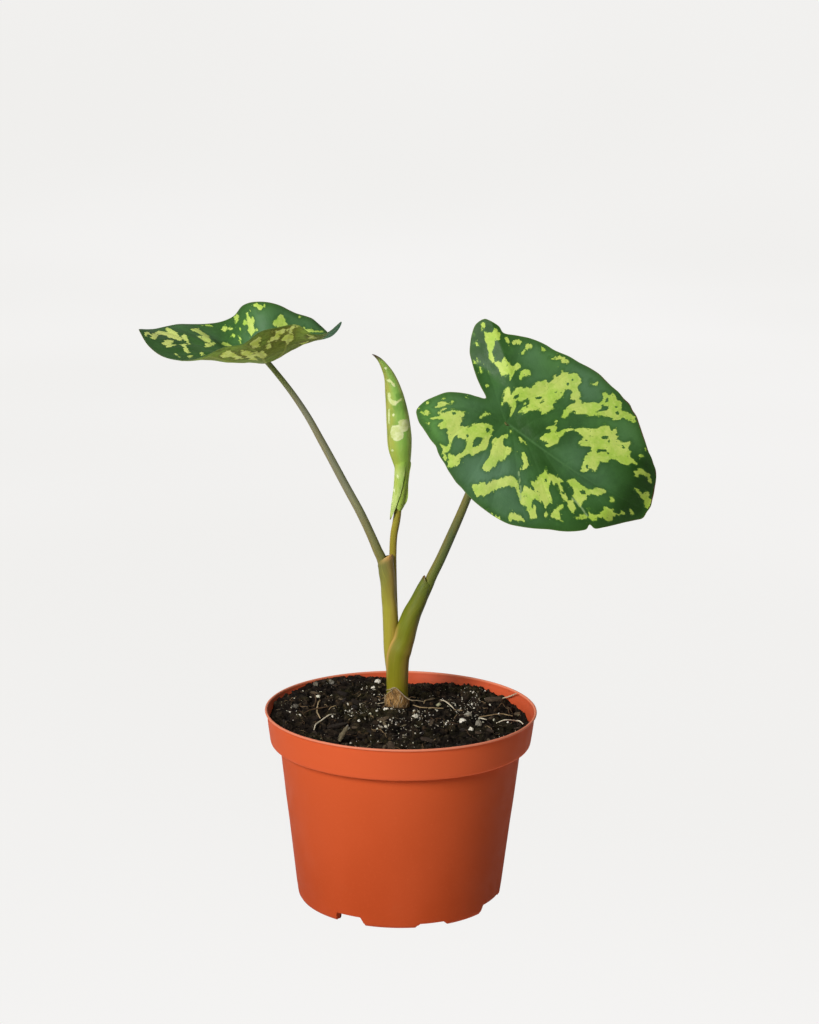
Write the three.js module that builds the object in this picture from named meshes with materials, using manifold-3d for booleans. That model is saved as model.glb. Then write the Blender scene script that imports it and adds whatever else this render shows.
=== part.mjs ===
// Potted alocasia: a nursery pot of potting soil with a young three-leaf plant.
// Millimetres, +Z up. Origin: centre of the pot's foot ring, on the surface it stands on.
// The viewer's front is -Y; +X is to the viewer's right.
import * as THREE from 'three';
import { mergeVertices } from 'three/addons/utils/BufferGeometryUtils.js';
import Module from 'manifold-3d';

// ---------- driving dimensions ----------
const POT_HEIGHT = 108.6;          // foot to lip
const LIP_RADIUS = 76.2;         // a 6-inch (152 mm) pot
const FOOT_RADIUS = 55.4;
const FOOT_RING_INNER = 52.8;
const FLOOR_UNDER = 5.6;         // the floor is raised above the foot ring
const FLOOR_TOP = 7.3;
// Drain notches round the foot: [degrees from the front towards +X, width, height]
const NOTCHES = [
  [-28.3, 16.5, 5.1], [19.0, 16.5, 2.6], [69.0, 30.0, 5.1], [106.7, 16.5, 5.1], [151.7, 16.5, 5.1],
  [196.7, 16.5, 5.1], [241.7, 16.5, 5.1],
];
const SLOT_WIDTH = 11;           // drain slots through the floor, behind the notches
const SLOT_INNER = 45.5;
const SLOT_OUTER = 51.0;
const GAP = 0.35;                // clearance between neighbouring solids
const BLADE_HALF = 0.42;         // half thickness of a leaf blade
const POT_SEGMENTS = 56;

// Pot wall, outer side from the foot up, then the lip, then the inner side down: [radius, z]
const POT_OUTER = [
  [FOOT_RADIUS, 0], [57.2, 1.6], [58.3, 8.9], [65.7, 71], [66.35, 76.4], [67.7, 88.6],
  [68.3, 89.5], [71.6, 89.7], [72.6, 90.3], [73.15, 91.6], [73.7, 95.0], [74.35, 99.2],
  [74.75, 103.0], [74.95, 107.3], [75.9, 107.45], [LIP_RADIUS, 107.9], [76.0, POT_HEIGHT],
];
const POT_INNER = [
  [73.7, POT_HEIGHT], [73.3, 106], [72.9, 101.8], [72.4, 98], [71.75, 94.3], [71.2, 92.6],
  [70.2, 91.6], [67.2, 91.4], [66.3, 90.2], [65.95, 87.5], [64.75, 76.6], [64.1, 71], [56.9, 10.4], [55.6, 8.0], [53.6, FLOOR_TOP],
];

// Leaf stalks, from the base up: [x, y, z, radius]
const RIGHT_STALK = [
  [-2.0, 18.8, 107.3, 6.12], [-2.2, 18.6, 113.6, 6.19], [-2.3, 18.1, 126.7, 6.32], [-1.6, 17.7, 133.9, 6.31],
  [-0.6, 17.5, 137.4, 6.36], [0.5, 17.4, 141.0, 6.08], [1.7, 17.1, 144.6, 5.79], [3.3, 16.5, 151.8, 5.64],
  [5.6, 15.9, 159.0, 5.21], [8.9, 15.1, 166.2, 4.64], [11.9, 14.3, 173.4, 4.15], [13.5, 14.0, 177.0, 3.79],
  [15.8, 13.6, 180.5, 2.94], [20.9, 12.4, 191.2, 2.74], [26.8, 10.7, 205.5, 2.56], [32.4, 8.8, 219.6, 2.33],
  [37.7, 6.9, 233.7, 2.16], [43.2, 4.5, 247.7, 1.98], [49.5, 2.4, 260.6, 1.81], [54.4, 0.8, 268.7, 1.7], [56.6, -0.6, 271.6, 1.65],
];
const LEFT_STALK = [
  [-3.0, 21.0, 107.3, 3.42], [-3.2, 20.8, 112.9, 3.53], [-4.1, 20.6, 121.2, 3.87], [-5.0, 20.3, 128.4, 4.14],
  [-5.7, 20.0, 136.7, 4.42], [-6.1, 19.4, 147.4, 4.38], [-6.9, 18.6, 161.6, 4.23], [-7.7, 18.1, 168.7, 4.11],
  [-8.0, 17.6, 175.8, 4.22], [-8.8, 17.0, 182.9, 4.49], [-9.7, 16.6, 188.7, 4.65], [-11.8, 16.2, 191.7, 3.22],
  [-13.6, 15.9, 194.6, 2.69], [-17.5, 15.1, 203.9, 2.46], [-24.0, 13.8, 217.9, 2.37], [-31.3, 12.4, 231.7, 2.28],
  [-38.5, 10.7, 245.6, 2.16], [-45.7, 9.0, 259.3, 1.99], [-53.1, 7.2, 273.0, 1.81], [-61.8, 5.2, 286.5, 1.64],
  [-70.7, 3.4, 298.3, 1.53], [-75.8, 2.0, 304.6, 1.53],
];
const CENTRE_STALK = [
  [-2.2, 22.0, 107.3, 1.71], [-2.5, 22.0, 125.6, 1.71], [-3.5, 22.0, 142.1, 1.81], [-4.2, 21.8, 157.3, 1.92],
  [-5.0, 21.4, 174.9, 1.97], [-5.4, 21.0, 185.4, 2.05], [-5.5, 20.8, 192.4, 2.05], [-5.1, 20.4, 202.9, 2.05],
  [-3.6, 19.9, 212.2, 2.1], [-2.6, 19.6, 220.9, 1.96],
];
// The rolled new leaf, from its basal end to its tip: [x, y, z, radius]
const FURLED = [
  [-4.6, 19.9, 213.4, 1.6], [-3.4, 19.6, 220.3, 4.05], [-1.8, 19.4, 227.2, 4.33], [-1.1, 19.2, 234.1, 3.77],
  [-0.6, 19.0, 241.0, 4.04], [-1.2, 18.8, 247.2, 5.43], [-2.1, 18.6, 254.1, 6.67], [-2.8, 18.2, 264.8, 6.8],
  [-4.0, 17.8, 275.0, 6.09], [-5.8, 17.4, 285.2, 4.84], [-8.3, 17.0, 294.1, 3.17], [-11.1, 16.8, 299.4, 2.09],
  [-13.9, 16.6, 303.3, 1.21], [-16.9, 16.4, 305.7, 0.44],
];

// Right blade: margin in the blade's own plane, polar about the stalk joint: [degrees from the apex, radius]
const RIGHT_OUTLINE = [
  [-179.5, 32.8], [-166.8, 42.9], [-160.7, 47.7], [-153.9, 51.3], [-146.3, 49.8], [-137.8, 46.2], [-128.0, 43.3],
  [-118.6, 43.9], [-108.7, 44.6], [-99.0, 46.2], [-88.6, 48.1], [-78.1, 51.0], [-66.7, 54.9], [-53.7, 58.7],
  [-45.9, 60.7], [-38.4, 63.2], [-29.7, 68.5], [-19.5, 73.8], [-11.6, 80.8], [-5.1, 87.6], [-1.6, 91.1], [3.3, 91.7],
  [8.6, 90.5], [14.8, 88.9], [21.3, 84.0], [28.3, 79.1], [36.0, 76.3], [44.5, 73.2], [54.9, 66.8], [67.8, 61.4],
  [80.6, 56.4], [96.0, 54.1], [105.6, 53.8], [114.3, 53.4], [121.9, 54.0], [124.3, 57.7], [131.7, 62.6], [137.1, 60.4],
  [141.5, 55.1], [148.2, 45.2], [153.0, 31.9], [160.5, 18.6], [169.1, 22.3],
];
const RIGHT_JOINT = new THREE.Vector3(56.5, -4.0, 271.7);
const RIGHT_S = new THREE.Vector3(0.8474, -0.0862, -0.5239);   // towards the apex
const RIGHT_T = new THREE.Vector3(0.4815, 0.5409, 0.6897);     // across
const RIGHT_BACK = new THREE.Vector3(0.0404, 0.9837, -0.1754); // away from the upper face

// Left blade: half outline of a flat leaf, [degrees from the apex, radius], same on both sides
const LEFT_HALF_OUTLINE = [
  [0, 79.5], [6, 77.4], [14, 72.4], [24, 66.0], [36, 59.7], [48, 54.2], [60, 49.5], [72, 45.0], [84, 41.7], [96, 40.0],
  [108, 39.1], [120, 39.2], [130, 41.1], [138, 43.9], [146, 46.9], [153, 44.3], [160, 37.0], [167, 28.8], [174, 21.1], [180, 16.3],
];
// Where points of that flat leaf lie in space: [along, across, x, y, z]
const LEFT_FORM = [
  [0.0, 0.0, -76.0, 1.7, 304.3], [79.5, 0.0, -144.2, 1.6, 320.9], [75.6, 10.6, -145.0, 12.7, 319.4],
  [66.3, 21.5, -138.0, 24.1, 318.1], [54.0, 31.2, -126.5, 33.3, 319.6], [42.2, 38.0, -115.5, 40.0, 318.8],
  [30.4, 41.9, -103.8, 42.6, 319.9], [21.0, 43.1, -95.8, 40.0, 323.8], [12.2, 42.7, -91.2, 34.8, 329.6],
  [4.4, 41.5, -85.4, 30.5, 332.6], [-4.2, 39.8, -76.9, 28.5, 333.1], [-12.1, 37.2, -69.0, 28.4, 331.2],
  [-21.0, 33.6, -60.6, 29.8, 327.0], [-30.3, 30.3, -51.5, 31.5, 323.8], [-38.9, 26.2, -43.9, 32.2, 317.2],
  [-36.9, 15.7, -42.9, 21.8, 314.4], [-25.1, 4.4, -53.0, 8.6, 313.5], [-16.3, 0.0, -61.0, 3.6, 310.6],
  [75.6, -10.6, -143.0, -9.6, 322.3], [66.3, -21.5, -137.5, -20.7, 316.3], [54.0, -31.2, -127.9, -30.0, 310.9],
  [42.2, -38.0, -116.4, -36.7, 310.0], [30.4, -41.9, -105.4, -39.8, 312.8], [19.2, -43.1, -94.8, -38.7, 317.7],
  [9.0, -42.2, -85.0, -36.6, 319.2], [0.0, -40.6, -77.7, -32.0, 324.5], [-10.2, -37.9, -66.5, -27.8, 327.0],
  [-19.6, -34.0, -55.2, -25.2, 323.9], [-29.5, -30.6, -43.5, -21.1, 322.9], [-38.9, -26.2, -35.5, -13.6, 327.4],
  [-36.9, -15.7, -39.6, -6.4, 319.9], [-25.1, -4.4, -52.2, 1.6, 314.6], [39.8, 0.0, -112.4, 1.5, 312.5],
  [32.1, 11.7, -105.8, 13.5, 313.6], [22.1, 18.5, -97.1, 20.7, 309.3], [12.4, 21.4, -87.9, 21.6, 312.9],
  [3.7, 21.0, -81.6, 17.5, 316.5], [-3.4, 19.5, -74.9, 15.8, 317.1], [-9.8, 17.0, -68.6, 16.1, 315.0],
  [-17.1, 14.3, -61.6, 16.7, 312.9], [-17.4, 6.3, -60.3, 9.7, 310.2], [32.1, -11.7, -105.8, -10.6, 310.2],
  [22.1, -18.5, -96.3, -17.5, 306.6], [12.4, -21.4, -86.6, -19.8, 308.3], [3.7, -21.0, -78.1, -18.1, 310.7],
  [-3.4, -19.5, -71.3, -15.7, 312.2], [-9.8, -17.0, -65.2, -12.5, 312.9], [-17.1, -14.3, -58.5, -9.0, 314.5],
  [-17.4, -6.3, -59.5, -1.9, 312.2], [14.0, 0.0, -89.2, 1.6, 306.1], [7.0, 12.1, -83.0, 13.1, 308.7],
  [-7.0, 12.1, -70.6, 12.5, 311.3], [-14.0, 0.0, -63.0, 3.2, 309.5], [7.0, -12.1, -81.6, -10.7, 306.3],
  [-7.0, -12.1, -68.1, -8.7, 309.8],
];

// Loose things on the soil
const PERLITE = [ // [x, y, radius]
  [-49.5, 45.5, 1.9], [-40.5, 51.0, 1.7], [-14.0, 58.0, 2.0], [38.0, 5.0, 1.8], [43.5, -11.0, 2.1],
  [-29.5, -28.0, 1.7], [21.5, 22.5, 1.6], [-59.5, 8.0, 1.8],
];
const BARK = [ // [x, y, length, width, thickness, turn in degrees]
  [-35.0, -22.0, 15, 5.0, 1.8, 48], [53.5, 34.0, 11, 5.5, 2.6, 20], [15.0, -40.0, 9, 4.2, 1.6, -30],
];
const ROOTLETS = [ // each a path of [x, y, height above the soil]
  [[-50.0, 33.0, 0.2], [-49.0, 25.0, 0.5], [-48.5, 17.0, 0.2], [-49.0, 9.0, 0.1]],
  [[-37.5, 10.5, 0.1], [-44.0, 5.5, 0.6], [-50.5, 1.5, 0.4], [-55.0, -5.0, 0.1]],
  [[44.0, 0.5, 0.1], [51.0, 3.0, 0.8], [57.5, 6.5, 0.5], [63.0, 4.5, 0.2]],
  [[6.8, 15.0, 0.2], [11.0, 11.0, 0.8], [17.5, 11.5, 0.5], [24.0, 13.0, 0.1]],
];
const ROOTLET_RADIUS = 0.6;

// ---------- materials ----------
const skin = (color, roughness) => new THREE.MeshStandardMaterial({ color, roughness, metalness: 0 });
const TERRACOTTA = skin(0xcf5935, 0.5);
const SOIL = skin(0x2a1f1a, 0.95);
const STALK_YELLOW = skin(0x9a9440, 0.5);
const STALK_GREEN = skin(0x76832f, 0.5);
const LEAF = skin(0x2f6a2f, 0.42);
const NEW_LEAF = skin(0x86b85a, 0.45);
const HUSK = skin(0xa4743f, 0.8);
const CORM = skin(0x6f4a2b, 0.85);
const WHITE = skin(0xe9e4d8, 0.9);
const BARK_SKIN = skin(0x5d5a48, 0.9);
const ROOT_SKIN = skin(0xb99a62, 0.8);

// ---------- helpers ----------
const wasm = await Module();
wasm.setup();

// One closed indexed body: shared vertices merged, slivers of zero area dropped, faces outward
function closed(geometry, move) {
  geometry.deleteAttribute('normal');
  geometry.deleteAttribute('uv');
  let g = mergeVertices(geometry, 1e-3);
  if (move) {
    const p = g.attributes.position;
    const v = new THREE.Vector3();
    for (let i = 0; i < p.count; i++) {
      v.fromBufferAttribute(p, i);
      move(v);
      p.setXYZ(i, v.x, v.y, v.z);
    }
  }
  const ix = g.index.array;
  const keep = [];
  for (let i = 0; i < ix.length; i += 3) {
    const [a, b, c] = [ix[i], ix[i + 1], ix[i + 2]];
    if (a !== b && b !== c && a !== c) keep.push(a, b, c);
  }
  const p = g.attributes.position;
  const A = new THREE.Vector3(), B = new THREE.Vector3(), C = new THREE.Vector3();
  let volume = 0;
  for (let i = 0; i < keep.length; i += 3) {
    A.fromBufferAttribute(p, keep[i]);
    B.fromBufferAttribute(p, keep[i + 1]);
    C.fromBufferAttribute(p, keep[i + 2]);
    volume += A.dot(B.cross(C));
  }
  if (volume < 0) for (let i = 0; i < keep.length; i += 3) [keep[i + 1], keep[i + 2]] = [keep[i + 2], keep[i + 1]];
  g.setIndex(keep);
  return g;
}
function toSolid(g) {
  return new wasm.Manifold(new wasm.Mesh({
    numProp: 3,
    vertProperties: new Float32Array(g.attributes.position.array),
    triVerts: new Uint32Array(g.index.array),
  }));
}
// Back to a geometry, keeping the one main body and leaving out loose slivers of a cut
function fromSolid(s) {
  const m = s.getMesh();
  const n = m.numProp;
  const count = m.vertProperties.length / n;
  const xyz = new Float32Array(count * 3);
  for (let i = 0; i < count; i++) for (let k = 0; k < 3; k++) xyz[3 * i + k] = m.vertProperties[n * i + k];
  const root = Array.from({ length: count }, (_, i) => i);
  const find = (i) => { while (root[i] !== i) { root[i] = root[root[i]]; i = root[i]; } return i; };
  const t = m.triVerts;
  for (let i = 0; i < t.length; i += 3) {
    root[find(t[i + 1])] = find(t[i]);
    root[find(t[i + 2])] = find(t[i]);
  }
  const volumes = new Map();
  const A = new THREE.Vector3(), B = new THREE.Vector3(), C = new THREE.Vector3();
  for (let i = 0; i < t.length; i += 3) {
    A.fromArray(xyz, 3 * t[i]);
    B.fromArray(xyz, 3 * t[i + 1]);
    C.fromArray(xyz, 3 * t[i + 2]);
    const r = find(t[i]);
    volumes.set(r, (volumes.get(r) || 0) + A.dot(B.cross(C)) / 6);
  }
  const main = [...volumes.entries()].sort((a, b) => b[1] - a[1])[0][0];
  const kept = [];
  for (let i = 0; i < t.length; i += 3) if (find(t[i]) === main) kept.push(t[i], t[i + 1], t[i + 2]);
  const seen = new Map();
  const points = [];
  const index = kept.map((i) => {
    if (!seen.has(i)) {
      seen.set(i, seen.size);
      points.push(xyz[3 * i], xyz[3 * i + 1], xyz[3 * i + 2]);
    }
    return seen.get(i);
  });
  const g = new THREE.BufferGeometry();
  g.setAttribute('position', new THREE.BufferAttribute(new Float32Array(points), 3));
  g.setIndex(index);
  return g;
}

// A round stalk of changing radius along a smooth line of [x, y, z, radius] rows
function stalkGeometry(rows, sides, steps, grow = 0, extend = 0) {
  const pts = rows.map((r) => new THREE.Vector3(r[0], r[1], r[2]));
  const curve = new THREE.CatmullRomCurve3(pts, false, 'centripetal');
  const spans = pts.length - 1;
  const g = new THREE.CylinderGeometry(1, 1, 1, sides, steps, false);
  const tangent = new THREE.Vector3(), side = new THREE.Vector3(), other = new THREE.Vector3(), c = new THREE.Vector3();
  return closed(g, (v) => {
    const f = Math.min(1, Math.max(0, v.y + 0.5));
    const u = f * spans;
    const i = Math.min(spans - 1, Math.floor(u));
    const w = u - i;
    const radius = rows[i][3] * (1 - w) + rows[i + 1][3] * w + grow;
    curve.getPoint(f, c);
    curve.getTangent(Math.min(0.9999, Math.max(0.0001, f)), tangent);
    side.set(1, 0, 0).addScaledVector(tangent, -tangent.x).normalize();
    other.crossVectors(tangent, side);
    const cap = f < 1e-6 ? -extend : f > 1 - 1e-6 ? extend : 0;
    const [x, y] = [v.x * radius, v.z * radius];
    v.copy(c).addScaledVector(side, x).addScaledVector(other, y).addScaledVector(tangent, cap);
  });
}

// A leaf blade: a thin closed sheet, polar about the stalk joint
const RINGS = [0, 0.14, 0.32, 0.52, 0.7, 0.87, 1];
function bladeGeometry(outline, surface, up, down) {
  const n = outline.length;
  const profile = [];
  RINGS.forEach((r, i) => profile.push(new THREE.Vector2(i ? r * 10 : 0, 1)));
  [...RINGS].reverse().forEach((r, i) => profile.push(new THREE.Vector2(r ? r * 10 : 0, -1)));
  const g = new THREE.LatheGeometry(profile, n);
  const at = (s, t) => surface(s, t);
  const P = new THREE.Vector3(), Q = new THREE.Vector3(), N = new THREE.Vector3();
  return closed(g, (v) => {
    const r = Math.hypot(v.x, v.z) / 10;
    let i = Math.round(Math.atan2(v.x, v.z) / (2 * Math.PI) * n);
    i = ((i % n) + n) % n;
    const [deg, R] = outline[i];
    const a = deg * Math.PI / 180;
    const s = r * R * Math.cos(a), t = r * R * Math.sin(a);
    P.copy(at(s + 0.5, t)).sub(at(s - 0.5, t));
    Q.copy(at(s, t + 0.5)).sub(at(s, t - 0.5));
    N.crossVectors(P, Q).normalize();
    const top = v.y > 0;
    v.copy(at(s, t)).addScaledVector(N, (top ? up : -down) * surface.face);
  });
}

// Right blade surface: nearly flat, margin drooping back, a shallow funnel at the joint,
// the inner strip of the upper lobe folded back
const smooth = (a, b, x) => { const q = Math.min(1, Math.max(0, (x - a) / (b - a))); return q * q * (3 - 2 * q); };
function rightSurface(s, t) {
  const r = Math.hypot(s, t);
  let back = 2.6 * Math.exp(-((r / 11) ** 2));
  back += 5.0 * (Math.min(r, 90) / 70) ** 3;
  back += 1.0 * Math.exp(-((t / 3.5) ** 2)) * smooth(0, 12, s) * (1 - smooth(60, 88, s));
  back += 6.0 * smooth(70, 92, s);
  back += 0.55 * Math.max(0, (-s - 1.16 * t + 18.0) * 0.65) * smooth(6, 22, t) * smooth(5, 20, -s);
  return RIGHT_JOINT.clone().addScaledVector(RIGHT_S, s).addScaledVector(RIGHT_T, t).addScaledVector(RIGHT_BACK, back);
}
rightSurface.face = 1;

// Left blade surface: a thin-plate surface through the rows of LEFT_FORM
function thinPlate(rows) {
  const m = rows.length, n = m + 3;
  const phi = (a, b, c, d) => { const q = Math.max(1e-12, ((a - c) ** 2 + (b - d) ** 2) / 1600); return 0.5 * q * Math.log(q); };
  const M = Array.from({ length: n }, () => new Array(n + 3).fill(0));
  rows.forEach((ri, i) => {
    rows.forEach((rj, j) => { M[i][j] = phi(ri[0], ri[1], rj[0], rj[1]); });
    const tail = [1, ri[0] / 40, ri[1] / 40];
    tail.forEach((x, k) => { M[i][m + k] = x; M[m + k][i] = x; });
    for (let k = 0; k < 3; k++) M[i][n + k] = ri[2 + k];
  });
  for (let c = 0; c < n; c++) {
    let best = c;
    for (let r = c + 1; r < n; r++) if (Math.abs(M[r][c]) > Math.abs(M[best][c])) best = r;
    [M[c], M[best]] = [M[best], M[c]];
    for (let r = 0; r < n; r++) {
      if (r === c) continue;
      const q = M[r][c] / M[c][c];
      if (q) for (let k = c; k < n + 3; k++) M[r][k] -= q * M[c][k];
    }
  }
  const W = M.map((row, i) => [0, 1, 2].map((k) => row[n + k] / row[i]));
  return (s, t) => {
    const out = [0, 0, 0];
    rows.forEach((r, i) => { const q = phi(s, t, r[0], r[1]); for (let k = 0; k < 3; k++) out[k] += q * W[i][k]; });
    [1, s / 40, t / 40].forEach((q, j) => { for (let k = 0; k < 3; k++) out[k] += q * W[m + j][k]; });
    return new THREE.Vector3(...out);
  };
}
const leftSurface = thinPlate(LEFT_FORM);
leftSurface.face = -1;
const LEFT_OUTLINE = [
  ...LEFT_HALF_OUTLINE,
  ...LEFT_HALF_OUTLINE.slice(1, -1).reverse().map(([a, r]) => [-a, r]),
];

// Height of the soil's top
const hump = (x, y, cx, cy, w) => Math.exp(-((x - cx) ** 2 + (y - cy) ** 2) / (w * w));
function soilTop(x, y) {
  let z = 103.5 - 0.026 * x + 0.016 * y;
  z += 2.0 * hump(x, y, -38, 52, 28) - 1.6 * hump(x, y, 14, 66, 16) + 0.9 * hump(x, y, 46, 50, 15);
  z += 1.7 * hump(x, y, -2, 19, 17) - 0.6 * hump(x, y, 5, -52, 26);
  z += 0.28 * Math.sin(0.31 * x + 1.3) * Math.sin(0.27 * y - 0.6) + 0.22 * Math.sin(0.19 * x - 0.23 * y);
  return Math.min(z, 107.3);
}
const innerRadius = (z) => {
  const rows = [...POT_INNER].reverse();
  for (let i = 1; i < rows.length; i++) {
    if (z <= rows[i][1]) {
      const w = (z - rows[i - 1][1]) / (rows[i][1] - rows[i - 1][1]);
      return rows[i - 1][0] + w * (rows[i][0] - rows[i - 1][0]);
    }
  }
  return rows[rows.length - 1][0];
};

// ---------- pot ----------
const lathe = (rows, segments) => new THREE.LatheGeometry(rows.map(([r, z]) => new THREE.Vector2(r, z)), segments).rotateX(Math.PI / 2);
let potSolid = toSolid(closed(lathe([
  [0, FLOOR_UNDER], [51.4, FLOOR_UNDER], [52.2, 4.2], [FOOT_RING_INNER, 0], ...POT_OUTER, ...POT_INNER, [0, FLOOR_TOP],
], POT_SEGMENTS)));
for (const [degrees, width, height] of NOTCHES) {
  const turn = degrees * Math.PI / 180;
  const place = (w, r0, r1, z0, z1) => {
    const g = new THREE.BoxGeometry(w, r1 - r0, z1 - z0).translate(0, -(r0 + r1) / 2, (z0 + z1) / 2).rotateZ(turn);
    return toSolid(closed(g));
  };
  potSolid = potSolid.subtract(place(width, 49.0, 62.0, -2, height));
  potSolid = potSolid.subtract(place(SLOT_WIDTH, SLOT_INNER, SLOT_OUTER, 3, 8));
}
const potGeometry = fromSolid(potSolid);

// ---------- stem base ----------
const CORM_PROFILE = [[0, 84], [3.2, 85], [5.6, 89], [7.0, 95], [7.3, 100.5], [7.0, 104.5], [6.6, 106.2], [5.6, 106.9], [0, 106.95]];
const BASE = [-2.1, 18.9];
const cormGeometry = closed(lathe(CORM_PROFILE, 18).translate(BASE[0], BASE[1], 0));
const cormPocket = toSolid(closed(lathe([[0, 83.4], [3.6, 84.4], [6.1, 88.7], [7.5, 94.9], [7.9, 100.5], [7.9, 112], [0, 112]], 18).translate(BASE[0], BASE[1], 0)));

// ---------- soil ----------
const SOIL_RINGS = [1, 0.86, 0.7, 0.54, 0.38, 0.24, 0.12];
const soilProfile = [
  [0, FLOOR_TOP + GAP], [53.1, FLOOR_TOP + GAP], [55.0, 8.6], [56.45, 10.7], [63.7, 71.1], [64.35, 76.7], [65.55, 87.6],
  [65.85, 90.5], [66.95, 91.85], [70.0, 92.05], [70.75, 92.95], [71.3, 94.5], [71.95, 98.1], [72.4, 101], ...SOIL_RINGS.map((r) => [r * 72.6, 200]), [0, 200],
];
const soilGeometryFull = closed(lathe(soilProfile, 48), (v) => {
  if (v.z < 150) return;
  const r = Math.hypot(v.x, v.y);
  v.z = soilTop(v.x, v.y);
  if (r > 72) {
    const k = (innerRadius(v.z) - GAP - 0.05) / r;
    v.x *= k;
    v.y *= k;
  }
});
const soilFullSolid = toSolid(soilGeometryFull);
const soilGeometry = fromSolid(soilFullSolid.subtract(cormPocket));

// ---------- stalks ----------
const bladeRight = bladeGeometry(RIGHT_OUTLINE, rightSurface, BLADE_HALF, BLADE_HALF);
const bladeLeft = bladeGeometry(LEFT_OUTLINE, leftSurface, BLADE_HALF, BLADE_HALF);
const rightCutter = toSolid(bladeGeometry(RIGHT_OUTLINE, rightSurface, 6, BLADE_HALF + GAP));
const leftCutter = toSolid(bladeGeometry(LEFT_OUTLINE, leftSurface, 5, BLADE_HALF + GAP));

const centreGeometry = stalkGeometry(CENTRE_STALK, 9, 16);
const centreGrown = toSolid(stalkGeometry(CENTRE_STALK, 9, 16, GAP, 1.0));
const leftSolid = toSolid(stalkGeometry(LEFT_STALK, 10, 32)).subtract(centreGrown).subtract(leftCutter);
const leftGrown = toSolid(stalkGeometry(LEFT_STALK, 10, 32, GAP, 1.0)).add(centreGrown);
const rightSolid = toSolid(stalkGeometry(RIGHT_STALK, 12, 30)).subtract(leftGrown).subtract(rightCutter);

// ---------- rolled new leaf ----------
const furledSolid = toSolid(stalkGeometry(FURLED, 12, 26)).subtract(centreGrown);

// ---------- papery husk round the front of the stem base ----------
const huskGeometry = closed(new THREE.BoxGeometry(1, 1, 1, 12, 3, 1), (v) => {
  const a = v.x * 2.5;                       // angle from the front
  const top = 110.2 + 6.5 * Math.cos(Math.min(Math.abs(a), 1.2) / 1.2 * Math.PI / 2);
  const z = 107.0 + (v.y + 0.5) * (top - 107.0);
  const r = (v.z > 0 ? 7.35 : 6.8) + 0.25 * (v.y + 0.5);
  v.set(BASE[0] + r * Math.sin(a), BASE[1] - r * Math.cos(a), z);
});

// ---------- loose things on the soil ----------
const soilLid = soilFullSolid.translate([0, 0, GAP]);
const perliteGeometries = PERLITE.map(([x, y, r], k) => {
  const g = closed(new THREE.IcosahedronGeometry(r, 1), (v) => {
    const q = 1 + 0.14 * Math.sin(2.1 * v.x + k) * Math.cos(1.7 * v.y - k) + 0.08 * Math.sin(3.1 * v.z + 2 * k);
    v.multiplyScalar(q);
    v.z *= 0.85;
    v.add(new THREE.Vector3(x, y, soilTop(x, y) + 0.35 * r + GAP));
  });
  return fromSolid(toSolid(g).subtract(soilLid));
});
const barkGeometries = BARK.map(([x, y, l, w, h, deg], k) => {
  const shape = new THREE.Shape([
    new THREE.Vector2(-l / 2, -w * 0.28), new THREE.Vector2(-l * 0.2, -w / 2), new THREE.Vector2(l * 0.32, -w * 0.44),
    new THREE.Vector2(l / 2, -w * 0.1), new THREE.Vector2(l * 0.38, w * 0.36), new THREE.Vector2(-l * 0.1, w / 2), new THREE.Vector2(-l * 0.44, w * 0.24),
  ]);
  const g = new THREE.ExtrudeGeometry(shape, { depth: h, bevelEnabled: false });
  g.rotateY(0.05 * (k + 1)).rotateZ(deg * Math.PI / 180).translate(x, y, soilTop(x, y) - h * 0.25 + GAP);
  return fromSolid(toSolid(closed(g)).subtract(soilLid));
});
const rootletGeometries = ROOTLETS.map((rows) => {
  const pts = rows.map(([x, y, up]) => new THREE.Vector3(x, y, soilTop(x, y) + up + ROOTLET_RADIUS + GAP + 0.35));
  const path = new THREE.CatmullRomCurve3(pts, false, 'centripetal');
  const section = new THREE.Shape();
  for (let i = 0; i < 6; i++) {
    const a = i / 6 * 2 * Math.PI;
    const [cx, cy] = [ROOTLET_RADIUS * Math.cos(a), ROOTLET_RADIUS * Math.sin(a)];
    if (i) section.lineTo(cx, cy); else section.moveTo(cx, cy);
  }
  section.closePath();
  return closed(new THREE.ExtrudeGeometry(section, { steps: 12, extrudePath: path, bevelEnabled: false }));
});

// ---------- the assembly ----------
const plant = new THREE.Group();
const put = (name, geometry, material) => {
  const mesh = new THREE.Mesh(geometry, material);
  mesh.name = name;
  plant.add(mesh);
};
put('pot', potGeometry, TERRACOTTA);
put('potting_soil', soilGeometry, SOIL);
put('corm', cormGeometry, CORM);
put('husk', huskGeometry, HUSK);
put('petiole_right', fromSolid(rightSolid), STALK_GREEN);
put('petiole_left', fromSolid(leftSolid), STALK_YELLOW);
put('petiole_centre', centreGeometry, STALK_YELLOW);
put('blade_right', bladeRight, LEAF);
put('blade_left', bladeLeft, LEAF);
put('furled_leaf', fromSolid(furledSolid), NEW_LEAF);
rootletGeometries.forEach((g, i) => put(`rootlet_${i + 1}`, g, ROOT_SKIN));
perliteGeometries.forEach((g, i) => put(`perlite_${i + 1}`, g, WHITE));
barkGeometries.forEach((g, i) => put(`bark_chip_${i + 1}`, g, BARK_SKIN));

export default plant;
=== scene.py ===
"""Looks for a potted alocasia: pot, soil, stalks, two open leaves and a rolled new leaf.

Tables are in millimetres in the model's frame. Leaf tables are millimetres along (s) and
across (t) the blade, measured from the joint with its stalk.
"""
import math

import bpy
import numpy as np
from mathutils import Matrix, Vector
from mathutils.geometry import delaunay_2d_cdt


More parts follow.
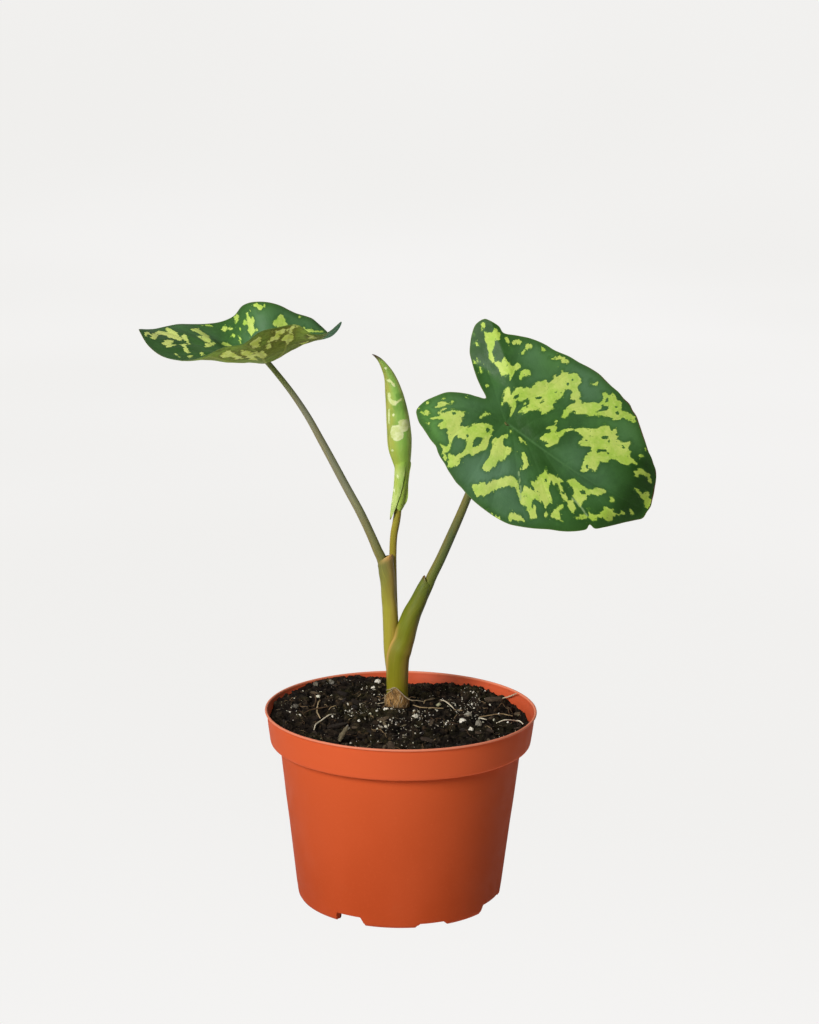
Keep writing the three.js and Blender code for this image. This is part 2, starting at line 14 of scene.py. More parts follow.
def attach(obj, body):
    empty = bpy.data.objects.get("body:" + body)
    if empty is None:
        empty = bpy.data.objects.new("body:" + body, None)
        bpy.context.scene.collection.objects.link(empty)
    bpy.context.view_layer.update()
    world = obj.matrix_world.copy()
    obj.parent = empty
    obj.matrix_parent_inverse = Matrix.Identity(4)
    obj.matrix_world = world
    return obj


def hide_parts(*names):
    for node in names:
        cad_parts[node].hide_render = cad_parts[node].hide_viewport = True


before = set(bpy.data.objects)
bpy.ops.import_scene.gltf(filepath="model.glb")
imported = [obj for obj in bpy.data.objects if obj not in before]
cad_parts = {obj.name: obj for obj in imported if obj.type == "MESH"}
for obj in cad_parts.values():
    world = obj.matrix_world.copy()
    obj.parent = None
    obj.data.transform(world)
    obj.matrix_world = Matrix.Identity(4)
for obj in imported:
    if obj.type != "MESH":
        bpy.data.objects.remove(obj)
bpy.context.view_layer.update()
MM = 0.001


# ------------------------------------------------------------------ camera
camera_data = bpy.data.cameras.new("camera")
camera_data.sensor_fit = "AUTO"
camera_data.sensor_width = 36.0
camera_data.lens = 84.375
camera_data.clip_start = 0.05
camera_data.clip_end = 60.0
camera = bpy.data.objects.new("camera", camera_data)
bpy.context.scene.collection.objects.link(camera)
right = Vector((0.99993709, 0.00237697, 0.01096166))
up = Vector((-0.01121641, 0.21190582, 0.97722572))
back = Vector((0.0, -0.9772872, 0.21191915))
turn = Matrix((right, up, back)).transposed().to_4x4()
camera.matrix_world = Matrix.Translation((0.00358701, -1.29278473, 0.50151868)) @ turn
bpy.context.scene.camera = camera


# ------------------------------------------------------------------ numbers
def smooth(a, b, x):
    q = np.clip((x - a) / (b - a), 0.0, 1.0)
    return q * q * (3.0 - 2.0 * q)


def lattice(i, j, k, seed):
    """A fixed number in 0..1 for each whole-number cell."""
    h = (i * 73856093) ^ (j * 19349663) ^ (k * 83492791) ^ (seed * 40503 + 977)
    h &= 0xFFFFFFFF
    h = ((h ^ (h >> 15)) * 2246822519) & 0xFFFFFFFF
    h = ((h ^ (h >> 13)) * 3266489917) & 0xFFFFFFFF
    h ^= h >> 16
    return h / 4294967295.0


def noise(p, seed=0):
    """Smooth value noise, -1..1, at points (n, 2 or 3)."""
    p = np.asarray(p, float)
    if p.shape[1] == 2:
        p = np.c_[p, np.full(len(p), 0.37)]
    f = np.floor(p)
    w = p - f
    w = w * w * (3.0 - 2.0 * w)
    i = f.astype(np.int64)
    out = np.zeros(len(p))
    for a in (0, 1):
        for b in (0, 1):
            for c in (0, 1):
                k = (w[:, 0] if a else 1 - w[:, 0]) * (w[:, 1] if b else 1 - w[:, 1]) * (w[:, 2] if c else 1 - w[:, 2])
                out += k * lattice(i[:, 0] + a, i[:, 1] + b, i[:, 2] + c, seed)
    return out * 2.0 - 1.0


def fbm(p, octaves=3, seed=0, gain=0.5):
    p = np.asarray(p, float)
    out, amp, total = np.zeros(len(p)), 1.0, 0.0
    for k in range(octaves):
        out += amp * noise(p * (2.03 ** k), seed + 17 * k)
        total += amp
        amp *= gain
    return out / total


def cells(p, seed=0):
    """Distance to the nearest and second nearest jittered cell point, and that cell's number."""
    p = np.asarray(p, float)
    i = np.floor(p).astype(np.int64)
    best = np.full(len(p), 9.0)
    second = np.full(len(p), 9.0)
    which = np.zeros(len(p))
    for a in (-1, 0, 1):
        for b in (-1, 0, 1):
            u, v = i[:, 0] + a, i[:, 1] + b
            z = np.zeros_like(u)
            x = u + 0.12 + 0.76 * lattice(u, v, z, seed)
            y = v + 0.12 + 0.76 * lattice(u, v, z, seed + 31)
            d = np.hypot(p[:, 0] - x, p[:, 1] - y)
            n = lattice(u, v, z, seed + 67)
            closer = d < best
            second = np.where(closer, best, np.minimum(second, d))
            which = np.where(closer, n, which)
            best = np.where(closer, d, best)
    return best, second, which


def line_distance(p, a, b):
    """Distance from points (n, 2) to each segment a->b (m, 2), and how far along: (n, m) each."""
    d = b - a
    w = p[:, None, :] - a[None]
    u = np.clip((w * d).sum(2) / np.maximum((d * d).sum(1), 1e-12), 0.0, 1.0)
    return np.hypot(*np.moveaxis(w - u[..., None] * d, 2, 0)), u


def polyline_distance(p, line, closed=False):
    line = np.asarray(line, float)
    a = line if closed else line[:-1]
    b = np.roll(line, -1, 0) if closed else line[1:]
    out = np.full(len(p), 1e9)
    along = np.zeros(len(p))
    for k in range(0, len(p), 6000):
        d, u = line_distance(p[k:k + 6000], a, b)
        m = d.argmin(1)
        r = np.arange(len(m))
        out[k:k + 6000] = d[r, m]
        along[k:k + 6000] = (m + u[r, m]) / len(a)
    return out, along


def inside(p, ring):
    ring = np.asarray(ring, float)
    x, y = p[:, 0], p[:, 1]
    res = np.zeros(len(p), bool)
    for (x0, y0), (x1, y1) in zip(ring, np.roll(ring, -1, 0)):
        if y0 == y1:
            continue
        hit = ((y0 > y) != (y1 > y)) & (x < (x1 - x0) * (y - y0) / (y1 - y0) + x0)
        res ^= hit
    return res


def ring_field(p, rings, reach=6.0):
    """Signed distance to a set of closed outlines: positive inside any of them."""
    out = np.full(len(p), -reach)
    for ring in rings:
        ring = np.asarray(ring, float)
        lo, hi = ring.min(0) - reach, ring.max(0) + reach
        near = np.where((p >= lo).all(1) & (p <= hi).all(1))[0]
        if not len(near):
            continue
        d, _ = polyline_distance(p[near], ring, closed=True)
        out[near] = np.maximum(out[near], np.where(inside(p[near], ring), d, -d))
    return out


def spline(points, closed=False, per=12):
    """Centripetal Catmull-Rom through the points, per samples a span."""
    P = np.asarray(points, float)
    n = len(P)
    if closed:
        ext = np.vstack([P[-1], P, P[0], P[1]])
        spans = n
    else:
        ext = np.vstack([2 * P[0] - P[1], P, 2 * P[-1] - P[-2]])
        spans = n - 1
    out = []
    for i in range(spans):
        p0, p1, p2, p3 = ext[i:i + 4]
        d0, d1, d2 = (max(np.linalg.norm(b[:3] - a[:3]) ** 0.5, 1e-4) for a, b in ((p0, p1), (p1, p2), (p2, p3)))
        t1 = ((p1 - p0) / d0 - (p2 - p0) / (d0 + d1) + (p2 - p1) / d1) * d1
        t2 = ((p2 - p1) / d1 - (p3 - p1) / (d1 + d2) + (p3 - p2) / d2) * d1
        u = np.arange(per)[:, None] / per
        out.append((2 * u**3 - 3 * u**2 + 1) * p1 + (u**3 - 2 * u**2 + u) * t1 + (-2 * u**3 + 3 * u**2) * p2 + (u**3 - u**2) * t2)
    if not closed:
        out.append(P[-1][None])
    return np.vstack(out)


def even(line, step, closed=False):
    """The same line with points an even distance apart."""
    L = np.vstack([line, line[:1]]) if closed else np.asarray(line)
    s = np.r_[0, np.cumsum(np.linalg.norm(np.diff(L, axis=0), axis=1))]
    m = max(2, int(round(s[-1] / step)))
    u = np.linspace(0, s[-1], m + 1)
    if closed:
        u = u[:-1]
    return np.stack([np.interp(u, s, L[:, k]) for k in range(L.shape[1])], 1)


# ------------------------------------------------------------------ meshes
def mesh_object(name, verts, faces, materials, face_slot=None, fields=None, sharp=None, flat=False):
    """verts in mm; faces is a list of whole-number arrays, one for each count of sides."""
    me = bpy.data.meshes.new(name)
    co = np.asarray(verts, float) * MM
    faces = [np.asarray(f, np.int32) for f in faces if len(f)]
    me.vertices.add(len(co))
    me.vertices.foreach_set("co", co.astype(np.float32).ravel())
    loops = np.concatenate([f.ravel() for f in faces]).astype(np.int32)
    sizes = np.concatenate([np.full(len(f), f.shape[1]) for f in faces])
    me.loops.add(len(loops))
    me.loops.foreach_set("vertex_index", loops)
    me.polygons.add(len(sizes))
    me.polygons.foreach_set("loop_start", np.r_[0, np.cumsum(sizes)[:-1]].astype(np.int32))
    if face_slot is not None:
        me.polygons.foreach_set("material_index", np.asarray(face_slot, np.int32))
    me.update(calc_edges=True)
    me.validate()
    for key, value in (fields or {}).items():
        value = np.asarray(value, np.float32)
        kind = "FLOAT" if value.ndim == 1 else "FLOAT_VECTOR"
        me.attributes.new(key, kind, "POINT").data.foreach_set("value" if value.ndim == 1 else "vector", value.ravel())
    for m in materials:
        me.materials.append(m)
    if flat:
        me.shade_flat()
    else:
        me.shade_smooth()
        if sharp:
            me.set_sharp_from_angle(angle=math.radians(sharp))
    ob = bpy.data.objects.new(name, me)
    bpy.context.scene.collection.objects.link(ob)
    return ob


def grid_faces(rows, cols, wrap=False):
    """Quads of a grid of rows x cols points, row after row."""
    j = np.arange(cols if wrap else cols - 1)
    k = (j + 1) % cols
    base = (np.arange(rows - 1) * cols)[:, None]
    return np.stack([base + j, base + k, base + cols + k, base + cols + j], -1).reshape(-1, 4)


def tube(line, radius, sides=12, shape=None, start=(1.0, 0.0, 0.0), caps=True):
    """A tube along a line of points: verts, quads, cap triangles, and (angle, place) of each vertex."""
    line = np.asarray(line, float)
    n = len(line)
    radius = np.broadcast_to(np.asarray(radius, float), (n,))
    tangent = np.gradient(line, axis=0)
    tangent /= np.linalg.norm(tangent, axis=1)[:, None]
    side = np.asarray(start, float) - tangent * (tangent @ np.asarray(start, float))[:, None]
    side /= np.linalg.norm(side, axis=1)[:, None]
    other = np.cross(tangent, side)
    a = np.arange(sides) / sides * 2 * math.pi
    r = radius[:, None] * np.ones(sides)[None]
    if shape is not None:
        r = shape(r, a[None, :], np.arange(n)[:, None])
    v = line[:, None] + side[:, None] * (r * np.cos(a))[..., None] + other[:, None] * (r * np.sin(a))[..., None]
    v = v.reshape(-1, 3)
    quads = grid_faces(n, sides, wrap=True)
    tris = np.zeros((0, 3), int)
    turn_of = np.tile(a, n)
    place = np.repeat(np.arange(n), sides)
    if caps:
        v = np.vstack([v, line[0], line[-1]])
        j = np.arange(sides)
        k = (j + 1) % sides
        last = (n - 1) * sides
        tris = np.vstack([np.stack([k, j, np.full(sides, n * sides)], 1), np.stack([last + j, last + k, np.full(sides, n * sides + 1)], 1)])
        turn_of = np.r_[turn_of, 0, 0]
        place = np.r_[place, 0, n - 1]
    return v, quads, tris, turn_of, place


def stack(parts):
    """Joins (verts, [face arrays], {field: values}) into one."""
    V, F, fields, at = [], {}, {}, 0
    for v, faces, extra in parts:
        V.append(v)
        for f in faces:
            if len(f):
                F.setdefault(f.shape[1], []).append(np.asarray(f) + at)
        for key, value in extra.items():
            fields.setdefault(key, []).append(np.broadcast_to(value, (len(v),)) if np.ndim(value) < 2 else value)
        at += len(v)
    return np.vstack(V), [np.vstack(F[k]) for k in sorted(F)], {k: np.concatenate(x) for k, x in fields.items()}


def fill(ring, spacing, lines=(), seed=0, rail=0.45):
    """Triangles over the inside of a closed ring, evenly spaced, with edges along the lines."""
    ring = np.asarray(ring, float)
    lo, hi = ring.min(0), ring.max(0)
    rows = np.arange(lo[1], hi[1], spacing * 0.866)
    pts = []
    for i, y in enumerate(rows):
        x = np.arange(lo[0] + (spacing / 2 if i % 2 else 0), hi[0], spacing)
        pts.append(np.c_[x, np.full(len(x), y)])
    pts = np.vstack(pts)
    pts = pts[inside(pts, ring)]
    d, _ = polyline_distance(pts, ring, closed=True)
    pts = pts[d > spacing * 0.6]
    verts = [ring]
    edges = [(i, (i + 1) % len(ring)) for i in range(len(ring))]
    count = len(ring)
    kept, rails = [], []
    for line in lines:
        line = even(np.asarray(line, float), spacing)
        d, _ = polyline_distance(line, ring, closed=True)
        line = line[inside(line, ring) & (d > spacing * 0.8)]
        if len(line) < 3:
            continue
        kept.append(line)
        edges += [(count + i, count + i + 1) for i in range(len(line) - 1)]
        verts.append(line)
        count += len(line)
        way = np.gradient(line, axis=0)
        way /= np.linalg.norm(way, axis=1)[:, None]
        off = np.stack([-way[:, 1], way[:, 0]], 1) * rail
        rails += [line + off, line - off]
    if kept:
        near = np.full(len(pts), 1e9)
        for line in kept:
            near = np.minimum(near, polyline_distance(pts, line)[0])
        pts = pts[near > rail + spacing * 0.45]
        rails = np.vstack(rails)
        near = np.full(len(rails), 1e9)
        for line in kept:
            near = np.minimum(near, polyline_distance(rails, line)[0])
        d, _ = polyline_distance(rails, ring, closed=True)
        rails = rails[(near > rail * 0.85) & (d > spacing * 0.5) & inside(rails, ring)]
        order = np.lexsort((rails[:, 1].round(1), rails[:, 0].round(1)))
        rails = rails[order]
        pts = np.vstack([pts, rails])
    verts.append(pts)
    verts = np.vstack(verts)
    got = delaunay_2d_cdt([Vector((float(x), float(y))) for x, y in verts], edges, [], 1, 1e-4, False)
    q = np.array([(v.x, v.y) for v in got[0]])
    tri = np.array([f for f in got[2] if len(f) == 3], int)
    area = np.cross(q[tri[:, 1]] - q[tri[:, 0]], q[tri[:, 2]] - q[tri[:, 0]])
    tri[area < 0] = tri[area < 0][:, ::-1]
    tri = tri[np.abs(area) > 1e-7]
    tri = tri[inside(q[tri].mean(1), ring)]
    # the boundary edges, in their triangles' direction
    e = np.vstack([tri[:, [0, 1]], tri[:, [1, 2]], tri[:, [2, 0]]])
    key = np.sort(e, 1)
    _, first, times = np.unique(key[:, 0] * (len(q) + 1) + key[:, 1], return_index=True, return_counts=True)
    rim = e[first[times == 1]]
    used = np.unique(tri)
    back_to = np.full(len(q), -1)
    back_to[used] = np.arange(len(used))
    return q[used], back_to[tri], back_to[rim]


# ------------------------------------------------------------------ materials
def srgb(r, g, b, a=1.0):
    out = []
    for c in (r, g, b):
        c = c / 255.0
        out.append(c / 12.92 if c <= 0.04045 else ((c + 0.055) / 1.055) ** 2.4)
    return (*out, a)


class Look:
    """A node material with a Principled shader, and short calls to add nodes."""

    def __init__(self, name, roughness=0.5, specular=0.5, **sockets):
        self.material = bpy.data.materials.new(name)
        self.material.use_nodes = True
        self.tree = self.material.node_tree
        self.tree.nodes.clear()
        self.output = self.add("ShaderNodeOutputMaterial")
        self.shader = self.add("ShaderNodeBsdfPrincipled")
        self.tree.links.new(self.shader.outputs["BSDF"], self.output.inputs["Surface"])
        self.shader.inputs["Roughness"].default_value = roughness
        self.shader.inputs["Specular IOR Level"].default_value = specular
        for key, value in sockets.items():
            self.shader.inputs[key.replace("_", " ")].default_value = value

    def add(self, kind, **props):
        node = self.tree.nodes.new(kind)
        for key, value in props.items():
            setattr(node, key, value)
        return node

    def put(self, socket, value):
        if isinstance(value, bpy.types.NodeSocket):
            self.tree.links.new(value, socket)
        elif value is not None:
            socket.default_value = value

    def attr(self, name, vector=False):
        node = self.add("ShaderNodeAttribute", attribute_name=name)
        return node.outputs["Vector" if vector else "Fac"]

    def place(self):
        """Object coordinates in millimetres."""
        node = self.add("ShaderNodeTexCoord")
        scale = self.add("ShaderNodeVectorMath", operation="SCALE")
        self.put(scale.inputs[0], node.outputs["Object"])
        scale.inputs["Scale"].default_value = 1000.0
        return scale.outputs[0]

    def stretch(self, vector, x=1.0, y=1.0, z=1.0, offset=(0, 0, 0)):
        node = self.add("ShaderNodeMapping")
        self.put(node.inputs["Vector"], vector)
        node.inputs["Scale"].default_value = (x, y, z)
        node.inputs["Location"].default_value = offset
        return node.outputs[0]

    def turned(self, vector, angle):
        """The place, leaned round the Y axis by an angle in radians."""
        p = self.parts(vector)
        c, s = math.cos(angle), math.sin(angle)
        x = self.math("ADD", self.math("MULTIPLY", p["X"], c), self.math("MULTIPLY", p["Z"], s))
        z = self.math("SUBTRACT", self.math("MULTIPLY", p["Z"], c), self.math("MULTIPLY", p["X"], s))
        joined = self.add("ShaderNodeCombineXYZ")
        self.put(joined.inputs[0], x)
        self.put(joined.inputs[1], p["Y"])
        self.put(joined.inputs[2], z)
        return joined.outputs[0]

    def noise(self, vector, scale, detail=2.0, rough=0.5, distortion=0.0, colour=False):
        node = self.add("ShaderNodeTexNoise")
        self.put(node.inputs["Vector"], vector)
        node.inputs["Scale"].default_value = scale
        node.inputs["Detail"].default_value = detail
        node.inputs["Roughness"].default_value = rough
        node.inputs["Distortion"].default_value = distortion
        return node.outputs["Color" if colour else "Fac"]

    def cells(self, vector, scale, feature="F1", out="Distance", randomness=1.0):
        node = self.add("ShaderNodeTexVoronoi", feature=feature)
        self.put(node.inputs["Vector"], vector)
        node.inputs["Scale"].default_value = scale
        node.inputs["Randomness"].default_value = randomness
        return node.outputs[out]

    def math(self, op, a, b=None, c=None, clamp=False):
        node = self.add("ShaderNodeMath", operation=op, use_clamp=clamp)
        self.put(node.inputs[0], a)
        if b is not None:
            self.put(node.inputs[1], b)
        if c is not None:
            self.put(node.inputs[2], c)
        return node.outputs[0]

    def span(self, value, a, b, c=0.0, d=1.0, kind="SMOOTHSTEP"):
        node = self.add("ShaderNodeMapRange", interpolation_type=kind)
        self.put(node.inputs["Value"], value)
        for key, x in (("From Min", a), ("From Max", b), ("To Min", c), ("To Max", d)):
            self.put(node.inputs[key], x)
        return node.outputs["Result"]

    def mix(self, fac, a, b, blend="MIX"):
        node = self.add("ShaderNodeMix", data_type="RGBA", blend_type=blend)
        self.put(node.inputs[0], fac)
        self.put(node.inputs[6], a)
        self.put(node.inputs[7], b)
        return node.outputs[2]

    def ramp(self, fac, stops):
        node = self.add("ShaderNodeValToRGB")
        self.put(node.inputs["Fac"], fac)
        el = node.color_ramp.elements
        while len(el) < len(stops):
            el.new(0.5)
        for e, (x, colour) in zip(el, stops):
            e.position = x
            e.color = colour
        return node.outputs["Color"]

    def parts(self, vector):
        node = self.add("ShaderNodeSeparateXYZ")
        self.put(node.inputs[0], vector)
        return node.outputs

    def bump(self, height, distance_mm, strength=1.0, normal=None):
        node = self.add("ShaderNodeBump")
        self.put(node.inputs["Height"], height)
        node.inputs["Distance"].default_value = distance_mm * MM
        node.inputs["Strength"].default_value = strength
        if normal is not None:
            self.put(node.inputs["Normal"], normal)
        return node.outputs["Normal"]

    def finish(self, colour, roughness=None, normal=None):
        self.put(self.shader.inputs["Base Color"], colour)
        if roughness is not None:
            self.put(self.shader.inputs["Roughness"], roughness)
        if normal is not None:
            self.put(self.shader.inputs["Normal"], normal)
        return self.material


# ------------------------------------------------------------------ the finishes
def pot_look():
    k = Look("terracotta_plastic", roughness=0.55, specular=0.13)
    p = k.place()
    z = k.parts(p)["Z"]
    cloud = k.noise(k.stretch(p, 1, 1, 0.55), 0.03, 2.0, 0.5)
    fine = k.noise(p, 0.7, 3.0, 0.6)
    band = k.span(z, 88.5, 90.5)
    # darker towards the foot: painted shade
    body = k.mix(k.span(z, 88.0, 12.0, 0.0, 1.0, "LINEAR"), srgb(193, 80, 38), srgb(172, 66, 27))
    colour = k.mix(band, body, srgb(205, 87, 46))
    colour = k.mix(k.span(cloud, 0.3, 0.7, 0.0, 0.25), colour, srgb(198, 84, 44))
    colour = k.mix(k.math("MULTIPLY", k.span(fine, 0.5, 0.8), 0.12), colour, srgb(214, 98, 54))
    speck = k.span(k.cells(p, 0.35), 0.07, 0.03)
    keep = k.span(k.noise(p, 0.09, 1.0), 0.55, 0.65)
    colour = k.mix(k.math("MULTIPLY", k.math("MULTIPLY", speck, keep), 0.3), colour, srgb(120, 44, 20))
    # dusty marks low on the wall
    dust = k.math("MULTIPLY", k.span(k.noise(p, 0.11, 4.0, 0.65), 0.55, 0.75), k.span(z, 40.0, 2.0))
    colour = k.mix(k.math("MULTIPLY", dust, 0.18), colour, srgb(168, 88, 52))
    # painted highlight: a paler line along the top of the lip
    lip = k.attr("lip")
    colour = k.mix(k.math("MULTIPLY", lip, 0.55), colour, srgb(228, 150, 120))
    inner = k.attr("inner")
    # painted shade: the inside of the wall a little darker
    inside_wall = k.math("MINIMUM", inner, 1.0)
    colour = k.mix(k.math("MULTIPLY", inside_wall, 0.7), colour, srgb(176, 72, 42))
    soiled = k.math("MULTIPLY", inside_wall, k.span(k.noise(p, 0.35, 4.0, 0.7), 0.54, 0.70))
    colour = k.mix(k.math("MULTIPLY", soiled, 0.35), colour, srgb(120, 60, 38))
    # painted shade: the underside beneath the foot near black
    under_shade = k.span(inner, 1.2, 2.0)
    colour = k.mix(k.math("MULTIPLY", under_shade, 0.92), colour, srgb(38, 14, 8))
    rough = k.span(k.noise(p, 0.08, 3.0), 0.3, 0.7, 0.50, 0.60)
    normal = k.bump(k.noise(p, 1.6, 2.0, 0.5), 0.04, 0.3)
    return k.finish(colour, rough, normal)


def soil_look(name="peat", lift=1.0):
    k = Look(name, roughness=0.92, specular=0.09)
    p = k.place()
    tint = k.attr("tint")
    coarse = k.noise(p, 0.20, 4.0, 0.65)
    fine = k.noise(p, 1.9, 3.0, 0.7)
    colour = k.mix(k.span(coarse, 0.36, 0.68), srgb(14, 10, 8), srgb(42, 33, 25))
    colour = k.mix(k.math("MULTIPLY", k.span(fine, 0.55, 0.8), 0.45), colour, srgb(76, 64, 50))
    colour = k.mix(k.math("MULTIPLY", k.span(tint, 0.74, 0.97), 0.6), colour, srgb(88, 70, 50))
    colour = k.mix(k.math("MULTIPLY", k.span(tint, 0.35, 0.08), 0.7), colour, srgb(10, 7, 6))
    relief_shading = k.attr("relief_shading")
    # painted highlight: paler crests where the clods stand above the ground round them
    colour = k.mix(k.math("MULTIPLY", k.span(relief_shading, -0.2, -1.0), k.span(fine, 0.44, 0.68)), colour, srgb(88, 76, 58))
    moss = k.math("MULTIPLY", k.span(k.noise(k.stretch(p, offset=(9, 30, 0)), 0.05, 3.0, 0.6), 0.47, 0.62), k.span(fine, 0.42, 0.62))
    colour = k.mix(k.math("MULTIPLY", moss, 0.5), colour, srgb(62, 60, 26))
    grit = k.span(k.cells(p, 0.6), 0.15, 0.06)
    some = k.span(k.noise(p, 0.09, 3.0, 0.6), 0.52, 0.60)
    colour = k.mix(k.math("MULTIPLY", k.math("MULTIPLY", grit, some), 0.85), colour, srgb(190, 180, 158))
    # painted shade: near black in the hollows between the clods
    colour = k.mix(k.math("MULTIPLY", k.span(relief_shading, 0.0, 1.0), 0.88), colour, srgb(6, 4, 3))
    # darker towards the front right
    front_right_dark = k.math("MULTIPLY", k.span(k.parts(p)["X"], -18.0, 34.0), k.span(k.parts(p)["Y"], 34.0, 6.0))
    colour = k.mix(k.math("MULTIPLY", front_right_dark, 0.42), colour, srgb(8, 5, 3))
    rough = k.span(fine, 0.3, 0.7, 0.7, 0.98)
    normal = k.bump(k.noise(p, 1.1, 4.0, 0.7), 0.9, 0.95)
    return k.finish(colour, rough, normal)


def perlite_look():
    k = Look("perlite_grain", roughness=0.9, specular=0.3)
    p = k.place()
    pit = k.cells(p, 1.5)
    tint = k.attr("tint")
    colour = k.mix(k.span(pit, 0.15, 0.5), srgb(168, 156, 130), srgb(226, 220, 206))
    colour = k.mix(k.span(tint, 0.8, 0.0), colour, srgb(150, 140, 108))
    stain = k.span(k.noise(p, 0.55, 3.0, 0.6), 0.52, 0.72)
    colour = k.mix(k.math("MULTIPLY", stain, 0.6), colour, srgb(160, 142, 100))
    mossy = k.span(k.noise(p, 0.07, 2.0, 0.6), 0.52, 0.66)
    colour = k.mix(k.math("MULTIPLY", mossy, 0.35), colour, srgb(186, 190, 132))
    dust = k.math("MULTIPLY", k.attr("dust"), k.span(k.noise(p, 0.9, 3.0, 0.6), 0.30, 0.55, 1.0, 0.8))
    colour = k.mix(dust, colour, srgb(40, 32, 25))
    normal = k.bump(pit, 0.35, 0.7)
    normal = k.bump(k.noise(p, 3.0, 2.0), 0.12, 0.6, normal)
    return k.finish(colour, k.span(pit, 0.1, 0.5, 0.98, 0.8), normal)


def fibre_look():
    k = Look("plant_fibre", roughness=0.8, specular=0.3)
    p = k.place()
    tint = k.attr("tint")
    colour = k.ramp(tint, [(0.0, srgb(48, 34, 24)), (0.3, srgb(96, 74, 50)), (0.7, srgb(166, 142, 104)), (1.0, srgb(214, 204, 180))])
    colour = k.mix(k.math("MULTIPLY", k.span(k.noise(p, 1.2, 3.0, 0.7), 0.5, 0.75), 0.6), colour, srgb(84, 58, 38))
    return k.finish(colour, k.span(tint, 0.0, 1.0, 0.9, 0.7), k.bump(k.noise(p, 3.0, 2.0), 0.15, 0.8))


def bark_look():
    k = Look("bark_bits", roughness=0.85, specular=0.3)
    p = k.place()
    tint = k.attr("tint")
    grain = k.noise(k.stretch(p, 1.0, 0.25, 1.0), 1.4, 4.0, 0.7)
    colour = k.ramp(tint, [(0.0, srgb(24, 17, 13)), (0.4, srgb(58, 44, 32)), (0.7, srgb(100, 84, 62)), (1.0, srgb(122, 118, 90))])
    colour = k.mix(k.span(grain, 0.42, 0.7), k.mix(0.45, colour, srgb(30, 22, 17)), colour)
    colour = k.mix(k.math("MULTIPLY", k.math("MULTIPLY", k.span(k.noise(p, 0.9, 2.0), 0.55, 0.7), tint), 0.5), colour, srgb(150, 134, 104))
    return k.finish(colour, k.span(grain, 0.3, 0.7, 0.95, 0.75), k.bump(grain, 0.4, 0.9))


def corm_look():
    k = Look("corm_skin", roughness=0.8, specular=0.2)
    p = k.place()
    slant = k.stretch(k.turned(p, 0.62), 1, 1, 0.16)
    other = k.stretch(k.turned(p, -0.55), 1, 1, 0.16)
    grain = k.noise(slant, 1.9, 3.0, 0.6)
    cross = k.noise(other, 1.7, 3.0, 0.6)
    colour = k.mix(k.span(grain, 0.36, 0.66), srgb(110, 78, 42), srgb(168, 130, 76))
    colour = k.mix(k.math("MULTIPLY", k.span(cross, 0.52, 0.68), 0.5), colour, srgb(196, 160, 104))
    colour = k.mix(k.math("MULTIPLY", k.span(k.noise(p, 0.35, 2.0), 0.52, 0.7), 0.45), colour, srgb(92, 62, 36))
    low = k.span(k.parts(p)["Z"], 107.5, 105.2)
    colour = k.mix(k.math("MULTIPLY", low, 0.6), colour, srgb(62, 44, 30))
    return k.finish(colour, k.span(grain, 0.3, 0.7, 0.9, 0.7), k.bump(grain, 0.35, 0.8))


def stalk_look(name, low, middle, upper, high, z_low, z_high, pale, dark):
    """Waxy stalk: colour runs up the stalk, fine long streaks, a blush and painted light where the field says so."""
    k = Look(name, roughness=0.46, specular=0.3, Subsurface_Weight=0.0)
    p = k.place()
    z = k.parts(p)["Z"]
    run = k.attr("around")                     # mm round the stalk
    high_mm = k.attr("along")                  # mm along the stalk
    joined = k.add("ShaderNodeCombineXYZ")
    k.put(joined.inputs[0], run)
    k.put(joined.inputs[1], k.math("MULTIPLY", high_mm, 0.045))
    vector = joined.outputs[0]
    streak = k.noise(vector, 1.3, 3.0, 0.6)
    broad = k.noise(k.stretch(p, 1, 1, 0.3), 0.16, 2.0)
    t = k.span(z, z_low, z_high, 0.0, 1.0, "LINEAR")
    colour = k.ramp(t, [(0.0, low), (0.45, middle), (0.66, upper), (1.0, high)])
    colour = k.mix(k.math("MULTIPLY", k.span(streak, 0.5, 0.75), 0.28), colour, pale)
    colour = k.mix(k.math("MULTIPLY", k.span(streak, 0.48, 0.28), 0.28), colour, dark)
    colour = k.mix(k.math("MULTIPLY", k.span(broad, 0.45, 0.7), 0.22), colour, srgb(140, 116, 44))
    # a tan blush, and painted light that lifts the shaded right side of the left sheath
    blush_and_painted_light = k.attr("blush_and_painted_light")
    colour = k.mix(k.math("MULTIPLY", blush_and_painted_light, k.span(k.noise(vector, 0.9, 2.0), 0.2, 0.6, 0.45, 0.9)), colour, srgb(206, 158, 88))
    brown = k.attr("brown")
    colour = k.mix(brown, colour, srgb(104, 62, 32))
    fleck = k.span(k.cells(k.stretch(p, 1, 1, 0.45), 0.9), 0.11, 0.05)
    some = k.span(k.noise(p, 0.3, 1.0), 0.5, 0.6)
    colour = k.mix(k.math("MULTIPLY", k.math("MULTIPLY", fleck, some), 0.35), colour, srgb(88, 64, 30))
    colour = k.mix(k.math("MULTIPLY", k.span(z, 280.0, 297.0), 0.7), colour, srgb(124, 140, 52))
    normal = k.bump(streak, 0.22, 0.5)
    return k.finish(colour, k.span(streak, 0.3, 0.7, 0.48, 0.38), normal)


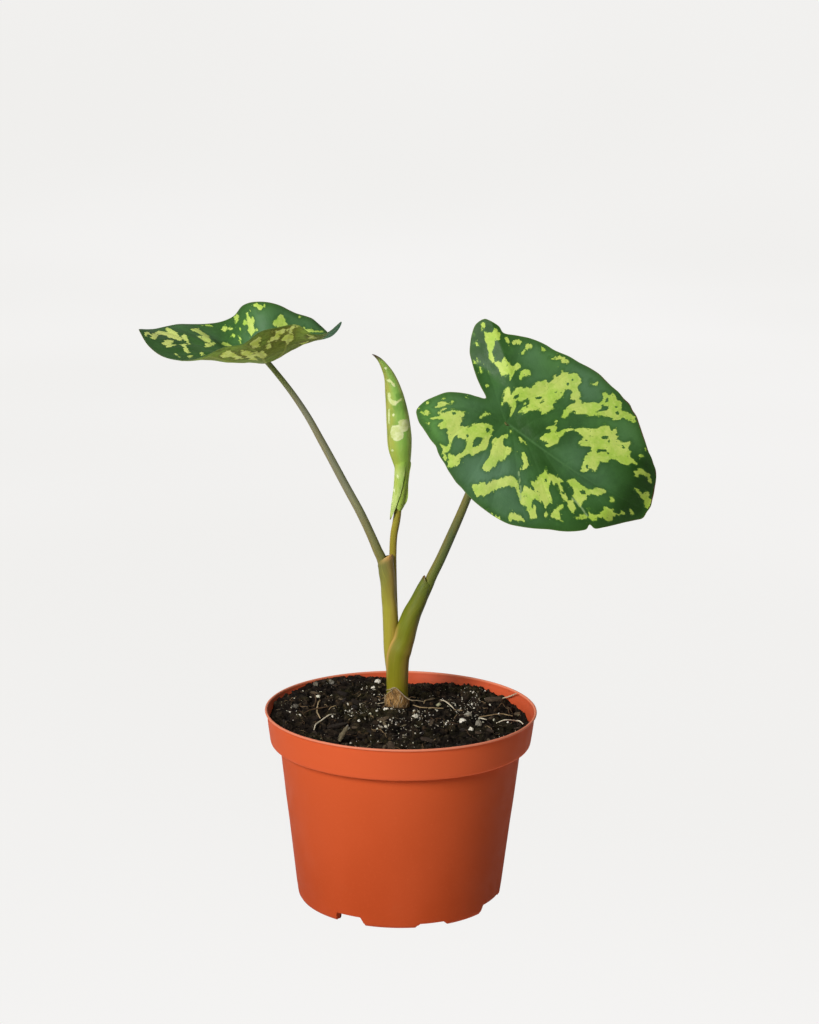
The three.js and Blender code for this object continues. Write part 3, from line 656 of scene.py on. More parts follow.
def leaf_top_look():
    k = Look("leaf_upper_face", roughness=0.5, specular=0.26)
    at = k.attr("leaf", vector=True)
    edge = k.attr("edge")
    vein = k.attr("vein")
    patch = k.attr("patch")
    painted_sheen = k.attr("painted_sheen")
    deep_green_and_shade = k.attr("deep_green_and_shade")
    fresh = k.attr("fresh")
    rim = k.attr("rim")
    # greens: bottle green, a painted grey-green sheen, a fresher green and a deeper one, partly painted shade, where
    # the fields say so
    low = k.noise(at, 0.045, 3.0, 0.55)
    mid = k.noise(at, 0.22, 3.0, 0.6)
    colour = k.mix(k.span(low, 0.36, 0.64), srgb(46, 84, 32), srgb(57, 99, 42))
    colour = k.mix(k.math("MULTIPLY", k.span(mid, 0.45, 0.72), 0.35), colour, srgb(66, 112, 48))
    colour = k.mix(fresh, colour, srgb(86, 136, 56))
    colour = k.mix(painted_sheen, colour, srgb(84, 120, 86))
    colour = k.mix(deep_green_and_shade, colour, srgb(30, 66, 8))
    # darker green round each pale patch, and a stronger green along the margin
    halo = k.math("MULTIPLY", k.span(patch, -2.6, -0.2), k.span(mid, 0.3, 0.7, 0.5, 1.0))
    colour = k.mix(k.math("MULTIPLY", halo, 0.5), colour, srgb(36, 76, 26))
    colour = k.mix(k.math("MULTIPLY", k.span(edge, 5.0, 0.8), 0.5), colour, srgb(44, 82, 22))
    # veins: the midrib and a few side veins, hardly paler than the leaf
    veinw = k.attr("veinw")
    line = k.math("MULTIPLY", k.span(vein, 0.9, 0.1), k.span(veinw, 0.15, 1.5))
    main = k.span(veinw, 0.9, 1.3, 0.10, 0.42)
    colour = k.mix(k.math("MULTIPLY", line, main), colour, srgb(92, 134, 78))
    shade = k.math("MULTIPLY", k.span(vein, 3.2, 0.8), k.span(veinw, 0.5, 1.4))
    colour = k.mix(k.math("MULTIPLY", shade, 0.12), colour, srgb(38, 72, 30))
    # pale patches with ragged borders
    wob = k.math("SUBTRACT", k.noise(at, 0.42, 3.0, 0.7), 0.5)
    fine = k.math("SUBTRACT", k.noise(at, 1.5, 3.0, 0.7), 0.5)
    d = k.math("MULTIPLY_ADD", wob, 2.1, patch)
    d = k.math("MULTIPLY_ADD", fine, 1.9, d)
    # small green specks left standing inside the patches
    hole = k.span(k.cells(k.stretch(at, offset=(17, 3, 0)), 0.5), 0.155, 0.085)
    some = k.span(k.noise(k.stretch(at, offset=(7, 77, 0)), 0.16, 2.0), 0.47, 0.55)
    d = k.math("SUBTRACT", d, k.math("MULTIPLY", k.math("MULTIPLY", hole, some), 3.0))
    lime_low = k.noise(k.stretch(at, offset=(41, 7, 0)), 0.07, 3.0, 0.6)
    lime_mid = k.noise(k.stretch(at, offset=(5, 31, 0)), 0.4, 4.0, 0.7)
    lime = k.mix(k.span(lime_low, 0.38, 0.62), srgb(166, 198, 74), srgb(190, 208, 98))
    lime = k.mix(k.math("MULTIPLY", k.span(lime_mid, 0.5, 0.72), 0.6), lime, srgb(206, 220, 122))
    lime = k.mix(k.math("MULTIPLY", k.span(lime_mid, 0.47, 0.3), 0.6), lime, srgb(142, 180, 60))
    ghost = k.math("MULTIPLY", k.span(k.noise(k.stretch(at, offset=(13, 57, 0)), 0.8, 4.0, 0.75), 0.60, 0.70), 0.5)
    lime = k.mix(ghost, lime, srgb(112, 150, 52))
    lime = k.mix(k.math("MULTIPLY", k.span(vein, 0.7, 0.1), 0.25), lime, srgb(150, 184, 72))
    # painted sheen over the patches too
    lime = k.mix(k.math("MULTIPLY", painted_sheen, 0.25), lime, srgb(190, 204, 132))
    # deeper patches where the green is deeper, partly painted shade
    lime = k.mix(k.math("MULTIPLY", deep_green_and_shade, 0.38), lime, srgb(150, 174, 38))
    # painted light: paler patches where the leaf lies in shade
    lime = k.mix(k.attr("painted_light"), lime, srgb(236, 246, 138))
    fringe = k.math("MULTIPLY", k.span(d, -0.9, -0.1), k.span(mid, 0.35, 0.6, 0.3, 1.0))
    colour = k.mix(k.math("MULTIPLY", fringe, 0.4), colour, srgb(92, 138, 44))
    colour = k.mix(k.span(d, -0.10, 0.12), colour, lime)
    # stray pale flecks in the green close to patches
    stray = k.span(k.cells(k.stretch(at, offset=(3, 9, 0)), 0.42), 0.14, 0.08)
    near = k.math("MULTIPLY", k.span(patch, -3.6, -1.2), k.span(k.noise(at, 0.3, 1.0), 0.50, 0.60))
    colour = k.mix(k.math("MULTIPLY", k.math("MULTIPLY", stray, near), 0.75), colour, srgb(158, 188, 76))
    pale = k.math("MULTIPLY", k.span(k.attr("whisker"), 0.75, 0.25), k.span(k.noise(at, 0.5, 2.0), 0.38, 0.5))
    colour = k.mix(k.math("MULTIPLY", pale, 0.65), colour, srgb(150, 176, 118))
    # thin margin: a yellow-green line, browned where the field says so
    margin = k.span(edge, 0.5, 0.12)
    colour = k.mix(k.math("MULTIPLY", margin, 0.5), colour, srgb(118, 132, 58))
    worn = k.math("MULTIPLY", rim, k.span(k.noise(at, 0.16, 2.0), 0.40, 0.56))
    colour = k.mix(k.math("MULTIPLY", k.math("MULTIPLY", k.span(edge, 0.95, 0.25), worn), 0.85), colour, srgb(98, 54, 36))
    # fine netted relief and softly uneven gloss
    net = k.cells(at, 0.75, "DISTANCE_TO_EDGE")
    normal = k.bump(k.span(net, 0.0, 0.22), 0.08, 0.25)
    normal = k.bump(k.noise(at, 0.30, 3.0, 0.5), 0.5, 0.4, normal)
    rough = k.span(k.noise(at, 0.12, 2.0), 0.3, 0.7, 0.46, 0.58)
    rough = k.math("ADD", rough, k.math("MULTIPLY", k.span(d, -0.1, 0.2), 0.04))
    return k.finish(colour, rough, normal)


def leaf_under_look():
    k = Look("leaf_lower_face", roughness=0.6, specular=0.3)
    at = k.attr("leaf", vector=True)
    edge = k.attr("edge")
    vein = k.attr("vein")
    patch = k.attr("patch")
    low = k.noise(at, 0.06, 3.0, 0.55)
    mid = k.noise(at, 0.25, 3.0, 0.6)
    colour = k.mix(k.span(low, 0.38, 0.62), srgb(112, 126, 40), srgb(132, 160, 62))
    colour = k.mix(k.math("MULTIPLY", k.span(mid, 0.48, 0.66), 0.5), colour, srgb(88, 90, 30))
    wob = k.math("SUBTRACT", k.noise(at, 0.42, 3.0, 0.7), 0.5)
    fine = k.math("SUBTRACT", k.noise(at, 1.5, 3.0, 0.7), 0.5)
    d = k.math("MULTIPLY_ADD", wob, 2.1, patch)
    d = k.math("MULTIPLY_ADD", fine, 1.9, d)
    d = k.math("ADD", d, 0.75)
    # creased streaks, which also tear the patches' borders
    streak = k.noise(k.stretch(at, 0.4, 1.4, 1), 0.42, 3.0, 0.6)
    d = k.math("MULTIPLY_ADD", k.math("SUBTRACT", streak, 0.5), 4.5, d)
    colour = k.mix(k.math("MULTIPLY", k.span(streak, 0.46, 0.34), 0.6), colour, srgb(70, 88, 24))
    colour = k.mix(k.math("MULTIPLY", k.span(streak, 0.56, 0.68), 0.5), colour, srgb(150, 166, 70))
    ring = k.math("MULTIPLY", k.span(d, -1.8, -0.4), k.span(d, 0.5, -0.1))
    colour = k.mix(k.math("MULTIPLY", ring, 0.5), colour, srgb(84, 80, 24))
    pale = k.mix(k.span(mid, 0.4, 0.6), srgb(208, 222, 94), srgb(232, 242, 136))
    colour = k.mix(k.math("MULTIPLY", k.span(d, -0.3, 0.4), 0.95), colour, pale)
    veinw = k.attr("veinw")
    near_vein = k.math("MULTIPLY", k.span(vein, 1.1, 0.2), k.math("MINIMUM", veinw, 1.0))
    colour = k.mix(k.math("MULTIPLY", near_vein, 0.6), colour, srgb(178, 182, 92))
    beside = k.math("MULTIPLY", k.span(vein, 2.6, 1.0), k.span(vein, 0.5, 1.0))
    colour = k.mix(k.math("MULTIPLY", k.math("MULTIPLY", beside, veinw), 0.3), colour, srgb(84, 84, 28))
    colour = k.mix(k.math("MULTIPLY", k.span(edge, 1.8, 0.3), 0.6), colour, srgb(92, 126, 44))
    # where the tip turns over: a paler blue-green, painted sheen and painted light against its shade
    colour = k.mix(k.math("MULTIPLY", k.attr("turn"), 0.9), colour, srgb(98, 152, 122))
    net = k.cells(at, 0.55, "DISTANCE_TO_EDGE")
    colour = k.mix(k.math("MULTIPLY", k.span(net, 0.12, 0.0), 0.15), colour, srgb(164, 174, 84))
    normal = k.bump(k.span(net, 0.2, 0.0), 0.12, 0.4)
    normal = k.bump(k.noise(at, 0.4, 3.0), 0.4, 0.3, normal)
    return k.finish(colour, k.span(low, 0.3, 0.7, 0.55, 0.65), normal)


def furled_look():
    k = Look("rolled_leaf", roughness=0.45, specular=0.28)
    p = k.place()
    x = k.parts(p)["X"]
    z = k.parts(p)["Z"]
    patch = k.attr("patch")
    side = k.attr("side")                      # 0 at the left edge, 1 at the right edge
    crease_shade = k.attr("crease_shade")                      # painted shade: dark along the crease and inside the opening
    streak = k.noise(k.stretch(p, 1, 1, 0.16), 0.8, 3.0, 0.6)
    cloud = k.noise(p, 0.12, 3.0, 0.55)
    colour = k.ramp(side, [(0.0, srgb(184, 184, 92)), (0.22, srgb(168, 176, 76)), (0.5, srgb(146, 184, 84)), (0.78, srgb(138, 186, 82)), (1.0, srgb(200, 214, 114))])
    colour = k.mix(k.math("MULTIPLY", k.span(z, 288.0, 300.0), 0.45), colour, srgb(132, 154, 62))
    flap = k.attr("flap")
    colour = k.mix(k.math("MULTIPLY", k.span(z, 262.0, 246.0), 0.45), colour, srgb(160, 192, 62))
    pale = k.math("MULTIPLY", k.math("MINIMUM", flap, 1.0), k.span(k.noise(k.stretch(p, 1, 1, 0.4), 0.3, 3.0, 0.6), 0.36, 0.6, 0.15, 0.75))
    colour = k.mix(pale, colour, srgb(198, 214, 130))
    colour = k.mix(k.math("MULTIPLY", k.span(flap, 1.0, 2.0), 0.75), colour, srgb(166, 194, 66))
    band = k.math("MULTIPLY", k.span(z, 272.0, 277.0), k.span(z, 289.0, 283.0))
    colour = k.mix(k.math("MULTIPLY", k.math("MULTIPLY", band, k.span(cloud, 0.42, 0.58)), 0.45), colour, srgb(88, 134, 46))
    colour = k.mix(k.math("MULTIPLY", k.span(streak, 0.5, 0.75), 0.25), colour, srgb(186, 206, 116))
    colour = k.mix(k.math("MULTIPLY", k.span(cloud, 0.5, 0.7), 0.28), colour, srgb(100, 148, 58))
    wob = k.math("SUBTRACT", k.noise(p, 0.9, 3.0, 0.6), 0.5)
    d = k.math("MULTIPLY_ADD", wob, 1.1, patch)
    cream = k.mix(k.span(k.noise(p, 0.35, 3.0, 0.6), 0.38, 0.62), srgb(206, 216, 140), srgb(224, 230, 172))
    colour = k.mix(k.math("MULTIPLY", k.span(d, -0.9, 0.1), 0.35), colour, srgb(150, 186, 92))
    colour = k.mix(k.span(d, -0.15, 0.25), colour, cream)
    tip = k.math("MULTIPLY", k.span(z, 302.0, 304.5), 0.8)
    colour = k.mix(tip, colour, srgb(92, 84, 62))
    colour = k.mix(k.math("MULTIPLY", crease_shade, 0.85), colour, srgb(56, 78, 14))
    colour = k.mix(k.attr("brown"), colour, srgb(84, 58, 44))
    normal = k.bump(streak, 0.25, 0.5)
    normal = k.bump(k.noise(p, 0.5, 2.0), 0.3, 0.3, normal)
    return k.finish(colour, k.span(cloud, 0.3, 0.7, 0.4, 0.5), normal)


def floor_look():
    """Evenly lit pale paper: it glows a little, so that nothing throws a shadow on it."""
    k = Look("studio_floor", roughness=1.0, specular=0.0)
    p = k.place()
    colour = k.mix(k.span(k.noise(p, 0.0006, 2.0), 0.3, 0.7), srgb(240, 239, 237), srgb(245, 244, 243))
    k.shader.inputs["Base Color"].default_value = (0, 0, 0, 1)
    k.put(k.shader.inputs["Emission Color"], colour)
    k.shader.inputs["Emission Strength"].default_value = 1.0
    return k.material


def table_look():
    k = Look("studio_table", roughness=0.8, specular=0.1)
    p = k.place()
    colour = k.mix(k.span(k.noise(p, 0.004, 2.0), 0.3, 0.7), srgb(206, 205, 203), srgb(214, 213, 211))
    return k.finish(colour)


POT = pot_look()
PEAT = soil_look()
PERLITE_GRAIN = perlite_look()
FIBRE = fibre_look()
BARK_BITS = bark_look()
CORM = corm_look()
STALK_LEFT = stalk_look("stalk_yellow_olive", srgb(166, 148, 44), srgb(158, 152, 48), srgb(116, 116, 58), srgb(130, 132, 106), 107.0, 230.0, srgb(184, 178, 84), srgb(116, 112, 34))
STALK_RIGHT = stalk_look("stalk_olive_green", srgb(130, 120, 20), srgb(112, 118, 20), srgb(94, 106, 30), srgb(78, 92, 52), 107.0, 205.0, srgb(146, 146, 50), srgb(74, 78, 12))
STALK_CENTRE = stalk_look("stalk_olive_brown", srgb(140, 128, 30), srgb(146, 134, 34), srgb(146, 136, 36), srgb(144, 140, 40), 150.0, 225.0, srgb(168, 156, 60), srgb(104, 92, 22))
LEAF_TOP = leaf_top_look()
LEAF_UNDER = leaf_under_look()
ROLLED = furled_look()
FLOOR = floor_look()
TABLE = table_look()


# ------------------------------------------------------------------ tables
POT_RINGS_OUT = [
    (55.4, 0.35), (55.9, 0.0), (56.3, 0.15), (57.2, 1.6), (57.5, 3.2), (57.75, 5.1), (58.3, 8.9), (60.3, 26.0), (62.4, 44.0), (64.35, 59.0), (65.7, 71.0),
    (66.35, 76.4), (67.0, 82.2), (67.55, 87.2), (67.75, 88.7), (67.95, 89.3), (68.4, 89.62), (69.2, 89.7), (70.6, 89.72), (71.5, 89.78), (72.1, 89.95),
    (72.6, 90.3), (72.95, 90.8), (73.15, 91.5), (73.32, 92.4), (73.6, 94.6), (73.95, 97.0), (74.3, 99.6), (74.6, 102.0), (74.8, 104.4), (74.92, 106.3),
    (75.0, 107.05), (75.2, 107.35), (75.6, 107.42), (75.95, 107.52), (76.14, 107.75), (76.2, 108.05), (76.13, 108.33), (75.95, 108.5), (75.7, 108.58),
    (75.4, 108.6), (75.12, 108.54), (74.92, 108.36), (74.8, 108.1),
]
POT_RINGS_IN = [
    (74.62, 107.4), (74.3, 106.6), (73.85, 105.9), (73.4, 105.2), (72.9, 101.8), (72.4, 98.0), (71.75, 94.3), (71.45, 93.2), (71.0, 92.3), (70.2, 91.6), (67.4, 91.4), (66.7, 91.0),
    (66.35, 90.2), (65.95, 87.5), (65.35, 82.0), (64.75, 76.6), (64.1, 71.0),
    (61.6, 49.2), (59.2, 28.5), (56.9, 10.4), (56.4, 9.0), (55.6, 8.0), (54.8, 7.5), (53.6, 7.3), (40.0, 7.3), (20.0, 7.3), (4.0, 7.3),
]
POT_RINGS_UNDER = [(4.0, 5.6), (20.0, 5.6), (40.0, 5.6), (50.8, 5.6), (51.4, 5.45), (51.8, 5.0), (52.2, 4.2), (52.8, 0.5), (53.1, 0.12), (53.6, 0.0)]
# drain notches: middle (degrees from the front towards +X), reach to either side, height, softness of either end in mm
NOTCHES = [
    (-28.3, 8.3, 8.3, 4.9, 0.5, 1.7), (19.0, 8.3, 8.3, 2.4, 1.8, 1.8), (69.0, 15.3, 15.3, 4.9, 1.5, 0.8), (106.7, 8.3, 8.3, 4.9, 1.0, 1.0),
    (151.7, 8.3, 8.3, 4.9, 1.0, 1.0), (196.7, 8.3, 8.3, 4.9, 1.0, 1.0), (241.7, 8.3, 8.3, 4.9, 1.0, 1.0),
]

RIGHT_STALK = [
    (-2.0, 18.8, 107.3, 6.12), (-2.2, 18.6, 113.6, 6.19), (-2.3, 18.1, 126.7, 6.32), (-1.6, 17.7, 133.9, 6.31),
    (-0.6, 17.5, 137.4, 6.36), (0.5, 17.4, 141.0, 6.08), (1.7, 17.1, 144.6, 5.79), (3.3, 16.5, 151.8, 5.64),
    (5.6, 15.9, 159.0, 5.21), (8.9, 15.1, 166.2, 4.64), (11.9, 14.3, 173.4, 4.15), (13.5, 14.0, 177.0, 3.79),
    (15.8, 13.6, 180.5, 2.94), (20.9, 12.4, 191.2, 2.74), (26.8, 10.7, 205.5, 2.56), (32.4, 8.8, 219.6, 2.33),
    (37.7, 6.9, 233.7, 2.16), (43.2, 4.5, 247.7, 1.98), (49.5, 2.4, 260.6, 1.81), (54.4, 0.8, 268.7, 1.7), (56.6, -0.6, 271.6, 1.65),
]
LEFT_STALK = [
    (-3.0, 21.0, 107.3, 3.42), (-3.2, 20.8, 112.9, 3.53), (-4.1, 20.6, 121.2, 3.87), (-5.0, 20.3, 128.4, 4.14),
    (-5.7, 20.0, 136.7, 4.42), (-6.1, 19.4, 147.4, 4.38), (-6.9, 18.6, 161.6, 4.23), (-7.7, 18.1, 168.7, 4.11),
    (-8.0, 17.6, 175.8, 4.22), (-8.8, 17.0, 182.9, 4.49), (-9.7, 16.6, 188.7, 4.65), (-11.8, 16.2, 191.7, 3.22),
    (-13.6, 15.9, 194.6, 2.69), (-17.5, 15.1, 203.9, 2.46), (-24.0, 13.8, 217.9, 2.37), (-31.3, 12.4, 231.7, 2.28),
    (-38.5, 10.7, 245.6, 2.16), (-45.7, 9.0, 259.3, 1.99), (-53.1, 7.2, 273.0, 1.81), (-61.8, 5.2, 286.5, 1.64),
    (-70.7, 3.4, 298.3, 1.53), (-75.8, 2.0, 304.6, 1.53),
]
CENTRE_STALK = [
    (-2.2, 22.0, 107.3, 1.71), (-2.5, 22.0, 125.6, 1.71), (-3.5, 22.0, 142.1, 1.81), (-4.2, 21.8, 157.3, 1.92),
    (-5.0, 21.4, 174.9, 1.97), (-5.4, 21.0, 185.4, 2.05), (-5.5, 20.8, 192.4, 2.05), (-5.1, 20.4, 202.9, 2.05),
    (-3.6, 19.9, 212.2, 2.1), (-2.6, 19.6, 220.9, 1.96),
]
FURLED = [
    (-4.6, 19.9, 213.4, 1.6), (-3.4, 19.6, 220.3, 4.05), (-1.8, 19.4, 227.2, 4.33), (-1.1, 19.2, 234.1, 3.77),
    (-0.6, 19.0, 241.0, 4.04), (-1.2, 18.8, 247.2, 5.43), (-2.1, 18.6, 254.1, 6.67), (-2.8, 18.2, 264.8, 6.8),
    (-4.0, 17.8, 275.0, 6.09), (-5.8, 17.4, 285.2, 4.84), (-8.3, 17.0, 294.1, 3.17), (-11.1, 16.8, 299.4, 2.09),
    (-13.9, 16.6, 303.3, 1.21), (-16.9, 16.4, 305.7, 0.44),
]
BASE = (-2.1, 18.9)

# Right blade: margin, polar about the joint (degrees from the apex, radius), and its veins (s, t)
RIGHT_EDGE = [
    (-179.5, 32.75), (-174.4, 37.68), (-166.8, 42.92), (-160.7, 47.74), (-153.9, 51.26), (-150.2, 50.80), (-146.3, 49.78), (-142.2, 47.88),
    (-137.8, 46.24), (-133.1, 44.90), (-128.0, 43.34), (-123.4, 43.70), (-118.6, 43.85), (-113.4, 43.82), (-108.7, 44.60), (-103.8, 45.24),
    (-99.0, 46.21), (-93.4, 46.78), (-88.6, 48.09), (-83.5, 49.47), (-78.1, 51.00), (-72.5, 52.78), (-66.7, 54.93), (-59.7, 57.45),
    (-53.7, 58.74), (-45.9, 60.71), (-38.4, 63.23), (-34.0, 65.91), (-29.7, 68.46), (-24.5, 71.27), (-22.2, 72.12), (-19.7, 71.11),
    (-19.1, 74.55), (-15.7, 77.39), (-11.6, 80.79), (-8.0, 84.20), (-5.1, 87.63), (-2.2, 91.07), (0.6, 91.27), (3.3, 91.68),
    (5.6, 91.01), (8.0, 90.49), (10.3, 89.84), (12.6, 89.32), (14.8, 88.65), (17.0, 87.54), (19.1, 85.68), (21.3, 83.94),
    (23.5, 81.74), (25.8, 80.30), (28.3, 79.03), (30.8, 77.91), (33.4, 76.96), (36.0, 76.17), (38.7, 75.54), (41.6, 73.90),
    (44.5, 73.05), (47.7, 70.64), (51.1, 69.06), (54.9, 66.61), (58.7, 65.01), (62.8, 63.74), (67.8, 61.30), (74.3, 57.99),
    (80.6, 56.34), (89.1, 54.00), (96.0, 54.05), (105.6, 53.82), (114.3, 53.40), (121.9, 53.95), (124.3, 57.74), (129.4, 61.49),
    (131.7, 62.61), (137.1, 60.35), (141.5, 55.12), (144.9, 50.14), (148.2, 45.20), (150.4, 39.03), (153.0, 31.93), (155.4, 25.68),
    (160.5, 18.58), (169.1, 22.32), (174.2, 26.75),
]
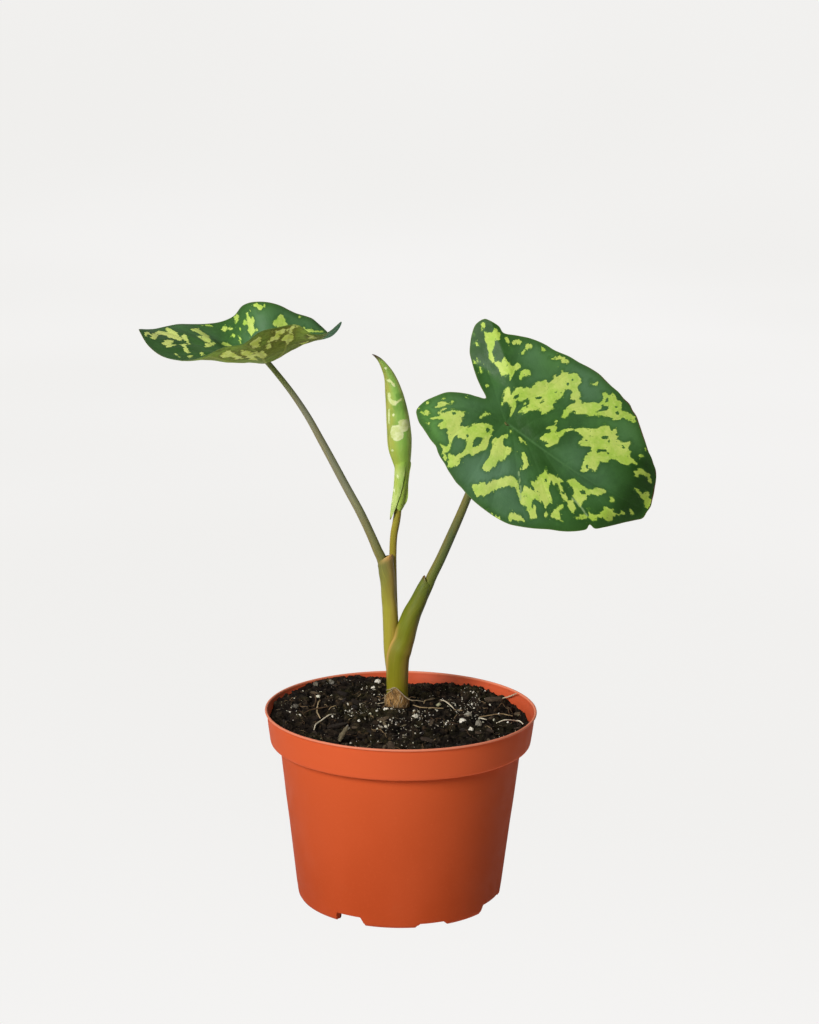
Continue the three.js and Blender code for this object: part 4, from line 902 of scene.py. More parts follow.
RIGHT_LIME = [
    [(-37.7, 39.8), (-35.7, 40.4), (-34.1, 41.1), (-33.3, 43.1), (-33.9, 44.9), (-33.1, 45.8), (-31.6, 44.7), (-29.8, 43.8), (-28, 40.6), (-29.1, 39.2), (-30.3, 38.4), (-29, 35.6), (-27.2, 31.8), (-25.6, 30.1), (-23.7, 28.5), (-22, 29), (-21.2, 31), (-20.6, 33.5), (-18.8, 32.6), (-17.3, 32.3), (-15.9, 31.5), (-14.1, 32.4), (-12.8, 34.7), (-11.2, 34.8), (-10.2, 33), (-11, 31.6), (-12.4, 30.6), (-12.3, 29.3), (-11.4, 24.2), (-11.6, 23.3), (-12.8, 26.1), (-14.2, 26.2), (-14.5, 23.8), (-16.4, 22.1), (-18.1, 23.8), (-20.3, 24.8), (-22.9, 25.5), (-25.3, 26.7), (-27.4, 28.1), (-29.9, 31.4), (-32.4, 34), (-34.8, 36), (-36.3, 38.5)],
    [(-42.2, 43.2), (-40.6, 44.3), (-39.4, 42.9), (-39.8, 41.2), (-38.9, 39.6), (-39.6, 39.2), (-41, 41.1)],
    [(-9.8, 31.1), (-7.2, 34), (-4.6, 34.8), (-3.7, 32.5), (-5, 30.2), (-6.7, 27.5), (-8, 28)],
    [(-26.2, 43.4), (-25, 44.7), (-23.5, 43.9), (-21.9, 42.8), (-22.7, 41.2), (-24.3, 41.8)],
    [(-22, 43.5), (-20.6, 45.2), (-20.3, 46.9), (-18.6, 47.4), (-17, 47.5), (-16.8, 45.4), (-18.7, 44.7), (-20.4, 42.4)],
    [(-14.2, 46.1), (-13.8, 48.3), (-12.3, 49), (-10.8, 48.2), (-11.5, 46.6), (-13, 44.5)],
    [(-14.1, 41.8), (-13.7, 43.4), (-12.9, 42), (-13.7, 41)],
    [(-7.3, 51.9), (-5.5, 51.7), (-3.4, 50.9), (-4, 49), (-5.7, 49.7)],
    [(0.8, 48.1), (2.5, 48.6), (3.8, 51), (4.6, 53.1), (7.1, 53.4), (8.3, 52.4), (10.3, 53.1), (11.3, 52.3), (10.2, 50.8), (7.8, 50.9), (5.3, 49.5), (3.3, 47.7)],
    [(-42.4, 35.8), (-41.4, 35.8), (-40.2, 33.7), (-40.9, 33.6)],
    [(-37.9, 32), (-36.9, 32.7), (-35.9, 30.9), (-37, 30.5)],
    [(-34.5, 24.3), (-33.5, 24.3), (-30.8, 22.5), (-31.8, 21.9), (-33.6, 22.8)],
    [(-34.3, 21.6), (-33.4, 21.8), (-32.5, 20.3), (-33.5, 20.3)],
    [(-30.1, 20.1), (-29.4, 20.6), (-26.6, 18.6), (-27.3, 17.4), (-29, 18.7)],
    [(-25, 20.4), (-24.3, 20.9), (-22.4, 19.4), (-23.1, 18.9), (-24.4, 19.4)],
    [(-21.3, 12.6), (-20.6, 13.4), (-20, 12.8), (-20.5, 11.8)],
    [(-40.2, 31.5), (-39.7, 32.3), (-38.6, 30.4), (-39.5, 30.2)],
    [(-8.7, 8.5), (-10.2, 11.4), (-11, 14.8), (-11, 17.6), (-10.3, 18.8), (-9.1, 18.6), (-8.3, 17), (-6.4, 15.9), (-6.6, 18.6), (-6.4, 21), (-4.2, 22.9), (-1.7, 24.3), (0.1, 25.8), (0.6, 28.4), (1.4, 30.4), (2.9, 32.5), (4.4, 34.5), (6.8, 34.9), (8.3, 37.5), (7.9, 40), (9.6, 41.6), (10.5, 43), (9.6, 45.3), (10.4, 46.2), (11.8, 46.1), (13.8, 46.1), (16.8, 47.8), (18.8, 48.2), (21, 47.2), (22.4, 45.7), (22.3, 43.1), (23.2, 40.8), (25.5, 39.5), (27.3, 36.5), (28.8, 35), (30.1, 36.7), (32.4, 38.6), (35.1, 39.6), (37.4, 41.6), (37.9, 44.3), (37.1, 46.3), (36.1, 47.6), (37.7, 48.3), (39.9, 49.1), (41.1, 50.6), (42.6, 50.2), (44.7, 49.5), (47.1, 49.4), (48.9, 48.5), (49, 46.4), (50.3, 45.2), (52.5, 45.6), (54.8, 46.2), (57.6, 46.7), (59.1, 44.5), (59.6, 42.3), (57.8, 42.5), (56.2, 41.7), (55, 42.7), (53.2, 41.8), (51.5, 39.9), (49.9, 38), (46.9, 37.4), (43.2, 35.8), (39.5, 34), (36.1, 31.9), (32.5, 30), (29.5, 28.3), (28.4, 28.6), (25.9, 26.5), (25.7, 24.5), (25.3, 21.7), (23.5, 20.8), (22.6, 21.3), (22.9, 24.7), (23.2, 27.8), (23.5, 30.2), (23.7, 31.7), (24.6, 32.4), (24.9, 33.7), (22.5, 33.8), (21.7, 35.4), (21.3, 37.2), (19.8, 38), (18, 37.1), (17.5, 34.6), (17.6, 32.1), (17.8, 29.8), (16.2, 27.5), (15.3, 25.5), (15.7, 24.3), (17.1, 23.5), (15.6, 20.3), (14.9, 18), (12.8, 16.5), (11.5, 17.7), (9.4, 16.3), (7.2, 14.4), (5.9, 12), (2.3, 8.6), (1.7, 9.1), (2.2, 11.6), (3.2, 14.4), (3.9, 17.8), (3.9, 20.2), (2.2, 19.8), (0.3, 17.3), (-1.9, 15.4), (-2.4, 14), (-1.7, 11.6), (-1.5, 8.9), (-1.1, 5.3), (-1.9, 5.1), (-3.6, 8.9), (-5.5, 10.8), (-7.2, 11), (-8, 9.4), (-8.2, 8.1)],
    [(1.3, 15.6), (1.9, 16.7), (2.8, 16.3), (2.3, 14.9)],
    [(33, 18.3), (33.1, 19.4), (35, 21.9), (36.9, 23.2), (39.2, 23.7), (42.1, 25.7), (43.9, 28.4), (45.2, 30.8), (46.3, 31.9), (48.4, 32.3), (49.5, 32), (49.6, 30.6), (51, 30.5), (51.3, 32.5), (52.5, 33.3), (53.5, 32), (53.3, 30), (55.7, 29.2), (57.8, 28.5), (60.1, 29), (61.3, 30.6), (62.8, 32), (63.6, 31.1), (63.5, 29.6), (62.9, 28.1), (64.2, 26.5), (66, 25.6), (65.8, 24.1), (67.1, 23.6), (68.6, 23.2), (70, 23.1), (72, 21.9), (70.5, 21.6), (69.1, 21), (69.5, 18.5), (67.7, 18.3), (65.1, 17.5), (62.4, 17.5), (60.3, 17.1), (58.5, 16.2), (58, 14.1), (55.4, 12.3), (53.4, 11.2), (53.5, 9.2), (54.5, 7.4), (54.4, 5.2), (52.1, 4), (51, 2.5), (49.4, 0.6), (47.4, 0.7), (45.9, 2.1), (46.6, 4.4), (45.9, 6.3), (46.2, 8.7), (47.3, 10.9), (46.1, 11.8), (46.6, 13.9), (45.8, 15.5), (43.9, 15.2), (41.7, 13.3), (39.6, 11.8), (39.6, 12.9), (41, 15.7), (42, 17.5), (42, 18.1), (40.3, 15.9), (38.7, 13.4), (38.5, 15), (39.5, 17.8), (38.7, 18.7), (36.3, 18.4), (34.4, 18.2)],
    [(18.7, 2.5), (19.8, 5.8), (21.4, 8.7), (22.4, 10.5), (21.3, 11.1), (19.4, 10.5), (19.5, 12), (21, 13.4), (21.8, 15), (21.6, 17.7), (22.4, 18.1), (22.7, 16.4), (22.9, 14.7), (23.9, 13), (25.8, 12.5), (27.1, 14.8), (29.6, 17.3), (32.1, 18.7), (30.4, 16.1), (28.9, 12.9), (28, 9.8), (28.7, 7.8), (29, 6.2), (26.8, 3.6), (24.3, 1.2), (23.6, 1.8), (24.7, 3.9), (22.3, 3.6), (20.1, 2.8)],
    [(-37.6, -22.5), (-36.4, -20.6), (-34.6, -18.3), (-33.1, -15.1), (-31.4, -12.5), (-29.9, -10.7), (-28.1, -10.5), (-25.8, -8.9), (-23.9, -7.6), (-22.5, -8.3), (-22, -10.4), (-22.5, -12.9), (-21.2, -15.2), (-19.3, -15.6), (-17.5, -14.3), (-16.2, -12), (-15.2, -10.3), (-12.8, -8.9), (-10.8, -6.8), (-8.5, -6.3), (-6.4, -6.6), (-4.5, -8.1), (-4.7, -10.7), (-3.5, -10.5), (-4, -11.9), (-3.8, -14.6), (-2.8, -16.8), (-2.3, -18.8), (-3.8, -21.3), (-5.5, -23.9), (-6.5, -25.6), (-7.1, -27.4), (-9, -28), (-10.5, -29.8), (-11.3, -31.8), (-11.6, -34.1), (-10.7, -36.2), (-11.6, -38.6), (-12.9, -40.2), (-14.6, -40.7), (-16.3, -39.4), (-18.1, -37.9), (-19.9, -37.1), (-21, -35.7), (-22.9, -33.6), (-25.1, -32), (-23.8, -31.4), (-21.6, -31.3), (-21.7, -28.9), (-22.5, -27), (-23.7, -25.4), (-25.2, -24), (-25.4, -22.4), (-27.1, -22.2), (-29, -23.5), (-31.1, -24.3), (-32.1, -24.2), (-31.4, -22.7), (-30.9, -20.2), (-31.8, -19.1), (-33.1, -20.8), (-35.6, -22.1)],
    [(-38, -14), (-37.8, -12.7), (-37.3, -10.2), (-35.4, -8.9), (-33.3, -8.1), (-31.7, -6.3), (-31.8, -7.8), (-33.8, -9.6), (-35.2, -11.6), (-36.3, -14.2), (-38.5, -15.4)],
    [(-38.1, -8.7), (-37, -6.8), (-36.6, -8), (-37.8, -9.3)],
    [(-43.7, -16.9), (-43.1, -14.7), (-42.3, -14.9), (-42.9, -16.7)],
    [(-35.8, -17.3), (-35.1, -15.1), (-34.2, -13.4), (-32.9, -12.1), (-33, -13.6), (-33.9, -16), (-34.9, -17.8)],
    [(-45.8, -21.2), (-43.7, -19.8), (-44, -21), (-45.2, -21.7)],
    [(-43.8, -21.9), (-41.9, -21.3), (-41.9, -19.5), (-40.7, -19.4), (-39.1, -19.3), (-39.7, -20.5), (-39.4, -21.6), (-40.9, -23), (-42.6, -22.8)],
    [(-40.3, -26.2), (-40, -25.6), (-38.5, -26), (-37.3, -24.7), (-36.6, -24.3), (-36.5, -25.6), (-38.2, -27)],
    [(-35.3, -28.6), (-35.1, -26.8), (-34.6, -27.8)],
    [(-27.8, 0.4), (-26.7, 0.8), (-25, 0.6), (-25.4, -0.4), (-26.8, -0.2)],
    [(-14.7, -5.6), (-14.7, -3.2), (-13.9, -1.2), (-11.7, -0.7), (-10.7, -0.7), (-12, -2.4), (-13.1, -3.8), (-13.9, -5.8)],
    [(-2, -12.6), (-1.4, -10.8), (0.3, -9.3), (0.5, -7.8), (1.9, -6.4), (3.3, -4.7), (3.7, -6.6), (3, -8.8), (3.4, -10.6), (4.7, -11.8), (6.8, -11.5), (8.4, -10.3), (9.7, -11.5), (9.5, -14.1), (9.1, -16.8), (8.2, -19.2), (6.1, -21.7), (5.4, -23.3), (5.3, -25.4), (5.1, -28), (4.1, -30.1), (2.3, -31), (0.7, -30.4), (0.5, -28.4), (0.8, -25.4), (0.3, -22.3), (-0.7, -19.4), (-1.1, -16.9), (-1.6, -14.5)],
    [(0.3, -42.1), (1.4, -40.6), (3.8, -40.4), (4.5, -38.2), (5.7, -36.9), (7.7, -37), (8.6, -35.3), (9.6, -32.5), (11.8, -30.6), (13.2, -28.6), (14.5, -26.3), (16.5, -25.3), (18.8, -24.8), (19.9, -25), (21.1, -26), (22.9, -29.5), (21, -29.8), (18.9, -30.6), (16.6, -32.2), (14.8, -34.8), (12.8, -36.9), (11.2, -39.8), (10.3, -42.1), (8.6, -44.3), (6.3, -45.9), (4.6, -45), (2.7, -43.9)],
    [(20, -24.3), (21.2, -24.5), (23.7, -29), (25.6, -31.2), (26.3, -28.9), (25.4, -27.4), (25.8, -25.8), (27.7, -25.2), (28.7, -23.5), (27.2, -22), (28.7, -20.6), (29.7, -18.9), (28.9, -17), (28.9, -15.3), (30.4, -13.9), (30, -11.4), (29.2, -9.4), (30.1, -9.2), (31.2, -10.6), (32.7, -12.7), (33.6, -12), (35.3, -11.6), (37.4, -10.8), (39.6, -10.6), (41.5, -10.4), (42.2, -11.7), (41.7, -13.1), (43.3, -13.7), (44.8, -15.1), (47.1, -16.4), (49.3, -17.6), (49.1, -19.5), (48.2, -20.8), (46.3, -19.7), (44, -17.8), (42, -16), (40.2, -14.5), (38.5, -15.6), (36.7, -15.2), (37, -17), (37.3, -19.2), (38.8, -20.7), (40.4, -22.4), (42.2, -23.9), (43.4, -25.5), (42, -27.1), (41.3, -29.7), (39.6, -29.1), (37.4, -28.6), (35.3, -28.3), (33.6, -28.1), (33.5, -30.2), (33.6, -32.2), (34.8, -33.8), (35.3, -32.4), (36.5, -32.7), (37.8, -33.9), (39.3, -35.6), (39.8, -37), (38.9, -39.3), (37.6, -39.9), (35.4, -38.3), (33.3, -36.9), (33, -35.8), (31.9, -34.4), (30.8, -35.9), (28.6, -35.3), (26.6, -34.6), (25.2, -32.8), (23.1, -30.8)],
    [(44.1, -8.6), (45.4, -6.3), (46.8, -5.3), (48.9, -6.3), (51.7, -7.2), (54.5, -7.4), (56.8, -6.9), (58.2, -4.8), (60.8, -3.4), (62.6, -1.9), (65, -1.6), (64.5, -3.7), (63.3, -5.6), (62.5, -7.1), (59.9, -7.8), (58.2, -8.3), (57.7, -10.4), (57.8, -12.8), (57.2, -14.6), (57.6, -17.1), (57.1, -19.2), (54.7, -17.7), (52.7, -16.6), (50.3, -15.8), (50.3, -13.4), (49.3, -11.6), (47.7, -11), (46, -10.4), (44.4, -9.8)],
    [(50.3, -18.7), (51.4, -17.2), (54.2, -18.7), (55.7, -20.8), (56, -23.1), (54.9, -24.6), (53, -23.4), (51.4, -21.8)],
    [(45.8, -30.4), (45.8, -28), (46.2, -25.3), (48.6, -22.6), (49.1, -24.7), (49.1, -27.5), (50.7, -29.9), (52.9, -31.5), (50.8, -31.8), (48.6, -32), (46.8, -32.2)],
    [(26.8, -47), (26.6, -44.3), (27.1, -42.9), (28.9, -42.7), (30.9, -41.7), (33.3, -42.5), (35.6, -43.3), (32.9, -45.2), (29.8, -46.6), (28, -47.9)],
    [(42.4, -33.5), (43.3, -32.2), (44.5, -32.7), (44.3, -34.6), (43.1, -34.7)],
    [(58.4, -25), (59.2, -23), (60.8, -21.2), (62.4, -20.5), (64.1, -20), (62.2, -17.8), (61.1, -16.5), (63, -17.6), (64.2, -18.5), (66.5, -17.3), (68.7, -15.5), (68.8, -13.3), (69.3, -10.5), (71.3, -9.5), (73.4, -8.4), (75.3, -10), (77.3, -9.4), (78.2, -7.4), (80.1, -7.2), (79.4, -9.4), (77, -11.3), (75.9, -12.8), (75.7, -14.9), (75.3, -16.6), (73.4, -16.1), (71.2, -16.3), (68.9, -18.1), (68.9, -20.5), (66.8, -21.3), (64.3, -21.6), (62.5, -23.1), (60.9, -24.9), (59.4, -25.7)],
    [(69.4, -5.9), (69.4, -2.4), (70.7, -2.3), (72.3, -4), (71.7, -5.4), (70.8, -6)],
    [(82.1, -3.4), (83.4, -3.9), (85.5, -4.6), (84.4, -5.7), (82.8, -4.7)],
    [(72.2, 17.9), (73.8, 18.6), (75.2, 21), (77.3, 21), (79.4, 20.9), (81.2, 21.5), (82.9, 20.2), (84.3, 19.6), (84.6, 17.7), (83, 17.7), (80.9, 18.8), (78.6, 18.6), (76.6, 18), (76.6, 15.5), (74.6, 14.8), (73.3, 16.5)],
    [(77.2, 9.5), (79.2, 9.5), (81.9, 9.1), (83.9, 8), (84.3, 9.7), (84.4, 10.8), (86.4, 12.2), (87.9, 11.4), (88.1, 9.1), (90.1, 8.6), (90.8, 5.5), (90.4, 3.2), (88.5, 2.9), (86.4, 4.7), (84.3, 6.1), (82.1, 7.5), (79.6, 8.3)],
    [(27.1, 48.3), (27.2, 49.8), (28.7, 50.2), (30, 51.4), (30.6, 49.7), (28.9, 48.1), (27.8, 47.7)],
    [(71.3, 26.8), (71.5, 28.4), (72.7, 29.2), (73.6, 28.8), (72.6, 27), (72, 26.2)],
    [(71.9, 32.6), (72.2, 33.9), (73.6, 32), (72.7, 31.7)],
    [(14.6, -49.2), (16.6, -49.3), (21.3, -49.6), (25, -49.4), (24.8, -50.3), (20.7, -50.8), (15.8, -50.1)],
    [(9.8, -3), (11.9, -3.3), (14.6, -3.5), (16.8, -4), (15.9, -4.7), (12.6, -4.6), (10.7, -4.1)],
    [(14.7, -10.1), (15.7, -9), (17.7, -10.1), (19.9, -11.8), (21.2, -13.6), (21.5, -15.9), (20.3, -17.8), (19.8, -20.2), (18.8, -19.1), (19, -16.6), (19.4, -14.9), (17.9, -13.5), (16.2, -12.2)],
    [(3, -2.5), (3.8, -1.6), (4.6, -3.1), (4.1, -3.8)],
]
RIGHT_DARK = [
    [(-5, 15.1), (-4.3, 17.3), (-3.3, 18.4), (-2.9, 17.2), (-4, 15.6)],
    [(5.5, 22.5), (6.2, 24.2), (7.8, 25.4), (8.1, 24.4), (6.5, 22.6)],
    [(8.8, 21.9), (10.5, 24.2), (10.9, 23.4), (9.5, 21.8)],
    [(38.5, 40.1), (39.2, 41.3), (41, 41.1), (42.5, 41.8), (43.3, 41), (42.8, 38.8), (40.5, 37.1), (39, 35), (38.2, 35.2), (39.6, 37.6)],
    [(39.1, 45.9), (39.9, 46.5), (41, 44.7), (40.1, 44.1)],
    [(47.5, 24.2), (48.1, 25.6), (50.3, 26.4), (50.5, 25.3), (49, 23.9)],
    [(48.9, 15.2), (49.5, 17), (51.9, 18.7), (54, 20.2), (54, 18.4), (52, 16.1), (50.2, 14.6)],
    [(-20.4, -22.7), (-18.4, -22.8), (-15.9, -21.6), (-14, -22.1), (-13, -23.8), (-12.1, -26), (-13.4, -29.4), (-15.4, -32.5), (-17.8, -34.5), (-19.2, -33.1), (-19.3, -30.7), (-20.8, -28.7), (-20.8, -25.4)],
    [(-11, -21.1), (-11.4, -19.2), (-11, -17.2), (-9.2, -15.2), (-7.8, -15.3), (-6.8, -17.1), (-7, -19.7), (-7.7, -21.9), (-9, -22.8)],
    [(-20.2, -34.5), (-19.5, -33.3), (-18.3, -35.9), (-16.5, -36.8), (-16.9, -37.8), (-18.7, -36.9)],
    [(52.3, -10.6), (53.5, -9.1), (55.8, -9.3), (55.9, -10.6), (54, -11.9)],
]
RIGHT_SPECKS = [(-16.9, 29.3, 0.69), (-31.2, 39.5, 0.37), (4.1, 15.1, 0.64), (8.4, 31.4, 0.53), (16.6, 40.4, 0.53), (13.8, 22.3, 0.42), (48.8, 41.8, 0.8), (45.7, 44.5, 0.53), (49.2, 4.5, 0.9), (61.1, 26.5, 0.69), (52.5, 24.8, 0.42), (55.5, 18, 0.42), (-15.3, -19.2, 0.69), (-7.6, -9.5, 0.85), (-28, -12.2, 0.53), (33.4, -16.2, 0.8), (29.9, -24.4, 0.64), (33.2, -25.2, 0.48), (29, -30.4, 0.9), (45.4, -16.8, 0.69), (61.4, -22.9, 0.58), (56.9, 43.6, 0.42), (13.4, 32.4, 0.27), (42, 21, 0.27), (17.5, 44, 0.27)]
LEFT_LIME = [
    [(69.7, -15.1), (70.4, -13.7), (71.1, -6.7), (67.3, -8.4), (64.8, 11.9), (63.1, 16.1), (58.5, 13.6), (60.6, 23.8), (58.9, 23.1), (57.5, 20.6), (56.1, 19.2), (52.2, 11.9), (51.5, 8), (49.8, 6.3), (48.7, 13.3), (48, 9.8), (44.9, 2.8), (44.9, -1.8), (46.6, 0.3), (48.7, 4.2), (49.4, 2.4), (50.8, -0), (54.3, 1.4), (56.8, 0.3), (58.5, 3.8), (61, 3.1), (63.8, 0.3), (63.4, -6.3), (62.7, -12.6), (64.5, -13.7), (66.2, -13.7), (66.2, -10.9), (66.9, -9.5), (69, -11.6), (68.7, -14.4)],
    [(58.5, -14.4), (58.2, -9.5), (56.8, -4.9), (54.3, -3.5), (52.6, -2.8), (54, -7), (54, -11.2), (51.5, -8.4), (50.8, -8.1), (52.6, -13.7), (54.7, -17.9), (55.7, -17.5), (55.7, -14.4), (57.8, -15.1)],
    [(49.8, -6.3), (46.6, -2.8), (45.9, -4.6), (44.9, -10.9), (43.1, -12.3), (42.1, -16.5), (42.4, -18.9), (44.2, -17.5), (45.9, -15.1), (46.3, -10.2), (47.7, -8.8)],
    [(45.9, 24.5), (43.5, 28.7), (41.7, 30.4), (41, 27.6), (39.6, 26.2), (36.8, 23.4), (34.4, 22), (33.3, 14.3), (32.6, 8.4), (34.4, 5.6), (36.5, 5.6), (38.6, 7.7), (41, 11.5), (41.4, 14), (39.3, 13.6), (37.9, 11.2), (38.6, 15.7), (41, 19.6), (43.1, 21), (44.9, 21.3)],
    [(39.6, 36.4), (36.8, 38.5), (34, 36.4), (36.8, 36.4)],
    [(35.8, -1.1), (35.4, 3.1), (32.6, 5.2), (30.5, 8.7), (29.5, 9.1), (31.6, 3.8), (33.3, -0.4), (35.1, -1.8)],
    [(28.4, 33.6), (27.7, 36), (27, 38.1), (24.9, 36), (23.2, 33.2), (21.4, 31.8), (24.6, 32.2), (27, 31.8)],
    [(21.8, 27.3), (21.4, 28.3), (20.7, 28.7), (19.3, 27.6), (19, 26.6), (19.7, 25.9), (20.4, 25.5), (21.4, 26.2)],
    [(26.7, 15), (25.6, 21), (23.2, 21), (21.1, 19.9), (20.4, 17.5), (22.5, 16.4), (24.9, 15.7)],
    [(49.4, -21.4), (48.4, -21.7), (46.3, -25.2), (44.9, -28.4), (45.9, -29.1), (47.7, -25.9)],
    [(42.4, -24.5), (41.4, -21), (39.3, -21.4), (39.6, -24.9), (41, -27.3)],
    [(37.2, -15.4), (36.1, -13.3), (34.7, -14.4), (33.7, -16.1), (35.1, -18.6), (35.8, -17.5)],
    [(21.1, 41.6), (17.9, 42), (15.8, 40.2), (14.4, 34.6), (15.8, 34.3), (17.9, 33.9), (19.3, 36.7)],
    [(13.4, 31.5), (11.6, 32.5), (10.6, 32.5), (9.5, 30.1), (11.3, 30.1), (13, 30.8)],
    [(8.8, 36.4), (7.1, 36.7), (6.4, 36), (7.8, 33.9), (8.1, 32.9), (5.3, 31.5), (4.6, 29.4), (5.3, 26.9), (5, 24.5), (2.5, 23.1), (5, 23.1), (6, 22), (8.1, 22), (9.5, 24.1), (9.9, 26.2), (8.8, 28.3), (9.2, 31.5), (9.2, 33.6)],
    [(3.9, 39.2), (2.2, 39.5), (0.8, 38.8), (0.1, 37.1), (-1.7, 37.1), (-3.1, 37.8), (-3.1, 36.4), (-1.7, 34.6), (0.4, 33.6), (1.1, 35.3), (1.5, 36.7), (3.6, 37.1)],
    [(-7.3, 25.2), (-8.7, 27.3), (-9.7, 29.7), (-11.8, 30.8), (-12.9, 30.4), (-14.6, 29), (-13.9, 26.6), (-15.7, 24.8), (-17.4, 23.1), (-15.3, 22.7), (-12.2, 23.1), (-9.4, 22.7), (-8, 23.8)],
    [(-21.3, 30.8), (-22.7, 31.8), (-23.7, 30.8), (-22.7, 29.7), (-21.6, 30.1)],
    [(15.5, 30.4), (14.4, 29.4), (14.8, 26.9), (15.5, 27.3)],
    [(17.2, 26.2), (15.8, 25.2), (15.1, 19.2), (16.2, 19.6), (16.5, 22.7)],
    [(-24.4, 23.8), (-24.8, 21.7), (-27.9, 21.7), (-31.8, 21.3), (-36.7, 23.4), (-37.7, 22.4), (-33.9, 20.3), (-29, 19.6), (-25.1, 18.2), (-22.7, 16.1), (-20.2, 14.3), (-18.5, 15), (-21.6, 16.8), (-23, 19.6)],
]
LEFT_LIME_BELOW = [
    [(22.8, -35.4), (20.4, -36.4), (17.6, -37.5), (16.9, -35.4), (15.8, -32.9), (13.4, -24.5), (14.4, -24.9), (17.2, -30.8), (19, -31.2), (21.1, -32.2)],
    [(-3.4, -29.1), (-5.5, -30.5), (-8, -31.2), (-9.4, -30.1), (-8.3, -28.7), (-5.9, -27.7), (-3.8, -28.4)],
    [(5.7, -37.1), (3.2, -36.1), (1.1, -35.7), (1.5, -32.9), (2.5, -30.5), (3.9, -30.8), (5.3, -33.6)],
    [(5.3, -25.6), (2.9, -24.5), (0.8, -22.4), (-0.3, -20), (0.4, -16.5), (2.9, -17.5), (4.3, -20.7)],
    [(11.3, -33.6), (9.9, -31.2), (7.8, -25.2), (5.7, -17.2), (5, -13.3), (7.8, -17.5), (9.5, -23.5), (10.9, -29.1)],
    [(-7.3, -36.8), (-8.7, -36.1), (-8.7, -33.3), (-7.6, -33.3), (-7.3, -35)],
    [(-8.3, -33.6), (-12.2, -34), (-12.9, -33.3), (-10.1, -31.2), (-9, -32.2)],
    [(-14.3, -33.6), (-16.4, -35.7), (-17.4, -35.4), (-18.1, -35), (-19.5, -34.3), (-18.1, -35), (-16.7, -34.3), (-15.3, -31.5), (-14.6, -29.1), (-14.3, -30.8)],
    [(-10.1, -28), (-12.2, -28.7), (-14.6, -27.7), (-14.3, -24.5), (-12.5, -23.5), (-10.1, -25.9)],
    [(-1, -27), (-3.1, -25.6), (-2.4, -24.5), (-1.3, -25.9)],
    [(-24.1, -29.1), (-25.8, -28), (-25.8, -24.2), (-23.7, -26.3)],
    [(-19.5, -18.6), (-22, -18.2), (-22, -9.1)],
]
RIGHT_MIDRIB = [(0, 0), (10, -0.4), (20, -1.2), (32, -1.9), (44, -2.2), (56, -1.9), (68, -1.1), (80, 0.2), (91.4, 1.4)]
RIGHT_VEINS = [
    [(-2.1, 0.7), (-9.5, 6.9), (-16.7, 14), (-24.9, 21.3), (-32, 29.3), (-37.7, 36.9), (-40.6, 44.3)],
    [(-8.1, 5.7), (-11, 16.5), (-12.4, 27.1), (-14.1, 36), (-16.2, 43.2), (-19.7, 48.1)],
    [(-1.1, 1.4), (-0.4, 10.4), (2.3, 19.5), (8, 29.3), (12.4, 42.5), (15.6, 53.6)],
    [(6.7, -0.9), (9.5, 6.7), (15.1, 16.4), (22.8, 26.1), (32.7, 38.1), (37.9, 52.7)],
    [(15.3, -1.3), (18.6, 6.7), (24.4, 15.1), (36, 26.1), (48, 36.7), (55.4, 47.6)],
    [(26.6, -1.8), (30.1, 4.8), (36.9, 12.5), (48.8, 20.8), (61.3, 28.1), (70.7, 35.4)],
    [(37.5, -2.7), (41.3, 3.5), (48.2, 9.8), (59.3, 16), (71.8, 21.1), (83.8, 24.3)],
    [(48.3, -2.2), (53.7, 2.2), (60.4, 5.5), (73.7, 9), (89.4, 11.7)],
    [(-4.4, -0.9), (-13.4, -2.2), (-22.9, -4.7), (-31.8, -9.6), (-39.5, -16.4), (-44.3, -22.6)],
    [(-11.9, -2.6), (-16.4, -9.4), (-20.6, -17.9), (-22.9, -27.3), (-22.7, -35.5)],
    [(-1.9, -2), (-3.3, -10.8), (-2.6, -20.1), (-2, -30.1), (-2, -41.3), (-3.1, -46.2)],
    [(0.6, -1.7), (5.3, -11.1), (9.1, -22.4), (12.5, -35.3), (16.5, -49.2)],
    [(3.8, -1.6), (11.4, -11.7), (18.6, -22.1), (25.4, -32), (33.4, -40.4), (38.3, -44.6)],
    [(12.8, -1.6), (23.5, -10.3), (33.8, -19.2), (43.7, -27.7), (53.1, -36.5)],
    [(24.2, -2.1), (34.1, -7.1), (44.1, -12.1), (54.5, -16.8), (64.9, -21.5)],
    [(37, -3), (48, -5.2), (59.3, -7.9), (70.7, -10.6), (80.3, -13.4)],
]
LEFT_MIDRIB = [(0, 0), (20, 0), (40, 0), (60, 0), (79.2, 0)]
LEFT_HALF_VEINS = [
    [(-1.5, 0.8), (-9, 7), (-17, 13), (-26, 19), (-33, 23.5), (-38, 26)],
    [(-6, 5), (-9.5, 14), (-12, 24), (-14.5, 35)],
    [(-0.5, 1), (1, 10), (3, 20), (6, 31), (9, 41)],
    [(5, 0), (10, 9), (16, 19), (23, 30), (29, 41)],
    [(15, 0), (22, 8), (31, 18), (39, 27), (45, 35.5)],
    [(27, 0), (36, 8), (46, 17), (56, 27)],
    [(40, 0), (49, 6), (58, 13), (66, 20)],
    [(53, 0), (61, 4.5), (69, 9), (75, 12)],
]
